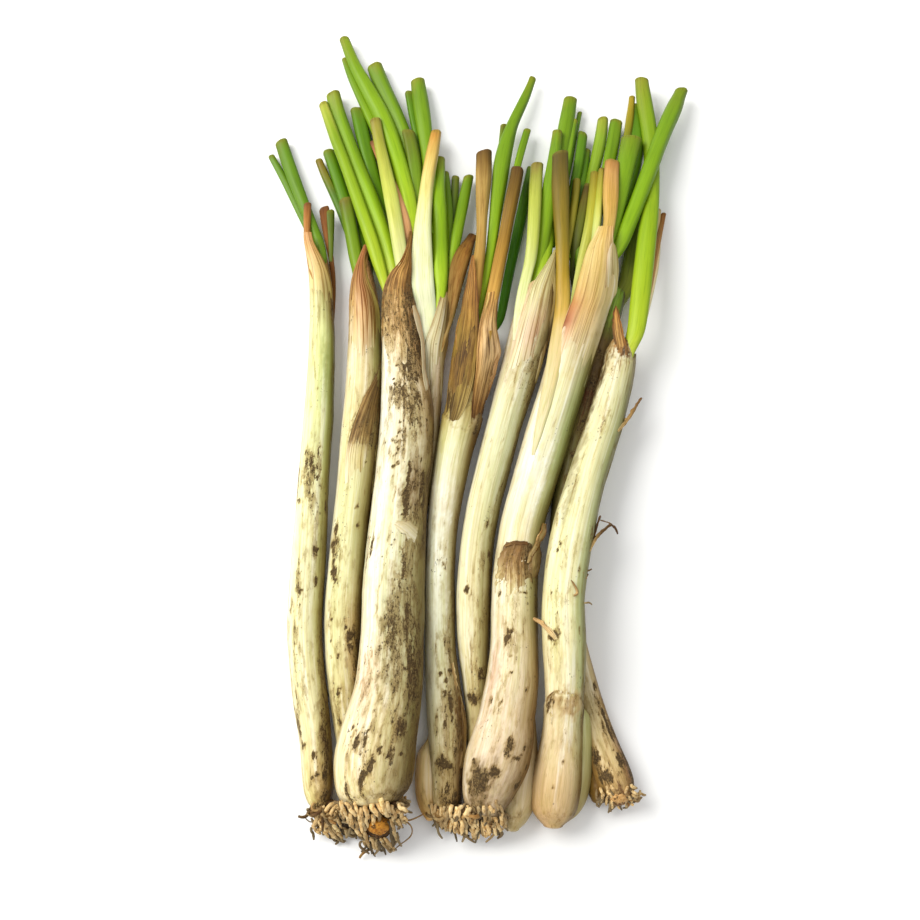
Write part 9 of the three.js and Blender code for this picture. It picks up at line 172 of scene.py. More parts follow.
    "rakkyo_6_roots": {'r': (5.2, 2.8), 'n': 110, 'len': 4.6, 'rad': 0.52, 'cols': [(224, 186, 124), (208, 166, 102), (232, 200, 142), (184, 140, 80), (150, 108, 56), (240, 212, 158)], 'curl': 0.6, 'plate': (84, 56, 24), 'spread': (0.3, 0.3), 'tone': (0.5, 0.9), 'c': [-1.27, -119.5, 8.28], 'strokes': [([[-8.66, -119.11, 11.38], [-8.73, -120.15, 11.55], [-8.78, -121.2, 10.76], [-9.5, -122.72, 8.95]], 0.52, 0.67), ([[-6.08, -120.1, 11.03], [-6.22, -121.31, 11.08], [-6.72, -122.27, 9.86], [-7.52, -122.95, 8.42]], 0.42, 0.48), ([[-6.63, -119.37, 10.53], [-6.26, -120.41, 10.58], [-6.76, -121.37, 9.36], [-8.04, -122.05, 7.92]], 0.52, 0.62), ([[-4.41, -118.51, 11.27], [-4.84, -119.22, 11.33], [-4.9, -120.3, 10.89], [-5.22, -121.48, 9.38]], 0.48, 0.62), ([[-5.77, -118.58, 10.77], [-6.06, -119.59, 10.83], [-6.12, -120.67, 10.39], [-6.33, -122.14, 8.88]], 0.45, 0.52), ([[-3.22, -118.04, 11.16], [-3.59, -119.4, 11.06], [-4.12, -120.54, 10.43], [-4.09, -120.94, 8.4]], 0.51, 0.68), ([[-3.75, -119.37, 10.66], [-3.86, -120.17, 10.56], [-4.39, -121.31, 9.93], [-3.74, -122.03, 7.9]], 0.47, 0.45), ([[-4.03, -119.04, 11.92], [-3.76, -119.93, 11.19], [-3.53, -120.97, 10.29], [-4.43, -120.49, 8.95]], 0.47, 0.48), ([[-3.89, -119.07, 11.42], [-4.54, -119.78, 10.69], [-4.31, -120.82, 9.79], [-2.61, -122.22, 8.45]], 0.46, 0.52), ([[-1.3, -119.19, 13.08], [-0.43, -120.64, 12.9], [-0.61, -121.52, 10.51], [-0.9, -122.08, 9.2]], 0.45, 0.36), ([[-0.96, -119.09, 12.58], [-0.56, -119.38, 12.4], [-0.74, -120.26, 10.01], [1.19, -121.6, 8.7]], 0.46, 0.38), ([[-0.58, -118.83, 13.73], [-0.69, -119.95, 13.11], [-0.32, -120.79, 10.02], [-0.26, -120.38, 8.32]], 0.46, 0.41), ([[-0.52, -118.62, 13.23], [0.01, -119.6, 12.61], [0.38, -120.44, 9.52], [-0.39, -120.64, 7.82]], 0.44, 0.39), ([[1.9, -119.29, 13.68], [1.73, -120.75, 12.85], [1.77, -121.8, 10.21], [1.65, -123.19, 8.72]], 0.53, 0.66), ([[1.54, -119.17, 13.18], [2.34, -119.88, 12.35], [2.38, -120.93, 9.71], [2.05, -122.33, 8.22]], 0.42, 0.42), ([[2.63, -120.4, 12.92], [3.2, -121.2, 10.13], [3.5, -122.3, 9.41], [1.14, -122.2, 7.84]], 0.49, 0.57), ([[3.19, -119.92, 12.42], [3.57, -120.28, 9.63], [3.87, -121.38, 8.91], [2.52, -123.76, 7.34]], 0.49, 0.68), ([[4.46, -121.29, 11.03], [5.46, -122.14, 10.15], [5.61, -123.17, 9.02], [5.05, -124.59, 6.96]], 0.42, 0.69), ([[5.34, -120.68, 10.53], [5.8, -121.7, 9.65], [5.95, -122.73, 8.52], [5.36, -123.64, 6.46]], 0.4, 0.65), ([[-6.82, -121.55, 9.24], [-6.85, -122.38, 8.39], [-7.3, -123.45, 7.41], [-7.87, -125.24, 5.15]], 0.38, 0.39), ([[-7.3, -121.04, 8.74], [-6.84, -122.36, 7.89], [-7.29, -123.43, 6.91], [-8.59, -123.34, 4.65]], 0.41, 0.54), ([[-6.28, -121.75, 8.82], [-6.91, -123.62, 8.66], [-7.05, -124.8, 6.89], [-6.91, -124.84, 4.96]], 0.47, 0.72), ([[-6.95, -121.66, 8.32], [-7.28, -123.13, 8.16], [-7.42, -124.31, 6.39], [-8.35, -124.52, 4.46]], 0.51, 0.43), ([[-6.45, -121.9, 9.07], [-6.06, -122.92, 8.44], [-6.19, -124.1, 6.83], [-6.16, -125, 4.63]], 0.45, 0.75), ([[-4.37, -122.14, 8.57], [-4.79, -123.17, 7.94], [-4.92, -124.35, 6.33], [-4.33, -126.03, 4.13]], 0.44, 0.61), ([[-4.43, -123.43, 8.03], [-4.68, -124.18, 7.38], [-4.35, -125.46, 5.42], [-5.1, -127.35, 3.47]], 0.42, 0.63), ([[-3.39, -122.04, 7.53], [-4.29, -123.17, 6.88], [-3.96, -124.45, 4.92], [-4.02, -125.76, 2.97]], 0.51, 0.42), ([[-3.58, -122.34, 7.84], [-3.01, -123.57, 6.92], [-2.89, -124.92, 5.39], [-3.03, -124.39, 2.88]], 0.41, 0.46), ([[-2.52, -122.78, 7.34], [-1.89, -125.21, 6.42], [-1.77, -126.56, 4.89], [-2.51, -126.64, 2.38]], 0.51, 0.73), ([[-1.99, -122.09, 7.99], [-1.9, -122.78, 6.94], [-1.72, -124.21, 5.16], [-2.44, -124.65, 2.72]], 0.4, 0.63), ([[-1.72, -122.69, 7.49], [-1.28, -124.14, 6.44], [-1.1, -125.57, 4.66], [-1.54, -126.71, 2.22]], 0.39, 0.75), ([[-0.07, -122.71, 8.31], [-0.09, -124.35, 7.52], [0.03, -125.72, 5.84], [1.35, -125.52, 3.2]], 0.41, 0.74), ([[-1.56, -122.47, 7.81], [-0.26, -123.48, 7.02], [-0.14, -124.85, 5.34], [-1.23, -125.47, 2.7]], 0.42, 0.45), ([[1.47, -121.99, 8.82], [1.13, -123.18, 8.02], [1.57, -124.42, 6.57], [2.69, -125.03, 4.46]], 0.46, 0.72), ([[0.62, -121.96, 8.32], [0.81, -122.2, 7.52], [1.25, -123.44, 6.07], [1.33, -125.51, 3.96]], 0.4, 0.76), ([[2.69, -122.77, 7.87], [3.26, -122.94, 7.74], [3.54, -123.91, 6.24], [3.99, -123.73, 4.3]], 0.42, 0.44), ([[1.17, -122.11, 7.37], [2.27, -122.46, 7.24], [2.55, -123.43, 5.74], [3.83, -125.77, 3.8]], 0.44, 0.46), ([[3.96, -123.13, 7.93], [3.47, -123.86, 7.31], [3.97, -124.6, 6.61], [4.33, -125.9, 4.35]], 0.46, 0.45), ([[4.15, -123.98, 7.43], [4.56, -124.74, 6.81], [5.06, -125.48, 6.11], [4.01, -126.5, 3.85]], 0.45, 0.53), ([[-8.2, -119.91, 10.26], [-8.19, -120.72, 9.35], [-8.08, -121.8, 8.75], [-8.4, -121.94, 7.4]], 0.46, 0.53), ([[-7.36, -120.29, 9.76], [-7.7, -120.84, 8.85], [-7.59, -121.92, 8.25], [-7.74, -122.42, 6.9]], 0.45, 0.58), ([[-7.41, -121.1, 10.39], [-7.76, -121.19, 10.02], [-7.09, -121.9, 9.7], [-5.24, -123.35, 8.15]], 0.33, 0.53), ([[-7.18, -120.11, 9.89], [-7.12, -120.4, 9.52], [-6.45, -121.11, 9.2], [-4.63, -122.32, 7.65]], 0.42, 0.67), ([[-5.26, -121.45, 10.03], [-4.27, -122.76, 9.98], [-3.96, -123.79, 8.85], [-4.35, -124.44, 7.47]], 0.42, 0.65), ([[-4.59, -120.45, 9.53], [-4.13, -121.03, 9.48], [-3.82, -122.06, 8.35], [-2.02, -123.23, 6.97]], 0.38, 0.49), ([[-1.51, -120.69, 10.61], [-2.26, -121.62, 9.99], [-2.39, -122.63, 9.16], [-2.29, -122.44, 7.89]], 0.4, 0.6), ([[-2.44, -120.81, 10.11], [-2.93, -121.89, 9.49], [-3.06, -122.9, 8.66], [-4.84, -122.92, 7.39]], 0.36, 0.58), ([[-0.54, -120.58, 10.78], [0.61, -121.59, 10.32], [1, -122.66, 9.64], [2.39, -123.55, 7.7]], 0.37, 0.48), ([[-1.33, -120.82, 10.28], [-0.35, -121.39, 9.82], [0.04, -122.46, 9.14], [1.16, -123.24, 7.2]], 0.32, 0.39), ([[1.11, -120.2, 10.31], [0.83, -122.02, 10.18], [0.62, -123.14, 8.92], [-0.49, -123.56, 7.18]], 0.36, 0.43), ([[0.08, -120.29, 9.81], [-1.37, -121.68, 9.68], [-1.58, -122.8, 8.42], [-0.93, -122.8, 6.68]], 0.43, 0.49), ([[-5.1, -124.37, 6.76], [-5.08, -125.43, 6.21], [-4.45, -126.06, 5.12], [-3.29, -125.85, 4.05]], 0.41, 0.48), ([[-6.49, -123.54, 6.26], [-6.1, -124.28, 5.71], [-5.47, -124.91, 4.62], [-3.76, -126.21, 3.55]], 0.4, 0.62), ([[-3.58, -123.51, 6.56], [-2.4, -124.71, 6.22], [-1.83, -125.39, 5.24], [-1.56, -126.45, 3.65]], 0.43, 0.48), ([[-4.35, -125.47, 6.06], [-4.24, -125.77, 5.72], [-3.67, -126.45, 4.74], [-1.89, -127.51, 3.15]], 0.36, 0.6), ([[-0.55, -124.25, 6.74], [-0.89, -125.31, 6.86], [-1.34, -126.01, 5.71], [-1.74, -127.59, 4.19]], 0.4, 0.4), ([[-0.57, -124.06, 6.24], [-0.53, -124.14, 6.36], [-0.98, -124.84, 5.21], [-0.97, -125.95, 3.69]], 0.4, 0.57), ([[2.95, -124.43, 6.3], [2.87, -125.06, 6.3], [2.72, -125.78, 5.37], [0.9, -127.35, 3.9]], 0.34, 0.68), ([[2.67, -124.39, 5.8], [1.65, -124.64, 5.8], [1.5, -125.36, 4.87], [1.13, -126.03, 3.4]], 0.36, 0.69), ([[-6.85, -123.54, 7.24], [-6.02, -124.09, 6.84], [-5.61, -124.79, 6.06], [-6.2, -125.37, 4.63]], 0.33, 0.41), ([[-8, -124.05, 6.74], [-7.2, -125.12, 6.34], [-6.79, -125.82, 5.56], [-6.48, -127.24, 4.13]], 0.36, 0.37), ([[2.88, -119.4, 12.95], [3.82, -120.52, 11.46], [4.05, -121.52, 9.75], [4.65, -123.05, 8.64]], 0.4, 0.46), ([[3.73, -120.37, 12.45], [4.79, -121.45, 10.96], [5.02, -122.45, 9.25], [5.2, -121.28, 8.14]], 0.41, 0.55), ([[4.92, -121.82, 8.71], [5.08, -122.94, 8.36], [5.54, -123.68, 7.78], [6.42, -124.68, 6.36]], 0.41, 0.52), ([[5.23, -120.63, 8.21], [6.32, -120.94, 7.86], [6.78, -121.68, 7.28], [5.47, -123.17, 5.86]], 0.38, 0.61), ([[3.47, -117.21, 14.34], [3.73, -117.55, 13.72], [4.04, -118.32, 13.06], [3.44, -120.07, 12.5]], 0.32, 0.49), ([[2.66, -116.87, 13.84], [2.51, -118.39, 13.22], [2.82, -119.16, 12.56], [3.15, -117.53, 12]], 0.29, 0.41), ([[-7.77, -118.71, 11.93], [-8.1, -119.71, 12.1], [-8.15, -120.76, 11.31], [-8.11, -121.75, 9.5]], 0.58, 0.95), ([[-6.53, -119.16, 11.58], [-6.46, -120.26, 11.63], [-6.96, -121.22, 10.41], [-7.28, -122.18, 8.97]], 0.59, 1), ([[-5.25, -118.7, 11.82], [-5.78, -119.67, 11.88], [-5.84, -120.75, 11.44], [-5.95, -121.75, 9.93]], 0.61, 0.9), ([[-3.84, -118.72, 11.71], [-3.91, -119.94, 11.61], [-4.44, -121.08, 10.98], [-4.69, -122.19, 8.95]], 0.59, 1), ([[-3.03, -119.21, 12.47], [-3.35, -120.19, 11.74], [-3.12, -121.23, 10.84], [-3.17, -122.21, 9.5]], 0.61, 0.85), ([[-1.31, -119.03, 13.63], [-0.96, -119.96, 13.45], [-1.14, -120.84, 11.06], [-1.02, -121.74, 9.75]], 0.55, 0.7), ([[0.21, -119.06, 14.28], [0.16, -119.98, 13.66], [0.53, -120.82, 10.57], [0.61, -121.71, 8.87]], 0.59, 0.9), ([[1.49, -119.05, 14.23], [1.96, -120.08, 13.4], [2, -121.13, 10.76], [2.17, -122.19, 9.27]], 0.61, 1), ([[2.67, -119.98, 13.47], [2.79, -120.99, 10.68], [3.09, -122.09, 9.96], [3.31, -123.14, 8.39]], 0.62, 1), ([[4.44, -120.59, 11.58], [4.56, -121.59, 10.7], [4.71, -122.62, 9.57], [4.9, -123.59, 7.51]], 0.59, 0.95), ([[-7.78, -121.49, 9.79], [-7.61, -122.62, 8.94], [-8.06, -123.69, 7.96], [-8.24, -124.75, 5.7]], 0.59, 0.9), ([[-6.55, -121.96, 9.37], [-6.73, -123.13, 9.21], [-6.87, -124.31, 7.44], [-6.96, -125.46, 5.51]], 0.59, 0.95), ([[-5.26, -122.21, 9.62], [-5.04, -123.38, 8.99], [-5.17, -124.56, 7.38], [-5.27, -125.7, 5.18]], 0.62, 1), ([[-4.03, -122.41, 8.58], [-4.46, -123.64, 7.93], [-4.13, -124.92, 5.97], [-4.35, -126.14, 4.02]], 0.59, 1), ([[-2.63, -122.41, 8.39], [-2.55, -123.73, 7.47], [-2.43, -125.08, 5.94], [-2.52, -126.39, 3.43]], 0.62, 0.95), ([[-1.38, -122.17, 8.54], [-1.31, -123.58, 7.49], [-1.13, -125.01, 5.71], [-0.92, -126.39, 3.27]], 0.59, 1), ([[-0.07, -122.17, 8.86], [0.23, -123.49, 8.07], [0.35, -124.86, 6.39], [0.79, -126.13, 3.75]], 0.62, 1), ([[1.07, -121.97, 9.37], [1.13, -123.24, 8.57], [1.57, -124.48, 7.12], [1.94, -125.69, 5.01]], 0.59, 1.05), ([[2.37, -122.89, 8.42], [2.9, -123.77, 8.29], [3.18, -124.74, 6.79], [3.57, -125.65, 4.85]], 0.59, 0.95), ([[3.92, -122.88, 8.48], [4.09, -123.72, 7.86], [4.59, -124.46, 7.16], [4.76, -125.29, 4.9]], 0.56, 0.9), ([[-8.66, -120.11, 10.81], [-9.12, -121.06, 9.9], [-9.01, -122.14, 9.3], [-9.24, -123.12, 7.95]], 0.52, 0.85), ([[-6.94, -120.33, 10.94], [-6.66, -121.23, 10.57], [-5.99, -121.94, 10.25], [-5.41, -122.63, 8.7]], 0.49, 0.9), ([[-4.56, -120.86, 10.58], [-3.72, -121.64, 10.53], [-3.41, -122.67, 9.4], [-2.91, -123.59, 8.02]], 0.49, 0.85), ([[-2.15, -120.37, 11.16], [-2.81, -121.19, 10.54], [-2.94, -122.2, 9.71], [-3.17, -123.14, 8.44]], 0.49, 0.8), ([[-0.5, -120.39, 11.33], [0.28, -121.21, 10.87], [0.67, -122.28, 10.19], [1.4, -123.1, 8.25]], 0.49, 0.9), ([[1.32, -120.34, 10.86], [0.77, -121.39, 10.73], [0.56, -122.51, 9.47], [0.31, -123.58, 7.73]], 0.49, 0.9), ([[-5.89, -123.53, 7.31], [-5.68, -124.42, 6.76], [-5.05, -125.05, 5.67], [-4.34, -125.62, 4.6]], 0.5, 0.9), ([[-3.2, -124.07, 7.11], [-2.69, -124.77, 6.77], [-2.12, -125.45, 5.79], [-1.59, -126.13, 4.2]], 0.5, 0.9), ([[-0.98, -124.03, 7.29], [-1.43, -124.72, 7.41], [-1.88, -125.42, 6.26], [-2.16, -126.16, 4.74]], 0.5, 0.85), ([[1.97, -124.09, 6.85], [1.22, -124.53, 6.85], [1.07, -125.25, 5.92], [0.97, -125.95, 4.45]], 0.5, 0.95), ([[-7.43, -123.56, 7.79], [-6.8, -124.09, 7.39], [-6.39, -124.79, 6.61], [-5.86, -125.37, 5.18]], 0.5, 0.85), ([[4.27, -119.02, 13.5], [4.83, -119.86, 12.01], [5.06, -120.86, 10.3], [5.5, -121.77, 9.19]], 0.52, 0.8), ([[4.9, -121.79, 9.26], [5.2, -122.55, 8.91], [5.66, -123.29, 8.33], [5.89, -124.06, 6.91]], 0.49, 0.85), ([[3.25, -117.65, 14.89], [3.49, -118.41, 14.27], [3.8, -119.18, 13.61], [3.87, -119.99, 13.05]], 0.43, 0.8)], 'root_mass_and_shade': [(-1.62, -122.05, 4.6, 6.66, 2.46, 3.07, (92, 64, 28))]},
    "rakkyo_8_roots": {'r': (3.8, 2.2), 'n': 60, 'len': 2.4, 'rad': 0.46, 'cols': [(224, 186, 124), (208, 166, 102), (232, 200, 142), (184, 140, 80), (150, 108, 56), (240, 212, 158)], 'curl': 0.6, 'plate': (204, 164, 108), 'spread': (0.5, 0.3), 'tone': (0.7, 1.05), 'c': [36.36, -115.97, 4.14], 'strokes': [([[29.33, -114.69, 7.19], [29.07, -116.42, 7.61], [29.46, -117.02, 7.3], [30.24, -115.68, 6.11]], 0.41, 0.6), ([[30.85, -116.65, 6.53], [29.6, -117.74, 6.6], [29.56, -118.39, 5.41], [29.87, -118.54, 4.12]], 0.44, 0.57), ([[31.52, -116.1, 6.03], [31.34, -116.28, 6.1], [31.3, -116.93, 4.91], [30.03, -118.88, 3.62]], 0.44, 0.56), ([[32, -114.62, 8.05], [32.47, -115.23, 7.93], [32.57, -116.01, 7.7], [32.06, -116.86, 7.44]], 0.36, 0.57), ([[31.55, -113.89, 7.55], [31.81, -114.62, 7.43], [31.91, -115.4, 7.2], [32.11, -115.58, 6.94]], 0.44, 0.63), ([[33.16, -116.81, 6.91], [32.77, -117.84, 5.74], [32.73, -118.57, 5], [33.29, -119.94, 3.17]], 0.38, 0.62), ([[31.93, -116.23, 6.41], [32.85, -117.32, 5.24], [32.81, -118.05, 4.5], [31.23, -116.97, 2.67]], 0.34, 0.61), ([[34.01, -117.33, 6.72], [33.94, -117.98, 5.67], [34.31, -118.6, 3.96], [32.58, -120.16, 2.8]], 0.33, 0.52), ([[33.01, -117.57, 6.22], [32.74, -117.79, 5.17], [33.11, -118.41, 3.46], [32.67, -120.25, 2.3]], 0.35, 0.66), ([[34.64, -117.15, 6.46], [35.25, -117.56, 4.32], [35.54, -118.09, 3.38], [35.72, -118.55, 2.58]], 0.32, 0.7), ([[35.35, -117.66, 5.96], [35.71, -118.83, 3.82], [36, -119.36, 2.88], [35.77, -118.75, 2.08]], 0.31, 0.46), ([[35.87, -116.95, 6.87], [36.66, -116.78, 4.79], [36.89, -117.33, 3.55], [37.76, -117.92, 2.02]], 0.39, 0.56), ([[36.62, -117.61, 6.37], [37.28, -118.4, 4.29], [37.51, -118.95, 3.05], [36.55, -119.02, 1.52]], 0.33, 0.64), ([[37.77, -116.38, 6.83], [37.37, -117.34, 6.26], [37.83, -117.74, 5.45], [39.25, -117.73, 4.44]], 0.34, 0.47), ([[37.57, -115.96, 6.33], [37.97, -116.48, 5.76], [38.43, -116.88, 4.95], [37.86, -118.34, 3.94]], 0.39, 0.63), ([[40.38, -114.86, 6.85], [40.43, -115.57, 7.11], [40.86, -115.86, 7.35], [41.79, -116.04, 6.7]], 0.43, 0.68), ([[37.49, -115.86, 6.35], [37.68, -116.2, 6.61], [38.11, -116.49, 6.85], [39.47, -116.03, 6.2]], 0.42, 0.57), ([[37.33, -113.38, 7.79], [37.98, -113.89, 8.24], [38.54, -113.95, 8.1], [39.35, -114.07, 7.02]], 0.33, 0.55), ([[37.85, -113.94, 7.29], [37.6, -114.77, 7.74], [38.16, -114.83, 7.6], [39.7, -114.27, 6.52]], 0.41, 0.58), ([[32.5, -114.29, 8.61], [32.95, -115.66, 8.61], [33.33, -116.03, 8.66], [33.38, -116.18, 8.58]], 0.33, 0.48), ([[33.75, -113.76, 8.11], [33.86, -114.15, 8.11], [34.24, -114.52, 8.16], [34.22, -112.79, 8.08]], 0.37, 0.5), ([[36.74, -113.63, 7.99], [36.37, -114.3, 8.23], [36.09, -114.88, 8.16], [36.34, -114.34, 7.99]], 0.37, 0.44), ([[36.49, -114.5, 7.49], [35.58, -115.45, 7.73], [35.3, -116.03, 7.66], [37.1, -116.82, 7.49]], 0.32, 0.4), ([[38.8, -115.91, 7.01], [39.28, -117.22, 7.14], [39.8, -117.4, 6.83], [41.05, -116.52, 5.73]], 0.35, 0.56), ([[38.13, -115.98, 6.51], [38.22, -116.62, 6.64], [38.74, -116.8, 6.33], [39.19, -116.43, 5.23]], 0.32, 0.45), ([[32.61, -114.87, 8.05], [33.13, -115.38, 7.7], [33.74, -115.81, 7.79], [32.88, -116.94, 7.09]], 0.31, 0.62), ([[32.32, -114.66, 7.55], [31.89, -115.23, 7.2], [32.5, -115.66, 7.29], [33.51, -118.05, 6.59]], 0.31, 0.59), ([[30.29, -114.39, 7.74], [30.3, -115.12, 8.16], [30.69, -115.72, 7.85], [31.27, -116.23, 6.66]], 0.5, 0.9), ([[31.06, -115.78, 7.08], [30.65, -116.39, 7.15], [30.61, -117.04, 5.96], [30.51, -117.63, 4.67]], 0.5, 0.85), ([[31.49, -113.94, 8.6], [31.88, -114.62, 8.48], [31.98, -115.4, 8.25], [32.28, -116.09, 7.99]], 0.5, 0.9), ([[32.19, -116.34, 7.46], [31.88, -116.95, 6.29], [31.84, -117.68, 5.55], [31.95, -118.35, 3.72]], 0.5, 0.9), ([[33.26, -117.27, 7.27], [33.1, -117.85, 6.22], [33.47, -118.47, 4.51], [33.52, -119.07, 3.35]], 0.47, 1), ([[34.53, -117.77, 7.01], [34.84, -118.24, 4.87], [35.13, -118.77, 3.93], [35.49, -119.28, 3.13]], 0.47, 1), ([[36.07, -117.3, 7.42], [36.76, -117.7, 5.34], [36.99, -118.25, 4.1], [37.25, -118.78, 2.57]], 0.47, 0.95), ([[37.44, -116.31, 7.38], [37.67, -116.81, 6.81], [38.13, -117.21, 6], [38.56, -117.63, 4.99]], 0.5, 0.9), ([[38.23, -114.9, 7.4], [38.55, -115.29, 7.66], [38.98, -115.58, 7.9], [39.49, -115.86, 7.25]], 0.5, 0.9), ([[38.03, -113.56, 8.34], [38.15, -114.16, 8.79], [38.71, -114.22, 8.65], [39.3, -114.37, 7.57]], 0.47, 0.85), ([[32.7, -113.75, 9.16], [32.93, -114.22, 9.16], [33.31, -114.59, 9.21], [33.72, -114.93, 9.13]], 0.47, 0.95), ([[37.08, -113.9, 8.54], [36.79, -114.49, 8.78], [36.51, -115.07, 8.71], [36.32, -115.65, 8.54]], 0.44, 0.9), ([[38.43, -115.86, 7.56], [38.59, -116.32, 7.69], [39.11, -116.5, 7.38], [39.59, -116.78, 6.28]], 0.44, 0.85), ([[32.17, -114.94, 8.6], [32.11, -115.62, 8.25], [32.72, -116.05, 8.34], [32.9, -116.63, 7.64]], 0.44, 0.95)], 'disc': (-1.69, -0.57, 2.86, 2.3, 1.43, 1.79)},
}
# loose dry skins
SHEETS = {
    "rakkyo_4_dry_flap": {'node': True, 'sheets': [{'bend': 0.9, 'crinkle': 0.5, 'stops': [(0, (170, 130, 80)), (0.4, (216, 180, 134)), (0.8, (206, 166, 110)), (1, (180, 140, 80))], 'dirt': 0.15, 'up': (0.99, -0.12, 0.11), 'rows': [[1.83, -6.15, 6.53, 0.58], [3.02, -3.06, 6.7, 1.16], [4.2, 0.45, 7.4, 1.46], [5.25, 4.61, 8.09, 1.32], [5.71, 7.98, 8.47, 1], [5.16, 11.15, 8.62, 0.94], [4.25, 13.76, 10.59, 0.88], [4.01, 18.48, 10.3, 0.71], [4.4, 23.27, 8.77, 0.48]]}]},
    "rakkyo_6_torn_skin": {'node': True, 'sheets': [{'bend': 1.3, 'crinkle': 0.7, 'stops': [(0, (206, 176, 124)), (0.5, (226, 204, 156)), (1, (206, 170, 116))], 'dirt': 0.2, 'up': (0.93, -0.17, 0.33), 'rows': [[15.06, -50.99, 10.04, 0.55], [15.98, -48.84, 9.46, 0.82], [16.96, -46.45, 8.1, 0.88], [17.75, -44.23, 7.45, 0.56]]}, {'bend': 1, 'crinkle': 0.9, 'stops': [(0, (150, 118, 70)), (0.5, (118, 88, 48)), (1, (140, 106, 62))], 'dirt': 0.6, 'up': (-0.12, 0.07, 0.99), 'rows': [[6.56, -51.15, 10.63, 0.55], [8.44, -50.59, 11.65, 0.71], [10.59, -50.56, 12.05, 0.76], [12.8, -50.53, 11.44, 0.6]]}]},
    "rakkyo_7_dry_curl": {'node': True, 'sheets': [{'bend': 1.5, 'crinkle': 0.7, 'stops': [(0, (216, 196, 140)), (0.5, (186, 156, 100)), (1, (110, 76, 36))], 'dirt': 0.3, 'up': (0.94, -0.28, 0.19), 'rows': [[38.94, -17.99, 11.26, 0.68], [41.63, -14.81, 9.4, 1.14], [43.76, -11.79, 9.56, 1.03], [45.37, -8.95, 9.44, 0.75], [46.67, -6.69, 9.27, 0.35]]}]},
    "rakkyo_7_skin_flap": {'node': True, 'sheets': [{'bend': 1.2, 'crinkle': 0.8, 'stops': [(0, (236, 222, 176)), (0.5, (236, 212, 166)), (1, (222, 190, 140))], 'dirt': 0.15, 'up': (-0.9, -0.02, 0.44), 'rows': [[19.03, -78.38, 18.37, 0.57], [17.32, -76.22, 17.94, 1.04], [16.13, -74.49, 17.14, 0.88], [15.02, -72.97, 14.88, 0.68], [13.48, -72, 14.66, 0.37]]}]},
    "rakkyo_7_torn_strands": {'node': False, 'sheets': [{'bend': 1.6, 'crinkle': 0.8, 'stops': [(0, (226, 206, 156)), (0.25, (206, 180, 124)), (0.5, (110, 84, 40)), (1, (90, 64, 30))], 'dirt': 0.5, 'up': (0.97, -0.22, 0.14), 'rows': [[29.23, -53.85, 14.34, 0.35], [30.57, -51.01, 13.13, 0.54], [32.02, -49.02, 13.05, 0.65], [33.45, -47.58, 12.97, 0.76], [34.89, -46.13, 12.86, 0.6], [36.16, -45.52, 12.73, 0.38], [36.8, -46.64, 12.66, 0.27], [37.25, -48.36, 12.74, 0.16]]}, {'bend': 1.4, 'crinkle': 0.7, 'stops': [(0, (120, 90, 44)), (0.5, (90, 62, 28)), (1, (120, 90, 50))], 'dirt': 0.6, 'up': (0.97, -0.24, 0.09), 'rows': [[30.71, -49.92, 12.26, 0.43], [31.2, -47.7, 12.41, 0.71], [31.95, -45.48, 12.59, 0.66], [32.99, -42.94, 11.72, 0.27]]}, {'bend': 1.2, 'crinkle': 0.4, 'stops': [(0, (120, 90, 50)), (1, (120, 90, 50))], 'up': (0.96, -0.25, 0.09), 'rows': [[32.58, -44.27, 12.36, 0.19], [34.19, -44.73, 12.46, 0.22], [35.77, -45.49, 12.63, 0.22]]}, {'bend': 1.2, 'crinkle': 0.4, 'stops': [(0, (200, 180, 130)), (1, (110, 84, 44))], 'up': (0.94, -0.13, 0.31), 'rows': [[26.87, -60.21, 16.6, 0.21], [28.55, -58.97, 13.84, 0.29], [29.62, -58.59, 13.99, 0.27]]}, {'bend': 1.2, 'crinkle': 0.4, 'stops': [(0, (214, 200, 150)), (1, (130, 104, 60))], 'up': (0.98, -0.07, 0.2), 'rows': [[26.96, -68.02, 15.39, 0.21], [28.09, -68.01, 14.76, 0.26], [28.75, -67.38, 14.93, 0.24], [29.11, -68.44, 14.89, 0.16]]}, {'bend': 1.2, 'crinkle': 0.4, 'stops': [(0, (190, 160, 110)), (1, (110, 84, 44))], 'up': (0.97, -0.13, 0.2), 'rows': [[27.77, -61.48, 15.14, 0.27], [28.37, -60.32, 13.76, 0.37], [28.66, -59.76, 13.72, 0.21]]}, {'bend': 1.2, 'crinkle': 0.6, 'stops': [(0, (150, 120, 70)), (1, (236, 214, 166))], 'up': (0.43, 0.01, 0.9), 'rows': [[23.42, -62.6, 18.58, 0.18], [24.17, -63.67, 18.57, 0.24], [24.96, -64.65, 18.18, 0.31], [25.49, -66.12, 17.62, 0.37], [24.06, -66.74, 18.56, 0.31]]}]},
}
FLOOR_A = (246, 246, 245)
FLOOR_B = (249, 249, 248)
WORLD_COL = (1.0, 1.0, 1.0)
WORLD_STRENGTH = 0.66
EXPOSURE = 0.0
LIGHTS = [('key', (-0.66, 0.28, 0.72), (0, 0, 0), 0.8, 12.0, (1.0, 0.995, 0.965)), ('fill', (0.5, -0.5, 0.9), (0, 0, 0), 0.8, 1.5, (1.0, 1.0, 1.0))]
CAM_LOC = (-0.0057164, -0.1317578, 0.3007016)

# ------------------------------------------------------------------ small helpers
def lin(c):
    c = np.asarray(c, float) / 255.0
    return np.where(c <= 0.04045, c / 12.92, ((c + 0.055) / 1.055) ** 2.4)


def smooth(e0, e1, x):
    t = np.clip((x - e0) / (e1 - e0), 0, 1)
    return t * t * (3 - 2 * t)


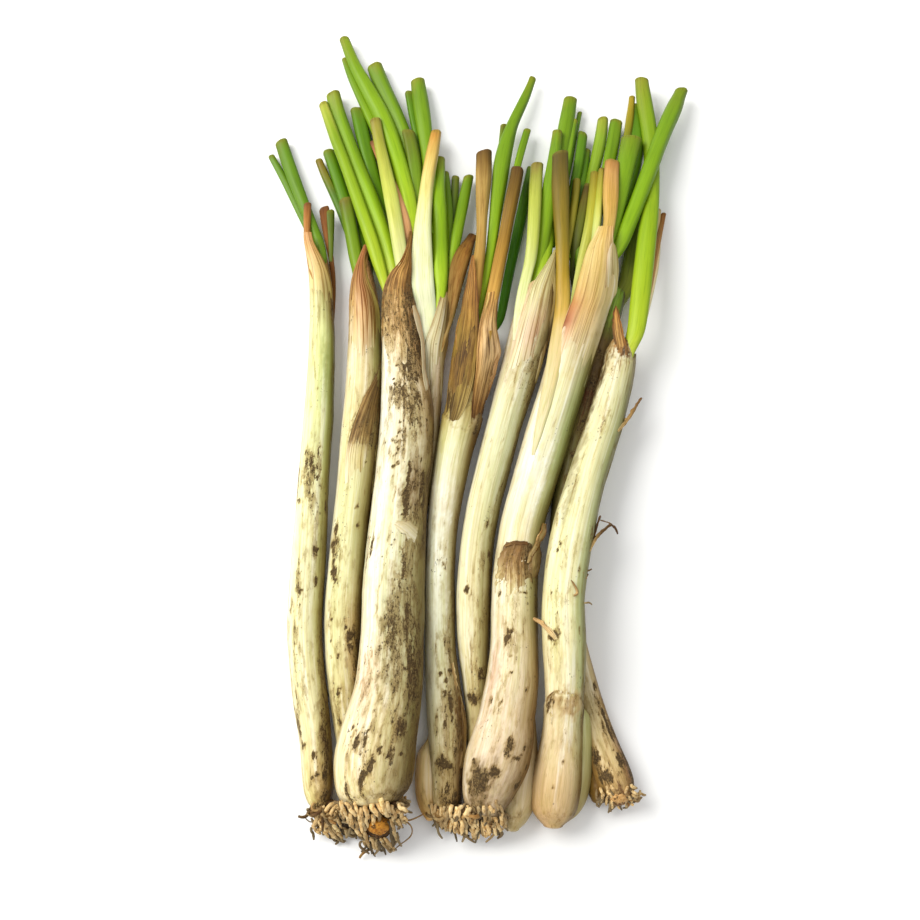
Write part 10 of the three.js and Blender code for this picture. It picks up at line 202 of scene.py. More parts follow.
def _hash(i, j, k, seed):
    M = np.uint64(0xFFFFFFFF)
    h = (i.astype(np.int64).astype(np.uint64) * np.uint64(374761393)
         + j.astype(np.int64).astype(np.uint64) * np.uint64(668265263)
         + k.astype(np.int64).astype(np.uint64) * np.uint64(2246822519)
         + np.uint64(seed * 3266489917 + 12345)) & M
    h = ((h ^ (h >> np.uint64(13))) * np.uint64(1274126177)) & M
    h = ((h ^ (h >> np.uint64(15))) * np.uint64(2246822519)) & M
    h = h ^ (h >> np.uint64(16))
    return (h & M).astype(float) / 4294967295.0


def vnoise(x, y, z, seed=0):
    """Smooth value noise from 0 to 1."""
    x, y, z = np.broadcast_arrays(np.asarray(x, float), np.asarray(y, float), np.asarray(z, float))
    i, j, k = np.floor(x), np.floor(y), np.floor(z)
    u, v, w = x - i, y - j, z - k
    u, v, w = u * u * (3 - 2 * u), v * v * (3 - 2 * v), w * w * (3 - 2 * w)
    out = 0
    for a in (0, 1):
        for b in (0, 1):
            for c in (0, 1):
                out = out + _hash(i + a, j + b, k + c, seed) * (u if a else 1 - u) * (v if b else 1 - v) * (w if c else 1 - w)
    return out


def fbm(x, y, z, seed=0, octaves=4, gain=0.5):
    out, amp, tot, f = 0, 1.0, 0, 1.0
    for o in range(octaves):
        out = out + amp * vnoise(np.asarray(x) * f, np.asarray(y) * f, np.asarray(z) * f, seed + 17 * o)
        tot += amp
        amp *= gain
        f *= 2.03
    return out / tot


def smooth_line(rows, step=0.25, sig=2.2, sig_r=1.4, keep_end=False):
    """Rows of numbers, x y z first, to a dense smooth line: arc length and values."""
    P = np.array(rows, float)
    d = np.r_[0, np.cumsum(np.linalg.norm(np.diff(P[:, :3], axis=0), axis=1))]
    n = max(8, int(d[-1] / step))
    t = np.linspace(0, d[-1], n)
    Q = np.stack([np.interp(t, d, P[:, k]) for k in range(P.shape[1])], 1)
    st = t[1] - t[0]

    def gauss(A, s):
        r = max(1, int(3 * s / st))
        r = min(r, n - 2)
        k = np.exp(-0.5 * (np.arange(-r, r + 1) * st / s) ** 2)
        k /= k.sum()
        pre = 2 * A[0] - A[r:0:-1]
        post = 2 * A[-1] - A[-2:-r - 2:-1]
        B = np.concatenate([pre, A, post])
        return np.stack([np.convolve(B[:, c], k, "valid") for c in range(A.shape[1])], 1)

    raw = Q[:, 3:].copy()
    Q[:, :3] = gauss(Q[:, :3], sig)
    if P.shape[1] > 3:
        Q[:, 3:] = np.maximum(gauss(Q[:, 3:], sig_r), 0.05)
        if keep_end:
            near = np.clip(t / 6.0, 0, 1)[:, None]
            Q[:, 3:] = Q[:, 3:] * near + np.maximum(gauss(raw, 0.5), 0.05) * (1 - near)
    s = np.r_[0, np.cumsum(np.linalg.norm(np.diff(Q[:, :3], axis=0), axis=1))]
    return s, Q


def frames(C):
    T = np.gradient(C, axis=0)
    T /= np.linalg.norm(T, axis=1, keepdims=True)
    S = np.cross(T, np.array([0, 0, 1.0]))
    S /= np.linalg.norm(S, axis=1, keepdims=True)
    return T, S, np.cross(S, T)


class Shells:
    """Collects grids of points into one mesh object with attributes and a packed UV map."""

    def __init__(self):
        self.parts = []

    def add(self, V, uv, attrs, wrap=True, flip=False):
        self.parts.append((V, uv, attrs, wrap, flip))

    def build(self, name, material, slot, replaces=()):
        co, faces, uvs = [], [], []
        names = {}
        for V, uv, attrs, wrap, flip in self.parts:
            for k, a in attrs.items():
                names[k] = 3 if np.ndim(a) == 3 else 1
        store = {k: [] for k in names}
        base = 0
        for V, (u0, v0, u1, v1), attrs, wrap, flip in self.parts:
            n, m = V.shape[:2]
            co.append(V.reshape(-1, 3))
            i, j = np.meshgrid(np.arange(n - 1), np.arange(m if wrap else m - 1), indexing="ij")
            j2 = (j + 1) % m
            q = np.stack([i * m + j, i * m + j2, (i + 1) * m + j2, (i + 1) * m + j], -1).reshape(-1, 4) + base
            mm = m if wrap else m - 1
            ua, ub = j / mm, (j + 1) / mm
            va, vb = i / (n - 1), (i + 1) / (n - 1)
            uq = np.stack([np.stack([ua, va], -1), np.stack([ub, va], -1), np.stack([ub, vb], -1), np.stack([ua, vb], -1)], 2).reshape(-1, 4, 2)
            uq = uq * np.array([u1 - u0, v1 - v0]) + np.array([u0, v0])
            if flip:
                q, uq = q[:, ::-1], uq[:, ::-1]
            faces.append(q)
            uvs.append(uq)
            for k, dim in names.items():
                a = attrs.get(k)
                if a is None:
                    a = np.zeros(V.shape[:2] + ((3,) if dim == 3 else ()))
                store[k].append(np.broadcast_to(a, V.shape[:2] + ((3,) if dim == 3 else ())).reshape((-1, 3) if dim == 3 else -1))
            base += n * m
        co = np.concatenate(co) * MM
        F = np.concatenate(faces).astype(np.int32)
        me = bpy.data.meshes.new(name)
        me.vertices.add(len(co))
        me.vertices.foreach_set("co", co.astype(np.float32).ravel())
        me.loops.add(F.size)
        me.loops.foreach_set("vertex_index", F.ravel())
        me.polygons.add(len(F))
        me.polygons.foreach_set("loop_start", np.arange(0, F.size, 4, dtype=np.int32))
        me.polygons.foreach_set("use_smooth", np.ones(len(F), bool))
        me.update(calc_edges=True)
        layer = me.uv_layers.new(name="OFBake")
        layer.data.foreach_set("uv", np.concatenate(uvs).astype(np.float32).ravel())
        for k, dim in names.items():
            a = np.concatenate(store[k]).astype(np.float32)
            if k == "col":
                at = me.attributes.new(k, "FLOAT_COLOR", "POINT")
                at.data.foreach_set("color", np.c_[a, np.ones(len(a), np.float32)].ravel())
            elif dim == 3:
                at = me.attributes.new(k, "FLOAT_VECTOR", "POINT")
                at.data.foreach_set("vector", a.ravel())
            else:
                at = me.attributes.new(k, "FLOAT", "POINT")
                at.data.foreach_set("value", a)
        me.validate()
        ob = bpy.data.objects.new(name, me)
        bpy.context.scene.collection.objects.link(ob)
        me.materials.append(material)
        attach(ob, "root")
        if replaces:
            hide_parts(*replaces)
        return ob


# ------------------------------------------------------------------ materials
class Nodes:
    """Short-hand for building a node tree."""

    def __init__(self, name):
        self.mat = bpy.data.materials.new(name)
        self.mat.use_nodes = True
        self.t = self.mat.node_tree
        self.t.nodes.clear()
        self.out = self.t.nodes.new("ShaderNodeOutputMaterial")
        self.b = self.t.nodes.new("ShaderNodeBsdfPrincipled")
        self.t.links.new(self.b.outputs[0], self.out.inputs[0])

    def link(self, a, b):
        self.t.links.new(a, b)

    def attr(self, name, kind="Fac"):
        n = self.t.nodes.new("ShaderNodeAttribute")
        n.attribute_name = name
        return n.outputs[kind]

    def scale(self, vec, s):
        n = self.t.nodes.new("ShaderNodeVectorMath")
        n.operation = "MULTIPLY"
        self.link(vec, n.inputs[0])
        n.inputs[1].default_value = s
        return n.outputs[0]

    def noise(self, vec, scale, detail=3.0, rough=0.55, distort=0.0):
        n = self.t.nodes.new("ShaderNodeTexNoise")
        n.noise_dimensions = "3D"
        self.link(vec, n.inputs["Vector"])
        n.inputs["Scale"].default_value = scale
        n.inputs["Detail"].default_value = detail
        n.inputs["Roughness"].default_value = rough
        n.inputs["Distortion"].default_value = distort
        return n.outputs["Fac"]

    def voronoi(self, vec, scale, rand=1.0):
        n = self.t.nodes.new("ShaderNodeTexVoronoi")
        self.link(vec, n.inputs["Vector"])
        n.inputs["Scale"].default_value = scale
        n.inputs["Randomness"].default_value = rand
        return n.outputs["Distance"], n.outputs["Color"]

    def math(self, op, a, b=None, c=None, clamp=False):
        n = self.t.nodes.new("ShaderNodeMath")
        n.operation = op
        n.use_clamp = clamp
        for i, x in enumerate((a, b, c)):
            if x is None:
                continue
            if isinstance(x, (int, float)):
                n.inputs[i].default_value = x
            else:
                self.link(x, n.inputs[i])
        return n.outputs[0]

    def remap(self, x, a, b, c=0.0, d=1.0, smoothstep=True):
        n = self.t.nodes.new("ShaderNodeMapRange")
        n.interpolation_type = "SMOOTHSTEP" if smoothstep else "LINEAR"
        self.link(x, n.inputs["Value"])
        for key, v in (("From Min", a), ("From Max", b), ("To Min", c), ("To Max", d)):
            if isinstance(v, (int, float)):
                n.inputs[key].default_value = v
            else:
                self.link(v, n.inputs[key])
        return n.outputs["Result"]

    def ramp(self, x, stops):
        n = self.t.nodes.new("ShaderNodeValToRGB")
        e = n.color_ramp.elements
        while len(e) > 1:
            e.remove(e[-1])
        e[0].position = stops[0][0]
        e[0].color = (*lin(stops[0][1]), 1)
        for p, c in stops[1:]:
            k = e.new(p)
            k.color = (*lin(c), 1)
        self.link(x, n.inputs[0])
        return n.outputs[0]

    def mix(self, fac, a, b, mode="MIX"):
        n = self.t.nodes.new("ShaderNodeMix")
        n.data_type = "RGBA"
        n.blend_type = mode
        n.clamp_factor = True
        for sock, v in ((n.inputs[0], fac), (n.inputs[6], a), (n.inputs[7], b)):
            if isinstance(v, (int, float)):
                sock.default_value = v
            elif isinstance(v, (tuple, list, np.ndarray)):
                sock.default_value = (*v, 1) if len(v) == 3 else tuple(v)
            else:
                self.link(v, sock)
        return n.outputs[2]

    def lum(self, c):
        n = self.t.nodes.new("ShaderNodeRGBToBW")
        self.link(c, n.inputs[0])
        return n.outputs[0]

    def bump(self, height, strength, distance, normal=None):
        n = self.t.nodes.new("ShaderNodeBump")
        n.inputs["Strength"].default_value = strength
        n.inputs["Distance"].default_value = distance
        self.link(height, n.inputs["Height"])
        if normal is not None:
            self.link(normal, n.inputs["Normal"])
        return n.outputs[0]


def grey(v):
    return (v, v, v)


def skin_material():
    """Moist pale sheath: fine veins, soil in smears and speckles, brown papery patches."""
    m = Nodes("rakkyo_skin")
    fc = m.attr("fc", "Vector")
    col = m.attr("col", "Color")
    dirt = m.attr("dirt")
    brown = m.attr("brown")
    fib = m.noise(m.scale(fc, (1.0, 1.0, 0.030)), 1.5, 4.0, 0.55)
    vein = m.noise(m.scale(fc, (1.0, 1.0, 0.018)), 3.4, 2.0, 0.5)
    band = m.noise(m.scale(fc, (1.0, 1.0, 0.014)), 0.52, 3.0, 0.5)
    mott = m.noise(m.scale(fc, (1.0, 1.0, 0.45)), 0.30, 5.0, 0.62)
    c = m.mix(1.0, col, m.ramp(fib, [(0.30, (238, 235, 216)), (0.48, (251, 250, 245)), (0.62, (255, 255, 255))]), "MULTIPLY")
    c = m.mix(m.remap(band, 0.50, 0.68, 0.0, 0.40), c, m.mix(1.0, c, lin((224, 228, 192)), "MULTIPLY"))
    # painted highlight: long pale streaks laid where the colour is already lightest, on the painted lit side
    light = m.remap(m.lum(c), 0.34, 0.62)
    c = m.mix(m.math("MULTIPLY", light, m.remap(band, 0.47, 0.34, 0.0, 0.34)), c, lin((255, 254, 242)))
    c = m.mix(m.remap(vein, 0.50, 0.66, 0.0, 0.30), c, m.mix(1.0, c, lin((220, 222, 178)), "MULTIPLY"))
    c = m.mix(m.remap(mott, 0.50, 0.74, 0.0, 0.42), c, m.mix(1.0, c, lin((234, 220, 178)), "MULTIPLY"))
    ln = m.noise(m.scale(fc, (1.0, 1.0, 0.012)), 2.0, 3.0, 0.6)
    c = m.mix(m.math("MULTIPLY", m.remap(ln, 0.51, 0.62), m.attr("lines")), c, m.mix(1.0, c, lin((172, 142, 84)), "MULTIPLY"))
    # brown papery skin: fibres of brown run out into the pale skin at its edge
    edge = m.noise(m.scale(fc, (1.0, 1.0, 0.05)), 1.5, 5.0, 0.68)
    edge2 = m.noise(m.scale(fc, (1.0, 1.0, 0.5)), 0.7, 5.0, 0.66)
    en = m.math("ADD", m.math("MULTIPLY", edge, 0.8), m.math("MULTIPLY", edge2, 0.5))
    bm = m.remap(m.math("ADD", brown, m.math("MULTIPLY", m.math("SUBTRACT", en, 0.65), 1.7)), 0.34, 0.66)
    bfib = m.noise(m.scale(fc, (1.0, 1.0, 0.02)), 2.6, 5.0, 0.62)
    btone = m.noise(m.scale(fc, (1.0, 1.0, 0.3)), 0.34, 4.0, 0.6)
    bsum = m.math("ADD", m.math("MULTIPLY", bfib, 0.68), m.math("MULTIPLY", btone, 0.32))
    bgrey = m.ramp(bsum, [(0.36, (84, 66, 44)), (0.45, (150, 132, 106)), (0.52, (206, 194, 172)), (0.60, (244, 238, 224)), (0.68, (255, 255, 250))])
    bcol = m.mix(1.0, m.attr("bcol", "Color"), bgrey, "MULTIPLY")
    c = m.mix(m.math("MULTIPLY", bm, 0.94), c, bcol)
    # soil smears: brown-olive film with a crisp ragged edge
    med = m.noise(m.scale(fc, (1.0, 1.0, 0.26)), 0.70, 7.0, 0.68)
    lim2 = m.math("SUBTRACT", 0.665, m.math("MULTIPLY", dirt, 0.25))
    pm = m.remap(m.math("SUBTRACT", med, lim2), -0.008, 0.030)
    halo = m.remap(m.math("SUBTRACT", med, lim2), -0.14, 0.02, 0.0, 0.6)
    c = m.mix(m.math("MULTIPLY", halo, m.remap(dirt, 0.05, 0.7, 0.10, 0.8)), c, m.mix(1.0, c, lin((196, 170, 116)), "MULTIPLY"))
    film = m.ramp(m.noise(fc, 1.1, 5.0, 0.68), [(0.32, (92, 74, 38)), (0.48, (140, 120, 72)), (0.62, (172, 152, 102)), (0.75, (198, 178, 130))])
    film = m.mix(0.50, film, m.mix(1.0, c, lin((170, 142, 86)), "MULTIPLY"))
    c = m.mix(m.math("MULTIPLY", pm, m.remap(dirt, 0.2, 1.4, 0.26, 0.82)), c, film)
    # dark specks, thickest inside the smears
    sp1 = m.noise(m.scale(fc, (1.0, 1.0, 0.32)), 2.0, 6.0, 0.72)
    sp2 = m.noise(m.scale(fc, (1.0, 1.0, 0.62)), 4.6, 3.0, 0.7)
    spk = m.math("ADD", m.math("ADD", m.math("MULTIPLY", sp1, 0.62), m.math("MULTIPLY", sp2, 0.38)), m.math("MULTIPLY", pm, 0.055))
    lim = m.math("SUBTRACT", 0.706, m.math("MULTIPLY", dirt, 0.166))
    dm = m.remap(m.math("SUBTRACT", spk, lim), -0.006, 0.020)
    dcol = m.ramp(m.noise(fc, 2.2, 4.0, 0.6), [(0.30, (36, 24, 8)), (0.50, (66, 48, 20)), (0.66, (98, 76, 40))])
    c = m.mix(m.math("MULTIPLY", dm, 0.92), c, dcol)
    # scattered pin-head specks
    clump = m.noise(m.scale(fc, (1.0, 1.0, 0.5)), 0.16, 3.0, 0.6)
    size = m.math("MULTIPLY", m.remap(m.math("ADD", clump, m.math("MULTIPLY", dirt, 0.12)), 0.44, 0.74, 0.0, 1.0), m.math("MULTIPLY", m.noise(fc, 0.5, 2.0, 0.5), 0.50))
    wob = m.math("MULTIPLY", m.math("SUBTRACT", m.noise(fc, 4.2, 3.0, 0.65), 0.5), 0.42)
    vd, vc = m.voronoi(m.scale(fc, (1.0, 1.0, 0.7)), 0.78)
    p1 = m.remap(m.math("SUBTRACT", m.math("ADD", size, wob), vd), 0.04, 0.09)
    vd2, vc2 = m.voronoi(m.scale(fc, (1.0, 1.0, 0.7)), 1.35)
    p2 = m.remap(m.math("SUBTRACT", m.math("ADD", size, wob), vd2), 0.05, 0.12)
    pick = m.math("MULTIPLY", m.math("MAXIMUM", p1, p2), m.remap(m.attr("speck"), 0.0, 0.8, 0.0, 0.95, False))
    c = m.mix(pick, c, lin((62, 44, 16)))
    m.link(c, m.b.inputs["Base Color"])
    mat = m.math("MAXIMUM", m.math("MAXIMUM", dm, pm), m.math("MULTIPLY", bm, 0.8))
    rough = m.math("ADD", 0.42, m.math("MULTIPLY", mat, 0.38))
    rough = m.math("ADD", rough, m.math("MULTIPLY", m.math("SUBTRACT", fib, 0.5), 0.25), clamp=True)
    m.link(rough, m.b.inputs["Roughness"])
    h = m.math("ADD", m.math("MULTIPLY", fib, 0.45), m.math("MULTIPLY", vein, 0.2))
    h = m.math("ADD", h, m.math("ADD", m.math("MULTIPLY", dm, 0.35), m.math("MULTIPLY", pm, 0.25)))
    h = m.math("ADD", h, m.math("MULTIPLY", bm, m.math("ADD", 0.4, m.math("MULTIPLY", bfib, 1.6))))
    m.link(m.bump(h, 0.5, 0.00018), m.b.inputs["Normal"])
    m.b.inputs["Specular IOR Level"].default_value = 0.30
    m.b.inputs["Subsurface Weight"].default_value = 0.10
    m.b.inputs["Subsurface Radius"].default_value = (1.0, 0.8, 0.35)
    m.b.inputs["Subsurface Scale"].default_value = 0.0012
    return m.mat


def leaf_material():
    """Waxy leaf with fine lengthwise veins, drying to fibre where its colour is brown."""
    m = Nodes("rakkyo_leaf")
    fc = m.attr("fc", "Vector")
    col = m.attr("col", "Color")
    dry = m.attr("brown")
    vein = m.noise(m.scale(fc, (1.0, 1.0, 0.03)), 3.2, 3.0, 0.55)
    broad = m.noise(m.scale(fc, (1.0, 1.0, 0.05)), 0.8, 3.0, 0.5)
    mott = m.noise(m.scale(fc, (1.0, 1.0, 0.25)), 0.28, 4.0, 0.6)
    c = m.mix(1.0, col, m.ramp(vein, [(0.30, (226, 230, 206)), (0.5, (250, 251, 244)), (0.66, (255, 255, 255))]), "MULTIPLY")
    c = m.mix(m.remap(broad, 0.36, 0.64, 0.30, 0.0), c, m.mix(1.0, c, lin((214, 224, 168)), "MULTIPLY"))
    c = m.mix(m.remap(mott, 0.52, 0.76, 0.0, 0.4), c, m.mix(1.0, c, lin((240, 232, 150)), "MULTIPLY"))
    dfib = m.noise(m.scale(fc, (1.0, 1.0, 0.025)), 2.1, 5.0, 0.65)
    dc = m.mix(1.0, col, m.ramp(dfib, [(0.30, (132, 98, 56)), (0.42, (210, 188, 150)), (0.54, (248, 242, 228)), (0.66, (255, 255, 252))]), "MULTIPLY")
    c = m.mix(dry, c, dc)
    spot = m.noise(m.scale(fc, (1.0, 1.0, 0.5)), 1.0, 5.0, 0.7)
    lim = m.math("SUBTRACT", 0.80, m.math("MULTIPLY", m.attr("dirt"), 0.30))
    c = m.mix(m.remap(m.math("SUBTRACT", spot, lim), 0.0, 0.05, 0.0, 0.85), c, lin((70, 52, 22)))
    m.link(c, m.b.inputs["Base Color"])
    rough = m.math("ADD", m.math("ADD", 0.34, m.math("MULTIPLY", dry, 0.34)), m.math("MULTIPLY", broad, 0.16))
    m.link(rough, m.b.inputs["Roughness"])
    h = m.math("ADD", m.math("MULTIPLY", vein, 0.4), m.math("MULTIPLY", m.math("MULTIPLY", dfib, dry), 0.9))
    m.link(m.bump(h, 0.45, 0.00015), m.b.inputs["Normal"])
    m.b.inputs["Specular IOR Level"].default_value = 0.24
    m.b.inputs["Subsurface Weight"].default_value = 0.08
    m.b.inputs["Subsurface Radius"].default_value = (0.6, 1.0, 0.2)
    m.b.inputs["Subsurface Scale"].default_value = 0.0010
    return m.mat


def root_material():
    m = Nodes("rakkyo_root")
    fc = m.attr("fc", "Vector")
    col = m.attr("col", "Color")
    n = m.noise(m.scale(fc, (1.0, 1.0, 0.45)), 1.6, 5.0, 0.65)
    c = m.mix(1.0, col, m.ramp(n, [(0.28, (150, 120, 80)), (0.42, (226, 208, 178)), (0.56, (255, 252, 244))]), "MULTIPLY")
    d = m.noise(fc, 0.9, 6.0, 0.7)
    lim = m.math("SUBTRACT", 0.72, m.math("MULTIPLY", m.attr("dirt"), 0.30))
    c = m.mix(m.remap(m.math("SUBTRACT", d, lim), -0.02, 0.05, 0.0, 0.9), c, lin((52, 36, 16)))
    m.link(c, m.b.inputs["Base Color"])
    m.link(m.math("ADD", 0.62, m.math("MULTIPLY", n, 0.3)), m.b.inputs["Roughness"])
    m.link(m.bump(m.math("ADD", n, m.math("MULTIPLY", d, 0.5)), 0.55, 0.0002), m.b.inputs["Normal"])
    m.b.inputs["Specular IOR Level"].default_value = 0.3
    return m.mat


def dry_skin_material():
    """Loose dry skin: thin, fibrous, pale to brown."""
    m = Nodes("rakkyo_dry_skin")
    fc = m.attr("fc", "Vector")
    col = m.attr("col", "Color")
    f = m.noise(m.scale(fc, (1.0, 1.0, 0.05)), 2.4, 5.0, 0.65)
    w = m.noise(m.scale(fc, (1.0, 1.0, 0.7)), 0.6, 4.0, 0.6)
    c = m.mix(1.0, col, m.ramp(f, [(0.28, (138, 104, 62)), (0.45, (218, 196, 162)), (0.64, (255, 251, 240))]), "MULTIPLY")
    c = m.mix(m.remap(w, 0.5, 0.72, 0.0, 0.6), c, m.mix(1.0, c, lin((176, 140, 92)), "MULTIPLY"))
    d = m.noise(fc, 1.3, 6.0, 0.7)
    lim = m.math("SUBTRACT", 0.74, m.math("MULTIPLY", m.attr("dirt"), 0.30))
    c = m.mix(m.remap(m.math("SUBTRACT", d, lim), -0.02, 0.05, 0.0, 0.9), c, lin((60, 42, 20)))
    m.link(c, m.b.inputs["Base Color"])
    m.link(m.math("ADD", 0.58, m.math("MULTIPLY", f, 0.25)), m.b.inputs["Roughness"])
    m.link(m.bump(m.math("ADD", f, m.math("MULTIPLY", w, 0.5)), 0.8, 0.0003), m.b.inputs["Normal"])
    m.b.inputs["Specular IOR Level"].default_value = 0.35
    return m.mat


SKIN, LEAF, ROOT, DRY = skin_material(), leaf_material(), root_material(), dry_skin_material()

# ------------------------------------------------------------------ stalks and bulbs
def stalk_surface(rows, seed, na, step, tops=None, lobe=False, rib=1.0):
    """Points of a bulb and neck, or of a daughter bulb. Returns points, arc length, angle and radii."""
    s, Q = smooth_line(rows, sig=3.0 if not lobe else 1.6, sig_r=1.5 if not lobe else 1.2, keep_end=True)
    C, A, B = Q[:, :3], Q[:, 3], Q[:, 4]
    L = s[-1]
    top = L if tops is None else max(v for _, v in tops)
    top = min(top, L)
    cap = 7
    n = int(top / step)
    th = np.linspace(-math.pi, math.pi, na, endpoint=False)
    sl = np.linspace(0, top, n)
    if tops is not None:
        deg = np.array([t for t, _ in tops], float)
        val = np.array([min(v, L) for _, v in tops], float)
        deg3 = np.concatenate([deg - 360, deg, deg + 360])
        val3 = np.concatenate([val, val, val])
        e = np.interp(np.degrees(th), deg3, val3)
        k = np.array([1, 4, 6, 4, 1.0])
        k /= k.sum()
        e = np.convolve(np.r_[e[-2:], e, e[:2]], k, "valid")
        e = e + (fbm(np.cos(th) * 3, np.sin(th) * 3, seed, seed + 3, 4) - 0.5) * 3.2
        s0 = e.min() - 22
        S = np.where(sl[:, None] < s0, sl[:, None], s0 + (sl[:, None] - s0) * (e[None] - s0) / (top - s0))
    else:
        S = np.repeat(sl[:, None], na, 1)
    T3, S3, N3 = frames(C)

    def at(arr, S):
        if arr.ndim == 1:
            return np.interp(S, s, arr)
        return np.stack([np.interp(S, s, arr[:, c]) for c in range(arr.shape[1])], -1)

    TH = np.broadcast_to(th, S.shape)
    sn, cs = np.sin(TH), np.cos(TH)
    a, b = at(A, S), at(B, S)
    rr = np.sqrt(a * b)
    # ribs, folds and broad lumps
    X, Y = sn * rr, cs * rr
    d = np.zeros(S.shape)
    lump = fbm(X * 0.16 + seed, Y * 0.16, S * 0.05, seed, 3) - 0.5
    d += lump * 0.11 * rr
    wob = (fbm(sn * 1.6 + seed, cs * 1.6, S * 0.012, seed + 5, 3) - 0.5)
    ph = TH + wob * 0.9
    nr = int(20 + seed % 5) if not lobe else 15
    ribs = np.cos(nr * ph) * 0.5 + 0.5
    mod = smooth(0.35, 0.65, fbm(sn * 2 + 9, cs * 2, S * 0.02, seed + 7, 2))
    d += (ribs ** 2 - 0.4) * 0.045 * mod * rib * np.clip(rr / 4, 0.5, 1.5)
    st = fbm(X * 1.1, Y * 1.1, S * 0.02, seed + 11, 4) - 0.5
    d += st * 0.17 * rib
    cr = fbm(X * 0.5, Y * 0.5, S * 0.35, seed + 13, 4) - 0.5
    d += cr * 0.15
    info = dict(S=S, TH=TH, rr=rr, a=a, b=b, L=L, top=top, s=s, C=C, A=A, B=B, T=T3, Sd=S3, N=N3, at=at, cap=cap, th=th)
    info["d"] = d
    return info


def skin_points(f):
    """Positions for the surface from the centre line, its frames and the radii; the closed root end and the floor
    pressing are added by end_cap and press.
    """
    S, TH, d = f["S"], f["TH"], f["d"]
    at = f["at"]
    C, Sd, N = at(f["C"], S), at(f["Sd"], S), at(f["N"], S)
    P = C + Sd * (np.sin(TH) * (f["a"] + d))[..., None] + N * (np.cos(TH) * (f["b"] + d))[..., None]
    return P


def press(P, floor=0.02):
    z = P[..., 2]
    low = floor + 0.03 * np.sin(P[..., 1] * 0.7) ** 2
    P[..., 2] = np.where(z < low, low - (low - z) * 0.02, z)
    P[..., 2] = np.maximum(P[..., 2], 0.005)
    return P


def end_cap(P, attrs, rows, depth, pinch=0.0):
    """Closes the first ring of a surface with a rounded cap of the given depth."""
    ring = P[0]
    c = ring.mean(0)
    t = c - P[3].mean(0)
    t = t / np.linalg.norm(t)
    out = []
    for i in range(rows):
        ph = math.pi / 2 * (1 - i / rows)
        k = math.cos(ph)
        out.append(c + (ring - c) * k + t * depth * (math.sin(ph) - pinch * (1 - k) ** 2))
    cap = np.stack(out)
    new = {k: np.concatenate([np.repeat(v[:1], rows, 0), v]) for k, v in attrs.items()}
    return np.concatenate([cap, P]), new


def blobs(f, kinds, table, seed):
    """Sums soft spots given as (kind, s, angle, length, width, amount), with ragged outlines."""
    S, TH, rr = f["S"], f["TH"], f["rr"]
    X, Y = np.sin(TH) * rr, np.cos(TH) * rr
    w1 = fbm(X * 0.55 + 3, Y * 0.55, S * 0.28, seed + 21, 3) - 0.5
    w2 = fbm(X * 0.55 - 7, Y * 0.55, S * 0.28, seed + 22, 3) - 0.5
    w3 = fbm(X * 1.7 + 9, Y * 1.7, S * 1.0, seed + 23, 3, 0.6) - 0.5
    w4 = fbm(X * 1.7 - 4, Y * 1.7, S * 1.0, seed + 24, 3, 0.6) - 0.5
    out = {k: np.zeros(S.shape) for k in kinds}
    for kind, s0, deg, rs, rt, amt in table:
        dt = (TH - math.radians(deg) + math.pi) % (2 * math.pi) - math.pi
        ds_ = S - s0 + w1 * min(rs, 6) * 2.0 + w3 * min(rs, 2.5) * 2.6
        dx_ = dt * rr + w2 * min(rt, 3) * 2.0 + w4 * min(rt, 1.5) * 2.6
        e = (ds_ / (rs * 1.1)) ** 2 + (dx_ / (rt * 1.1)) ** 2
        m = amt * np.exp(-e ** 1.1)
        out[kind] = np.maximum(out[kind], m) + 0.25 * np.minimum(out[kind], m)
    return out


def tint_rows(f, rows):
    """Base colour from rows of (s, left colour, middle colour, right colour). The lighter left and darker olive right
    colours are painted light and shade across the stalk, and the underside is painted darker as shade.
    """
    S, TH = f["S"], f["TH"]
    ss = np.array([r[0] for r in rows], float)
    cols = [np.stack([lin(r[k]) for r in rows]) for k in (1, 2, 3)]
    order = np.argsort(ss)
    L_, M_, R_ = [np.stack([np.interp(S, ss[order], c[order, i]) for i in range(3)], -1) for c in cols]
    lat = np.sin(TH)[..., None]
    seed = f["seed"]
    lat = lat + (fbm(np.sin(TH) * 2, np.cos(TH) * 2, S * 0.03, seed + 31, 3) - 0.5)[..., None] * 0.5
    # blend from the painted lit left through the middle to the painted shaded right
    l = smooth(0.15, 0.95, -lat)
    r = smooth(0.10, 0.90, lat)
    c = M_ * (1 - l) * (1 - r) + L_ * l + R_ * r * (1 - l)
    # painted shade towards the underside
    underside_shade = smooth(0.1, 0.9, -np.cos(TH))[..., None]
    return c * (1 - 0.14 * underside_shade)


def apply_tints(f, c, table, seed):
    for s0, deg, rs, rt, amt, colr in table:
        m = blobs(f, ["t"], [("t", s0, deg, rs, rt, amt)], seed)["t"][..., None]
        m = np.clip(m, 0, 1)
        c = c * (1 - m) + lin(colr) * m
    return c


def seams(f, table):
    """Long overlapping sheath edges: (points of (s, angle), height, fade in mm, side). Also returns a thin line along
    each edge, which make_stalk paints as shade and soil.
    """
    S, TH, rr = f["S"], f["TH"], f["rr"]
    d = np.zeros(S.shape)
    line = np.zeros(S.shape)
    for pts, h, fade, side in table:
        ss = np.array([p[0] for p in pts], float)
        tt = np.array([p[1] for p in pts], float)
        o = np.argsort(ss)
        t0 = np.radians(np.interp(S, ss[o], tt[o]))
        dt = ((TH - t0 + math.pi) % (2 * math.pi) - math.pi) * rr * side
        dt = dt + (fbm(S * 0.5, S * 0.11, 3.3, int(ss[0]) + 77, 3) - 0.5) * 1.0
        ends = smooth(ss.min() - 3, ss.min() + 3, S) * (1 - smooth(ss.max() - 3, ss.max() + 3, S))
        up = smooth(-0.22, 0.22, dt) * np.exp(-np.maximum(dt, 0) / fade)
        d += h * up * ends
        line = np.maximum(line, np.exp(-((dt + 0.1) / 0.28) ** 2) * ends)
    return d, line


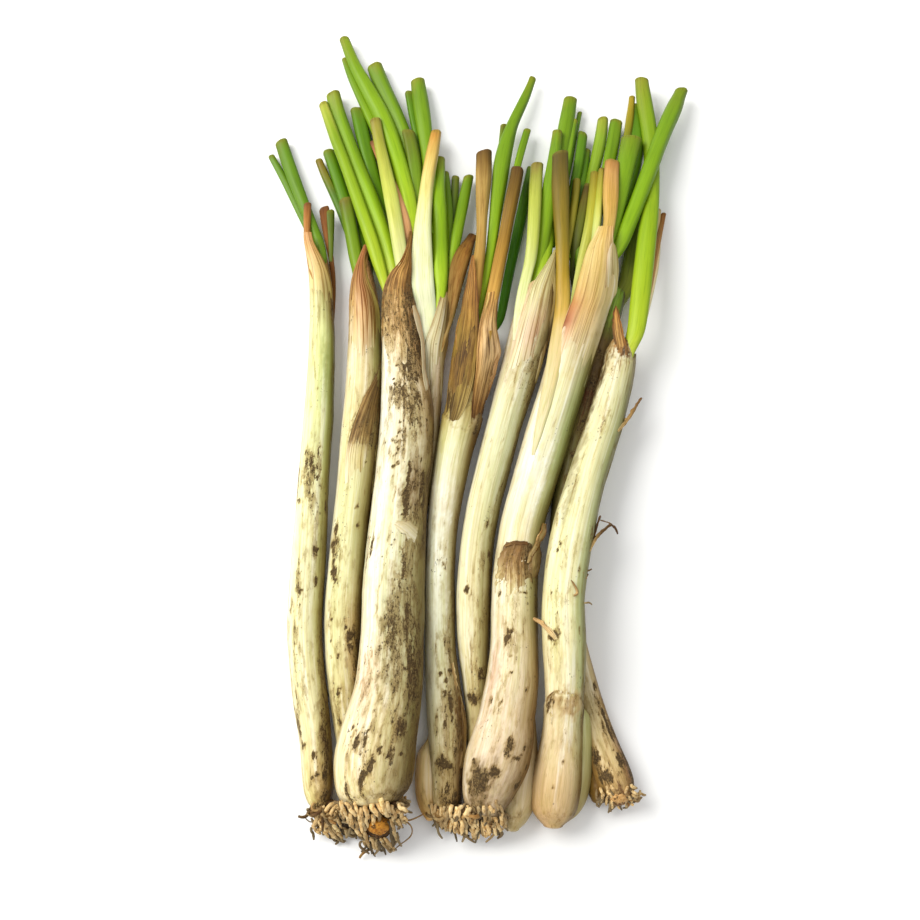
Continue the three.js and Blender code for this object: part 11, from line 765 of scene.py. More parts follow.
def rings(f, table):
    """Sheath ends that run round the neck: (points of (angle, s), height, ragged). Also returns a thin line along each
    end, which make_stalk paints as shade and soil.
    """
    S, TH = f["S"], f["TH"]
    d = np.zeros(S.shape)
    line = np.zeros(S.shape)
    for k, (pts, h, rag) in enumerate(table):
        deg = np.array([p[0] for p in pts], float)
        val = np.array([p[1] for p in pts], float)
        deg3 = np.concatenate([deg - 360, deg, deg + 360])
        val3 = np.concatenate([val] * 3)
        e = np.interp(np.degrees(TH), deg3, val3)
        e = e + (fbm(np.cos(TH) * 5, np.sin(TH) * 5, 1.7 * k, f["seed"] + 41 + k, 5, 0.62) - 0.5) * rag
        dd = e - S
        d += h * smooth(-0.15, 0.35, dd) * np.exp(-np.maximum(dd, 0) / 9)
        line = np.maximum(line, np.exp(-((dd + 0.25) / 0.35) ** 2))
    return d, line


def spline(A, t):
    """Catmull-Rom through the rows of A at the given positions (0 to rows - 1)."""
    m = len(A)
    i = np.clip(np.floor(t).astype(int), 0, m - 2)
    f = (t - i).reshape((-1,) + (1,) * (A.ndim - 1))
    p0, p1, p2, p3 = A[np.maximum(i - 1, 0)], A[i], A[i + 1], A[np.minimum(i + 2, m - 1)]
    return 0.5 * (2 * p1 + (p2 - p0) * f + (2 * p0 - 5 * p1 + 4 * p2 - p3) * f ** 2 + (3 * p1 - p0 - 3 * p2 + p3) * f ** 3)


def rows_at(table, f, U):
    """Rows of (position, left, middle, right) to a value at every point of a patch."""
    ps = np.array([r[0] for r in table], float)
    vals = [np.array([np.atleast_1d(r[k]) for r in table], float) for k in (1, 2, 3)]
    L_, M_, R_ = [np.stack([np.interp(f, ps, v[:, c]) for c in range(v.shape[1])], -1) for v in vals]
    l, r = smooth(0.05, 0.95, -U)[..., None], smooth(0.05, 0.95, U)[..., None]
    return M_ * (1 - l) * (1 - r) + L_ * l + R_ * r


def add_patch(sh, p, seed, uv, spec):
    """A layer of sheath lying on the stalk: a thin closed sheet through a grid of points."""
    G = np.array(p["grid"], float)
    nc = G.shape[1]
    mid = G[:, nc // 2]
    cum = np.r_[0, np.cumsum(np.linalg.norm(np.diff(mid, axis=0), axis=1))]
    L = cum[-1]
    n = int(max(14, L / (p.get("st", 0.41) if FINE else 0.7)))
    m = int(p.get("m", 33) * 0.84) | 1 if FINE else 13
    s = np.linspace(0, L, n)
    A = spline(G, np.interp(s, cum, np.arange(len(G), dtype=float)))
    A = spline(np.swapaxes(A, 0, 1), np.linspace(0, nc - 1, m))
    A = np.swapaxes(A, 0, 1)
    U = np.linspace(-1, 1, m)[None] * np.ones((n, 1))
    S = s[:, None] * np.ones((1, m))
    w = np.linalg.norm(A[:, -1] - A[:, 0], axis=1)[:, None] / 2 + 0.05
    rag = p.get("rag", 0.35)
    k = (fbm(S * 1.1 + 5, np.sign(U) * 3, seed, seed, 4, 0.6) - 0.5) * 2 * rag / w
    Un = np.clip(U * (1 - np.abs(U) ** 2 * np.clip(k + 0.5 * rag / w, 0, 0.9)), -1, 1)
    x = (Un + 1) / 2 * (m - 1)
    i = np.clip(np.floor(x).astype(int), 0, m - 2)
    f = (x - i)[..., None]
    r_ = np.arange(n)[:, None]
    A = A[r_, i] * (1 - f) + A[r_, i + 1] * f
    re = p.get("rag_end", 0.0)
    if re:
        pull = np.clip(fbm(U * 4 + seed, 0.3, 0.7, seed + 2, 4, 0.6) - 0.35, 0, 1)[0] * 2 * re / L
        y = (s[:, None] * (1 - pull[None] * (s[:, None] / L) ** 2)) / L * (n - 1)
        i = np.clip(np.floor(y).astype(int), 0, n - 2)
        f = (y - i)[..., None]
        c_ = np.arange(m)[None]
        A = A[i, c_] * (1 - f) + A[i + 1, c_] * f
    gu, gs = np.gradient(A, axis=1), np.gradient(A, axis=0)
    N = np.cross(gu, gs)
    N /= np.linalg.norm(N, axis=-1, keepdims=True) + 1e-9
    N = N * np.where(N[..., 2:] < 0, -1, 1)
    wref = float(p.get("wref", w.mean()))
    X = U * wref + seed * 5.3
    fade = smooth(0, 2.0, S)
    d = (fbm(X * 1.3, 1.0, S * 0.06, seed + 4, 4, 0.55) - 0.5) * p.get("fold", 0.5)
    d = d + (fbm(X * 0.9, 2.0, S * 0.9, seed + 6, 4, 0.6) - 0.5) * p.get("crinkle", 0.2)
    d = d + p.get("curl", 0.0) * np.abs(U) ** 5
    A = A + N * (d * fade)[..., None]
    tk = p.get("thick", 0.09) * np.minimum(1, 0.25 + np.minimum(np.arange(n), np.arange(n)[::-1]) / 2.0)[:, None, None]
    V = np.concatenate([A + N * tk, (A - N * tk)[:, ::-1]], 1)
    f1 = S / L
    col = rows_at([(r[0],) + tuple(lin(q) for q in r[1:]) for r in p["cols"]], f1, U)
    br = rows_at(p.get("brown", [(0, 0, 0, 0), (1, 0, 0, 0)]), f1, U)[..., 0]
    di = rows_at(p.get("dirt", [(0, .1, .1, .1), (1, .1, .1, .1)]), f1, U)[..., 0]
    ed = smooth(0.90, 1.0, np.abs(U)) * p.get("rim", 0.5)
    col = col * (1 - ed[..., None] * np.array([0.42, 0.52, 0.66]))
    col = col * np.array([0.94, 0.95, 0.93]) * p.get("gain", 1.0)
    # painted shade in the grooves of the folds: darker where the fold displacement dips, by the patch's 'lines' amount
    groove = np.clip(-(fbm(X * 1.3, 1.0, S * 0.06, seed + 4, 4, 0.55) - 0.5) * 3.2, 0, 1) * p.get("lines", 0.5)
    col = col * (1 - groove[..., None] * np.array([0.40, 0.50, 0.62]))
    fc = np.stack([X, np.full(S.shape, seed * 3.7), S], -1)
    both = lambda a: np.concatenate([a, a[:, ::-1]], 1)
    bc = np.broadcast_to(lin(p.get("bcol", spec.get("bcol", (176, 128, 66)))), col.shape)
    if p.get("fibre"):
        lo, hi = p.get("from", (-1.0, -0.5))
        bc, br = np.clip(col * p["fibre"], 0, 1), smooth(lo, hi, f1) * np.ones(br.shape)
    sh.add(press(V, 0.03), uv, dict(col=both(col), fc=both(fc), dirt=both(np.clip(di, 0, 1.8)), brown=both(np.clip(br, 0, 1)), bcol=both(bc), speck=np.full(V.shape[:2], p.get("speck", 0.3)), lines=np.full(V.shape[:2], p.get("ln", 0.8))))


def make_stalk(key, spec, seed):
    rows = STALKS[key]
    big = key in ("3", "6", "7")
    na = 110 if key == "3" else (94 if big else 82)
    step = 0.62
    if not FINE:
        na, step = na // 2, 1.0
    f = stalk_surface(rows, seed, na, step, spec.get("top"), rib=spec.get("rib", 1.0))
    f["seed"] = seed
    S, TH, rr = f["S"], f["TH"], f["rr"]
    X, Y = np.sin(TH) * rr, np.cos(TH) * rr
    ds, seam_shade_and_soil = seams(f, spec.get("seams", []))
    dr, ring_shade_and_soil = rings(f, spec.get("rings", []))
    m = blobs(f, ["dirt", "brown", "rise", "dent", "scab", "clean"], spec.get("marks", []), seed)
    g = spec.get("grime", 0.15)
    patch = fbm(X * 0.12 + 5, Y * 0.12, S * 0.035, seed + 51, 4)
    streak = fbm(X * 0.55 + 2, Y * 0.55, S * 0.09, seed + 50, 4, 0.6)
    dirt = m["dirt"] + g * smooth(0.40, 0.70, patch) * 1.15 + g * 0.34 + g * smooth(0.50, 0.74, streak) * 1.0
    # soil towards the underside, partly painted shade for the dark lower edges
    underside_shade = smooth(-0.2, 0.7, -np.cos(TH))
    dirt = dirt + underside_shade * smooth(0.45, 0.75, fbm(X * 0.2, Y * 0.2, S * 0.05, seed + 53, 4)) * 0.55
    dirt = dirt + np.maximum(seam_shade_and_soil, ring_shade_and_soil) * 0.30
    lat = np.sin(TH)
    # rim: painted shade along both edges, stronger on the right, laid in as soil and as a brown-olive film
    rim = smooth(0.62, 1.0, np.abs(lat)) * (0.55 + 0.45 * np.sign(lat))
    dirt = dirt + rim * 0.42 * smooth(0.34, 0.62, fbm(X * 0.15, Y * 0.15, S * 0.10, seed + 55, 4))
    dirt = dirt * (1 - 0.85 * np.clip(m["clean"], 0, 1))
    scab = np.clip(m["scab"], 0, 1) * smooth(0.30, 0.50, fbm(X * 0.5, Y * 0.5, S * 0.4, seed + 56, 5, 0.6) * 0.6 + m["scab"] * 0.25)
    dirt = np.maximum(dirt, scab * 0.62)
    brown = np.clip(m["brown"], 0, 1)
    f["d"] = f["d"] + ds + dr + m["rise"] * 0.45 - m["dent"] * 0.5
    fold = np.abs(fbm(X * 0.85, Y * 0.85, S * 0.035, seed + 57, 3) - 0.5) * 2
    f["d"] += brown * (0.12 + (0.30 - fold * 0.9) * spec.get("fold", 0.5))
    f["d"] += scab * (0.18 + 0.55 * (fbm(X * 0.9, Y * 0.9, S * 0.8, seed + 58, 4) - 0.4))
    c = tint_rows(f, spec["base"])
    c = apply_tints(f, c, spec.get("tints", []), seed)
    sc = scab[..., None]
    c = c * (1 - 0.8 * sc) + lin(spec.get("scol", (196, 158, 104))) * 0.8 * sc
    # the film darkens with soil and with the painted edge shade of rim
    film = np.clip(dirt * 0.36 * smooth(0.42, 0.68, fbm(X * 0.3, Y * 0.3, S * 0.12, seed + 59, 5)) + rim * 0.36, 0, 0.7)[..., None]
    c = c * (1 - film * np.array([0.42, 0.50, 0.74]))
    # painted shade: the right edge, and less so the left, darkened towards olive
    edge_shade = (0.74 * smooth(0.60, 1.0, lat) + 0.42 * smooth(0.80, 1.0, -lat))[..., None] * spec.get("edge", 1.0)
    c = c * (1 - edge_shade) + c * lin((146, 124, 64)) * edge_shade * 1.1
    c = c * np.array([0.940, 0.970, 1.04])
    # a dark line along each sheath edge: painted shade under the overlapping edge as well as soil
    c = c * (1 - 0.22 * np.maximum(seam_shade_and_soil, ring_shade_and_soil)[..., None] * np.array([0.6, 0.8, 1.2]))
    P = press(skin_points(f))
    fc = np.stack([X, Y, S], -1)
    fc = fc + np.array([13.7 * seed, 7.1 * seed, 0])
    bc = np.broadcast_to(lin(spec.get("bcol", (176, 128, 66))), c.shape)
    at = dict(col=c, fc=fc, dirt=np.clip(dirt, 0, 1.8), brown=brown, bcol=bc, speck=np.full(S.shape, spec.get("speck", 0.35)))
    at["lines"] = 0.20 + spec.get("lines", 0.6) * smooth(f["top"] - 34, f["top"] - 6, S)
    sh = Shells()
    # inner face of the open top, then down inside
    n_in = 9
    q = dict(f)
    Sd_, N_, C_ = f["at"](f["Sd"], S[-1]), f["at"](f["N"], S[-1]), f["at"](f["C"], S[-1])
    inner = []
    for i in range(n_in):
        back = S[-1] - (i ** 1.4) * 0.5
        thick = 0.28 if i else 0.12
        a2 = np.interp(back, f["s"], f["A"]) - thick + f["d"][-1]
        b2 = np.interp(back, f["s"], f["B"]) - thick + f["d"][-1]
        Ci = f["at"](f["C"], back)
        inner.append(Ci + Sd_ * (np.sin(f["th"]) * a2)[:, None] + N_ * (np.cos(f["th"]) * b2)[:, None])
    P2 = np.concatenate([P, np.stack(inner)])
    at2 = {k: np.concatenate([v, np.repeat(v[-1:], n_in, 0)]) for k, v in at.items()}
    at2["dirt"][-n_in:] = 0.1
    depth = spec.get("cap", 0.45) * f["a"][0].mean()
    P3, at3 = end_cap(P2, at2, 8 if FINE else 4, depth)
    sh.add(P3, (0.0, 0.0, 0.72, 1.0), at3)
    for j, p in enumerate(PATCHES.get(key, [])):
        k = len(PATCHES[key])
        add_patch(sh, p, seed + 200 + j, (0.74, 0.32 + 0.68 * j / k, 0.82, 0.32 + 0.68 * (j + 0.9) / k), spec)
    # heart: the inner sheaths that fill the opening
    low = min(v for _, v in spec["top"])
    hs = np.linspace(max(low - 16, 0), min(low + spec.get("heart", 2.5), f["L"] - 0.3), 26)
    hth = np.linspace(-math.pi, math.pi, 36, endpoint=False)
    HS, HT = np.meshgrid(hs, hth, indexing="ij")
    tt = (HS - hs[0]) / (hs[-1] - hs[0])
    k = np.sqrt(np.clip(1 - np.clip((tt - 0.6) / 0.4, 0, 1) ** 2.2, 0.0005, 1)) * 0.84
    ah, bh = np.interp(HS, f["s"], f["A"]) * k, np.interp(HS, f["s"], f["B"]) * k
    HP = f["at"](f["C"], HS) + f["at"](f["Sd"], HS) * (np.sin(HT) * ah)[..., None] + f["at"](f["N"], HS) * (np.cos(HT) * bh)[..., None]
    hc = np.broadcast_to(lin(spec.get("heart_col", (238, 236, 196))), HP.shape)
    zz = np.zeros(HS.shape)
    sh.add(press(HP), (0.74, 0.0, 0.82, 0.3), dict(col=hc, fc=np.stack([np.sin(HT) * 3, np.cos(HT) * 3, HS], -1), dirt=zz, brown=zz, bcol=hc, speck=zz))
    # daughter bulb
    if key in LOBES:
        lb = spec["lobe"]
        g2 = stalk_surface(LOBES[key], seed + 9, 72 if FINE else 36, 0.5 if FINE else 1.0, None, lobe=True, rib=0.8)
        g2["seed"] = seed + 9
        m2 = blobs(g2, ["dirt", "brown", "rise", "dent"], lb.get("marks", []), seed + 9)
        X2, Y2 = np.sin(g2["TH"]) * g2["rr"], np.cos(g2["TH"]) * g2["rr"]
        c2 = tint_rows(g2, lb["base"])
        tip = smooth(g2["L"] - 7, g2["L"] - 1, g2["S"])
        g2["a"] = g2["a"] * (1 - 0.75 * tip ** 2)
        g2["b"] = g2["b"] * (1 - 0.75 * tip ** 2)
        gd = spec.get("grime", 0.15)
        dirt2 = m2["dirt"] + gd * smooth(0.42, 0.72, fbm(X2 * 0.14, Y2 * 0.14, g2["S"] * 0.05, seed + 61, 4)) + gd * 0.25
        P4 = press(skin_points(g2))
        at4 = dict(col=c2, fc=np.stack([X2 + 40, Y2, g2["S"]], -1), dirt=np.clip(dirt2, 0, 1.8), brown=np.clip(m2["brown"], 0, 1), bcol=np.broadcast_to(lin(spec.get("bcol", (176, 128, 66))), c2.shape), speck=np.full(g2["S"].shape, spec.get("speck", 0.35)))
        P4, at4 = end_cap(P4, at4, 7 if FINE else 4, 0.55 * g2["a"][0].mean())
        sh.add(P4, (0.84, 0.0, 1.0, 1.0), at4)
    node = NODE_OF[key]
    ob = sh.build(node + "_skin", SKIN, "stalk_skin", [node])
    return f


# ------------------------------------------------------------------ leaves
def leaf_shell(sh, rows, stops, seed, uv, dry=0.0, dirt=0.0, flat=0.62, open_tip=True, twist=0.0, dark_side=0.0, gain=(0.78, 0.70, 0.42)):
    s, Q = smooth_line(rows, sig=2.6, sig_r=1.8)
    C, A = Q[:, :3], Q[:, 3]
    n = int(min(110, max(30, s[-1] / 0.9))) if FINE else int(max(16, s[-1] / 2.0))
    na = 22 if FINE else 14
    s = np.array(s)
    sl = np.linspace(0, s[-1] - 0.9, n)
    T, Sd, N = frames(C)
    g = lambda arr: np.stack([np.interp(sl, s, arr[:, c]) for c in range(3)], -1)
    C2, S2, N2 = g(C), g(Sd), g(N)
    a = np.interp(sl, s, A)
    th = np.linspace(-math.pi, math.pi, na, endpoint=False)
    rng = np.random.default_rng(seed)
    ph = rng.uniform(0, 2 * math.pi)
    keel = rng.uniform(0.012, 0.035)
    tw = (sl / s[-1])[:, None] * twist + rng.normal() * 0.15
    TH = th[None] + 0 * sl[:, None]
    sn, cs = np.sin(TH), np.cos(TH)
    rmod = 1 + keel * np.cos(3 * TH + ph) + 0.03 * np.cos(5 * TH - ph * 1.7)
    rmod += (fbm(sn * 1.5 + seed, cs * 1.5, sl[:, None] * 0.05, seed, 3) - 0.5) * (0.10 + 0.22 * dry)
    rmod += (fbm(sn * 5, cs * 5, sl[:, None] * 0.03, seed + 1, 3) - 0.5) * (0.05 + 0.22 * dry)
    fl = flat * (1 + (fbm(sl * 0.07, seed, 0.5, seed + 2, 2) - 0.5) * 0.4)[:, None]
    if Q.shape[1] > 4:
        fl = fl * np.interp(sl, s, Q[:, 4])[:, None]
    groove = np.exp(-((TH - 0.25 * math.sin(ph)) / 0.5) ** 2) * (0.05 + 0.05 * math.sin(ph * 3))
    b = a[:, None] * fl
    x = sn * a[:, None] * rmod
    y = cs * b * (rmod - groove)
    xr, yr = x * np.cos(tw) - y * np.sin(tw), x * np.sin(tw) + y * np.cos(tw)
    P = C2[:, None] + S2[:, None] * xr[..., None] + N2[:, None] * yr[..., None]
    t = (sl / s[-1])[:, None] * np.ones(na)
    ps = np.array([q[0] for q in stops])
    cc = np.stack([lin(q[1]) for q in stops])
    col = np.stack([np.interp(t + (fbm(sn * 1.3, cs * 1.3, sl[:, None] * 0.08, seed + 4, 3) - 0.5) * 0.16, ps, cc[:, i]) for i in range(3)], -1)
    if dark_side:
        k = smooth(-0.2, 0.8, np.sin(TH) * np.sign(dark_side))[..., None] * abs(dark_side)
        col = col * (1 - k * np.array([0.62, 0.46, 0.66]))
    # painted shade along the leaf's edges, stronger on the right
    side = (0.34 * smooth(0.45, 1.0, sn) + 0.20 * smooth(0.60, 1.0, -sn))[..., None]
    col = col * (1 - side * np.array([1.0, 0.82, 1.0])) * np.array(gain)
    fc = np.stack([sn * a[:, None] + seed * 3.1, cs * a[:, None], np.repeat(sl[:, None], na, 1)], -1)
    dr = np.full(t.shape, float(dry))
    # the cut tip closes in a shallow rounded end, a little dried at its rim
    rim = smooth(s[-1] - 2.0, s[-1] - 0.9, sl)[:, None, None] * np.ones(na)[None, :, None]
    rimc = lin((128, 128, 36)) if dry < 0.5 else lin((96, 64, 22))
    col = col * (1 - 0.4 * rim) + rimc * 0.4 * rim
    dr = np.maximum(dr, rim[..., 0] * 0.6)
    ring = P[-1]
    c0 = ring.mean(0)
    tdir = T[-1]
    # cut not quite square
    tilt = rng.normal() * 0.13
    P[-1] = ring + tdir * ((ring - c0) @ S2[-1])[:, None] * tilt
    P[-2] = P[-2] + tdir * ((P[-2] - P[-2].mean(0)) @ S2[-1])[:, None] * tilt * 0.6
    ring, c0 = P[-1], P[-1].mean(0)
    caps, ccol = [], []
    steps = [(0.985, 0.22), (0.94, 0.46), (0.86, 0.68), (0.73, 0.85), (0.54, 0.95), (0.28, 0.98), (0.02, 0.95)]
    for k, h in steps:
        caps.append(c0 + (ring - c0) * k + tdir * h * min(1.15, a[-1] * 0.75))
        shade = 0.72 + 0.28 * k
        ccol.append(col[-1] * shade)
    P = np.concatenate([P, np.stack(caps)])
    col = np.concatenate([col, np.stack(ccol)])
    e = len(steps)
    fc = np.concatenate([fc, np.repeat(fc[-1:], e, 0)])
    dr = np.concatenate([dr, np.repeat(dr[-1:], e, 0)])
    P = press(P, 0.03)
    sh.add(P, uv, dict(col=col, fc=fc, brown=dr, dirt=np.full(dr.shape, float(dirt))))


LEAF_GAIN = {"green_leaf": (0.68, 0.70, 0.35), "pale_leaf": (0.78, 0.76, 0.66), "dried_leaf": (0.80, 0.75, 0.64)}


def make_leaf(name, spec, seed, node=None):
    sh = Shells()
    gain = spec.get("gain", LEAF_GAIN[spec["slot"]])
    leaf_shell(sh, spec["rows"], spec["stops"], seed, (0, 0, 1, 1), spec.get("dry", 0), spec.get("dirt", 0), spec.get("flat", 0.62), twist=spec.get("twist", 0), dark_side=spec.get("dark", 0), gain=gain)
    for i, ex in enumerate(spec.get("extra", [])):
        leaf_shell(sh, ex["rows"], ex["stops"], seed + 100 + i, (0, 0, 1, 1), ex.get("dry", 0), ex.get("dirt", 0), ex.get("flat", 0.62))
    k = len(sh.parts)
    if k > 1:
        sh.parts = [(V, (j / k, 0, (j + 0.96) / k, 1), a, w, fl) for j, (V, uv, a, w, fl) in enumerate(sh.parts)]
    sh.build(name, LEAF, spec["slot"], [node] if node else ())


# ------------------------------------------------------------------ roots
def tube(sh, pts, rad, col, seed, uv, dirt, flat=0.8):
    pts = np.array(pts)
    T = np.gradient(pts, axis=0)
    T /= np.linalg.norm(T, axis=1, keepdims=True) + 1e-9
    ref = np.array([0.3, 0.2, 0.93])
    S = np.cross(T, ref)
    S /= np.linalg.norm(S, axis=1, keepdims=True) + 1e-9
    N = np.cross(S, T)
    na = 6
    th = np.linspace(0, 2 * math.pi, na, endpoint=False)
    r = np.asarray(rad)[:, None] * (1 + 0.07 * (vnoise(np.arange(len(pts))[:, None] * 0.9, th[None] * 1.1, seed, seed) - 0.5))
    P = pts[:, None] + S[:, None] * (np.cos(th) * r)[..., None] + N[:, None] * (np.sin(th) * r * flat)[..., None]
    P = np.concatenate([np.repeat(pts[:1, None], na, 1), P, np.repeat(pts[-1:, None] + T[-1] * rad[-1] * 0.4, na, 1)])
    s = np.arange(len(P)) * 0.5
    fc = np.stack([np.broadcast_to(np.cos(th) * 0.5 + seed * 1.7, P.shape[:2]), np.broadcast_to(np.sin(th) * 0.5, P.shape[:2]), np.broadcast_to(s[:, None], P.shape[:2])], -1)
    sh.add(press(P, 0.03), uv, dict(col=np.broadcast_to(col, P.shape), fc=fc, dirt=np.full(P.shape[:2], dirt)))


def make_roots(name, spec, seed, node):
    """A tuft of short thick curly roots round a root plate."""
    rng = np.random.default_rng(seed)
    sh = Shells()
    c = np.array(spec["c"], float)
    rx, rz = spec["r"]
    # root plate: a lumpy cushion
    na, n = 40, 14
    th = np.linspace(-math.pi, math.pi, na, endpoint=False)
    ph = np.linspace(-math.pi / 2 + 0.01, math.pi / 2 - 0.01, n)
    PH, TH = np.meshgrid(ph, th, indexing="ij")
    nz = 1 + (fbm(np.cos(TH) * 2 + seed, np.sin(TH) * 2, PH * 2, seed, 4) - 0.5) * 0.5
    pl = spec.get("disc", (0.0, 0.0, 0.0, rx * 0.9, spec.get("thick", 1.6), rz * 0.9))
    V = np.stack([np.cos(PH) * np.sin(TH) * pl[3] * nz, np.sin(PH) * pl[4] * nz, np.cos(PH) * np.cos(TH) * pl[5] * nz], -1) + c + np.array(pl[:3])
    pc = lin(spec.get("plate", (168, 112, 44)))
    sh.add(press(V), (0, 0, 1, 1), dict(col=np.broadcast_to(pc, V.shape), fc=V + seed, dirt=np.full(V.shape[:2], 0.55)))
    # dark lumps behind the roots: partly a dark root mass, partly painted shade for the shadowed depth of the tuft
    for x_, y_, z_, a_, b_, h_, colr in spec.get("root_mass_and_shade", []):
        nz = 1 + (fbm(np.cos(TH) * 3 + seed + x_, np.sin(TH) * 3, PH * 3, seed + 3, 4) - 0.5) * 0.7
        V = np.stack([np.cos(PH) * np.sin(TH) * a_ * nz, np.sin(PH) * b_ * nz, np.cos(PH) * np.cos(TH) * h_ * nz], -1) + np.array([x_, y_, z_])
        sh.add(press(V), (0, 0, 1, 1), dict(col=np.broadcast_to(lin(colr), V.shape), fc=V + seed, dirt=np.full(V.shape[:2], 0.9)))
    count = spec["n"] if FINE else spec["n"] // 2
    sx, sz = spec.get("spread", (0.5, 0.4))
    for i in range(count):
        ang = rng.uniform(-math.pi, math.pi)
        q = math.sqrt(rng.uniform(0.12, 1.0))
        p = c + np.array([math.sin(ang) * rx * q, rng.uniform(-0.5, 0.7) * q - (1 - q) * 0.8, math.cos(ang) * rz * q])
        out = np.array([math.sin(ang) * (0.1 + sx * q), -rng.uniform(0.6, 1.1), math.cos(ang) * (0.1 + sz * q)]) + np.array(spec.get("lean", (0, 0, 0)))
        out += rng.normal(size=3) * 0.16
        out /= np.linalg.norm(out)
        L = spec["len"] * rng.uniform(0.5, 1.2)
        m = 13
        st = L / m
        axis = rng.normal(size=3) + np.array([0.0, 0.0, 0.6]) * rng.choice([-1, 1])
        axis /= np.linalg.norm(axis)
        turn = abs(rng.normal()) * spec.get("curl", 0.34) * 0.55 + 0.03
        hook = rng.uniform(1.0, 2.6)
        pts, rad = [], []
        r0 = spec["rad"] * rng.uniform(0.72, 1.22)
        d = out
        for k in range(m + 1):
            pts.append([p[0], p[1], max(p[2], r0 * 0.9)])
            rad.append(r0 * (1 - 0.30 * (k / m) ** 2))
            p = p + d * st
            w = axis * turn * (1 + hook * k / m)
            d = d + np.cross(w, d) + rng.normal(size=3) * 0.07 + np.array([0, 0, -0.05])
            if p[2] < r0 * 1.1 and d[2] < 0:
                d[2] *= -0.2
            d /= np.linalg.norm(d)
        base = np.array(spec["cols"][rng.integers(len(spec["cols"]))], float)
        col = lin(np.clip(base * rng.uniform(*spec.get("tone", (0.82, 1.08))), 0, 255))
        tube(sh, pts, rad, col, seed + i, (0, 0, 1, 1), rng.uniform(0.05, 0.6))
    # each stroke's last number scales its colour; the strands set deeper in the tuft have lower values, painted shade
    # for its depth
    for j, (pts, r0, tone) in enumerate(spec.get("strokes", [])):
        Q = np.array(pts, float)
        Q = spline(Q, np.linspace(0, len(Q) - 1, 15))
        t = np.linspace(0, 1, 15)
        wig = (np.stack([fbm(t * 2.2 + j * 7.1, c_ * 3.3, 1.5, seed + 5, 3) for c_ in range(3)], -1) - 0.5) * min(0.6, r0 * 1.0)
        Q = Q + wig
        Q[:, 2] = np.maximum(Q[:, 2], r0 * 0.8)
        rad = r0 * (0.80 + 0.26 * fbm(t * 1.6 + j, 0.5, 0.5, seed + 8, 2)) * (1 - 0.35 * smooth(0.75, 1.0, t)) * (1 - 0.25 * smooth(0.2, 0.0, t))
        base = np.array(spec["cols"][rng.integers(len(spec["cols"]))], float)
        base = 0.30 * base + 0.70 * np.array([240, 216, 166.0])
        tube(sh, Q, rad, lin(np.clip(base * tone * 1.04, 0, 255)), seed + 300 + j, (0, 0, 1, 1), rng.uniform(0.0, 0.3), flat=0.82)
    for pts, r0 in spec.get("hairs", []):
        s, Q = smooth_line([list(q) for q in pts], step=0.4, sig=1.0)
        k = max(12, int(s[-1] / 0.5))
        Q = np.stack([np.interp(np.linspace(0, s[-1], k), s, Q[:, i]) for i in range(3)], -1)
        tube(sh, Q, np.linspace(r0, r0 * 0.6, k), lin((150, 118, 66)), seed + 999, (0, 0, 1, 1), 0.1)
    k = len(sh.parts)
    w = int(math.ceil(math.sqrt(k)))
    sh.parts = [(V, ((j % w) / w, (j // w) / w, (j % w + 0.94) / w, (j // w + 0.94) / w), a, wr, fl) for j, (V, uv, a, wr, fl) in enumerate(sh.parts)]
    sh.build(name, ROOT, "roots", [node] if node else ())


# ------------------------------------------------------------------ loose dry skins
def make_skin(name, spec, seed, node=None):
    """Thin curling sheets: each has a spine and, at each point, a half width and a bend."""
    sh = Shells()
    parts = spec["sheets"]
    for i, p in enumerate(parts):
        s, Q = smooth_line(p["rows"], step=0.2, sig=0.8, sig_r=0.6)
        n = int(max(16, s[-1] / 0.28)) if FINE else 16
        sl = np.linspace(0, s[-1], n)
        C = np.stack([np.interp(sl, s, Q[:, c]) for c in range(3)], -1)
        W = np.interp(sl, s, Q[:, 3])
        T, Sd, N = frames(C)
        up = np.array(p.get("up", (0, 0, 1.0)), float)
        Sd = np.cross(T, up)
        Sd /= np.linalg.norm(Sd, axis=1, keepdims=True)
        N = np.cross(Sd, T)
        m = 21 if FINE else 11
        u = np.linspace(-1, 1, m)
        bend = p.get("bend", 1.2)
        U = u[None] * np.ones((n, 1))
        rag = (fbm(np.sign(U) * 3.0 + seed, sl[:, None] * 0.9, i, seed + 71, 4) - 0.5) * 1.1
        wid = W[:, None] * (1 + rag * np.abs(U) ** 2)
        ang = U * bend * (1 + 0.4 * (fbm(sl[:, None] * 0.25, seed, 2.2, seed + 5, 2) - 0.5))
        R = wid / max(bend, 0.05)
        x = R * np.sin(ang)
        y = R * (np.cos(ang) - 1)
        wr = (fbm(U * 2.2 + seed, sl[:, None] * 0.35, 1.5, seed + 9, 4) - 0.5) * p.get("crinkle", 0.8)
        mid = C[:, None] + Sd[:, None] * x[..., None] + N[:, None] * (y + wr)[..., None]
        tk = p.get("thick", 0.10)
        # front and back faces in one closed grid, pinched shut at both ends
        tks = tk * np.sqrt(np.clip(np.minimum(np.arange(n), np.arange(n)[::-1]) / 2.0, 0.02, 1))[:, None, None]
        top = mid + N[:, None] * tks
        bot = mid - N[:, None] * tks
        V = np.concatenate([top, bot[:, ::-1]], 1)
        stops = p["stops"]
        ps = np.array([q[0] for q in stops])
        cc = np.stack([lin(q[1]) for q in stops])
        t = (sl / s[-1])[:, None] * np.ones(2 * m)
        col = np.stack([np.interp(t, ps, cc[:, k]) for k in range(3)], -1)
        uu = np.concatenate([u, u[::-1]])
        fc = np.stack([np.broadcast_to(uu * 2.5 + seed * 2.3 + i * 9, t.shape), np.full(t.shape, seed * 1.1), np.repeat(sl[:, None], 2 * m, 1)], -1)
        sh.add(press(V, 0.03), (i / len(parts), 0, (i + 0.96) / len(parts), 1), dict(col=col, fc=fc, dirt=np.full(t.shape, p.get("dirt", 0.3))), wrap=True)
    sh.build(name, DRY, spec.get("slot", "dry_skin"), [node] if node else ())


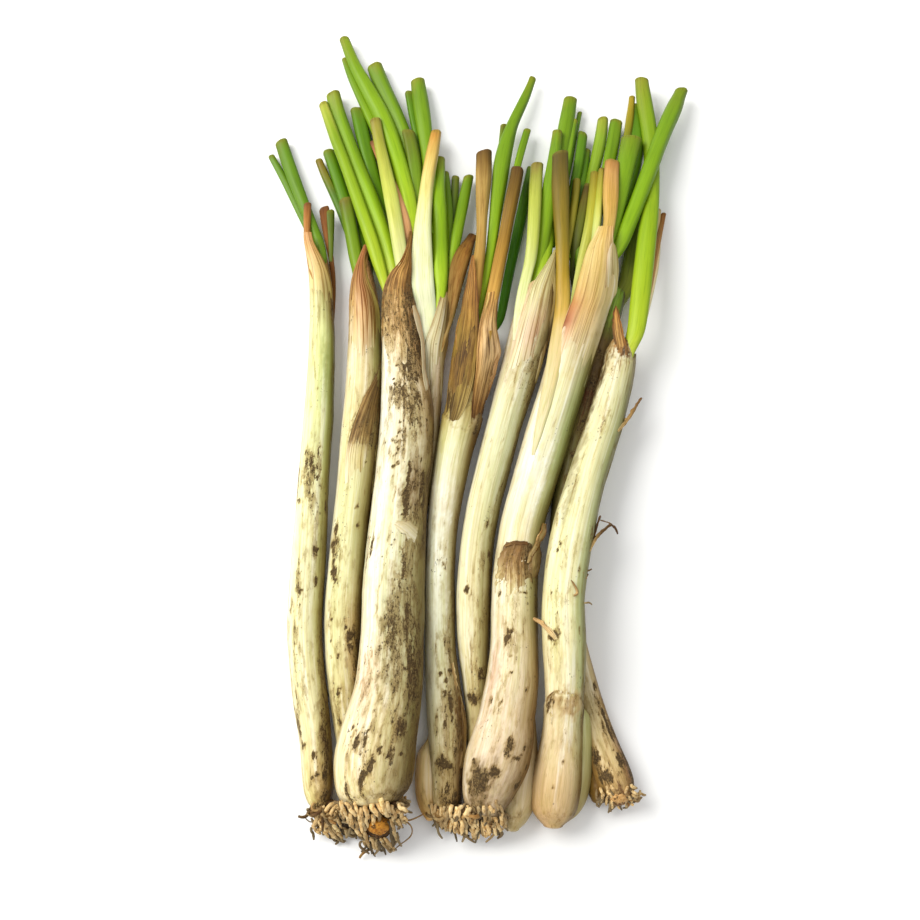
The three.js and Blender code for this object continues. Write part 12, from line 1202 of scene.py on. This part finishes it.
# ------------------------------------------------------------------ build
for i, (key, spec) in enumerate(SKINS.items()):
    make_stalk(key, spec, 3 + 7 * i)
for i, (name, spec) in enumerate(LEAVES.items()):
    make_leaf(name + ("_blade" if spec["node"] else ""), spec, 11 + 5 * i, name if spec["node"] else None)
for i, (name, spec) in enumerate(ROOTS.items()):
    make_roots(name + "_tuft", spec, 5 + 13 * i, name)
for i, (name, spec) in enumerate(SHEETS.items()):
    make_skin(name + ("_sheet" if spec.get("node") else ""), spec, 7 + 11 * i, name if spec.get("node") else None)

# ------------------------------------------------------------------ floor, light and camera
def floor_material():
    m = Nodes("pale_surface")
    tc = m.t.nodes.new("ShaderNodeTexCoord")
    n = m.noise(tc.outputs["Object"], 6.0, 3.0, 0.5)
    m.link(m.ramp(n, [(0.3, FLOOR_A), (0.7, FLOOR_B)]), m.b.inputs["Base Color"])
    m.b.inputs["Roughness"].default_value = 0.75
    m.b.inputs["Specular IOR Level"].default_value = 0.2
    return m.mat


me = bpy.data.meshes.new("surface")
k = 6.0
me.from_pydata([(-k, -k, -0.0004), (k, -k, -0.0004), (k, k, -0.0004), (-k, k, -0.0004)], [], [(0, 1, 2, 3)])
floor = bpy.data.objects.new("surface", me)
bpy.context.scene.collection.objects.link(floor)
me.materials.append(floor_material())

scene = bpy.context.scene
world = bpy.data.worlds.new("studio")
scene.world = world
world.use_nodes = True
bg = world.node_tree.nodes["Background"]
bg.inputs[0].default_value = (*WORLD_COL, 1)
bg.inputs[1].default_value = WORLD_STRENGTH


def area(name, loc, target, size, power, color=(1, 1, 1)):
    d = bpy.data.lights.new(name, "AREA")
    d.shape = "DISK"
    d.size = size
    d.energy = power
    d.color = color
    o = bpy.data.objects.new(name, d)
    scene.collection.objects.link(o)
    o.location = loc
    o.rotation_euler = (Vector(target) - Vector(loc)).to_track_quat("-Z", "Y").to_euler()
    return o


for a in LIGHTS:
    area(*a)

cam_data = bpy.data.cameras.new("view")
cam_data.lens = 43.04
cam_data.sensor_width = 36.0
cam_data.clip_start = 0.01
cam_data.clip_end = 20
cam = bpy.data.objects.new("view", cam_data)
scene.collection.objects.link(cam)
cam.location = CAM_LOC
cam.rotation_euler = (math.radians(20), 0, 0)
scene.camera = cam
scene.view_settings.view_transform = "Standard"
scene.view_settings.look = "None"
scene.view_settings.exposure = EXPOSURE
scene.view_settings.gamma = 1.0
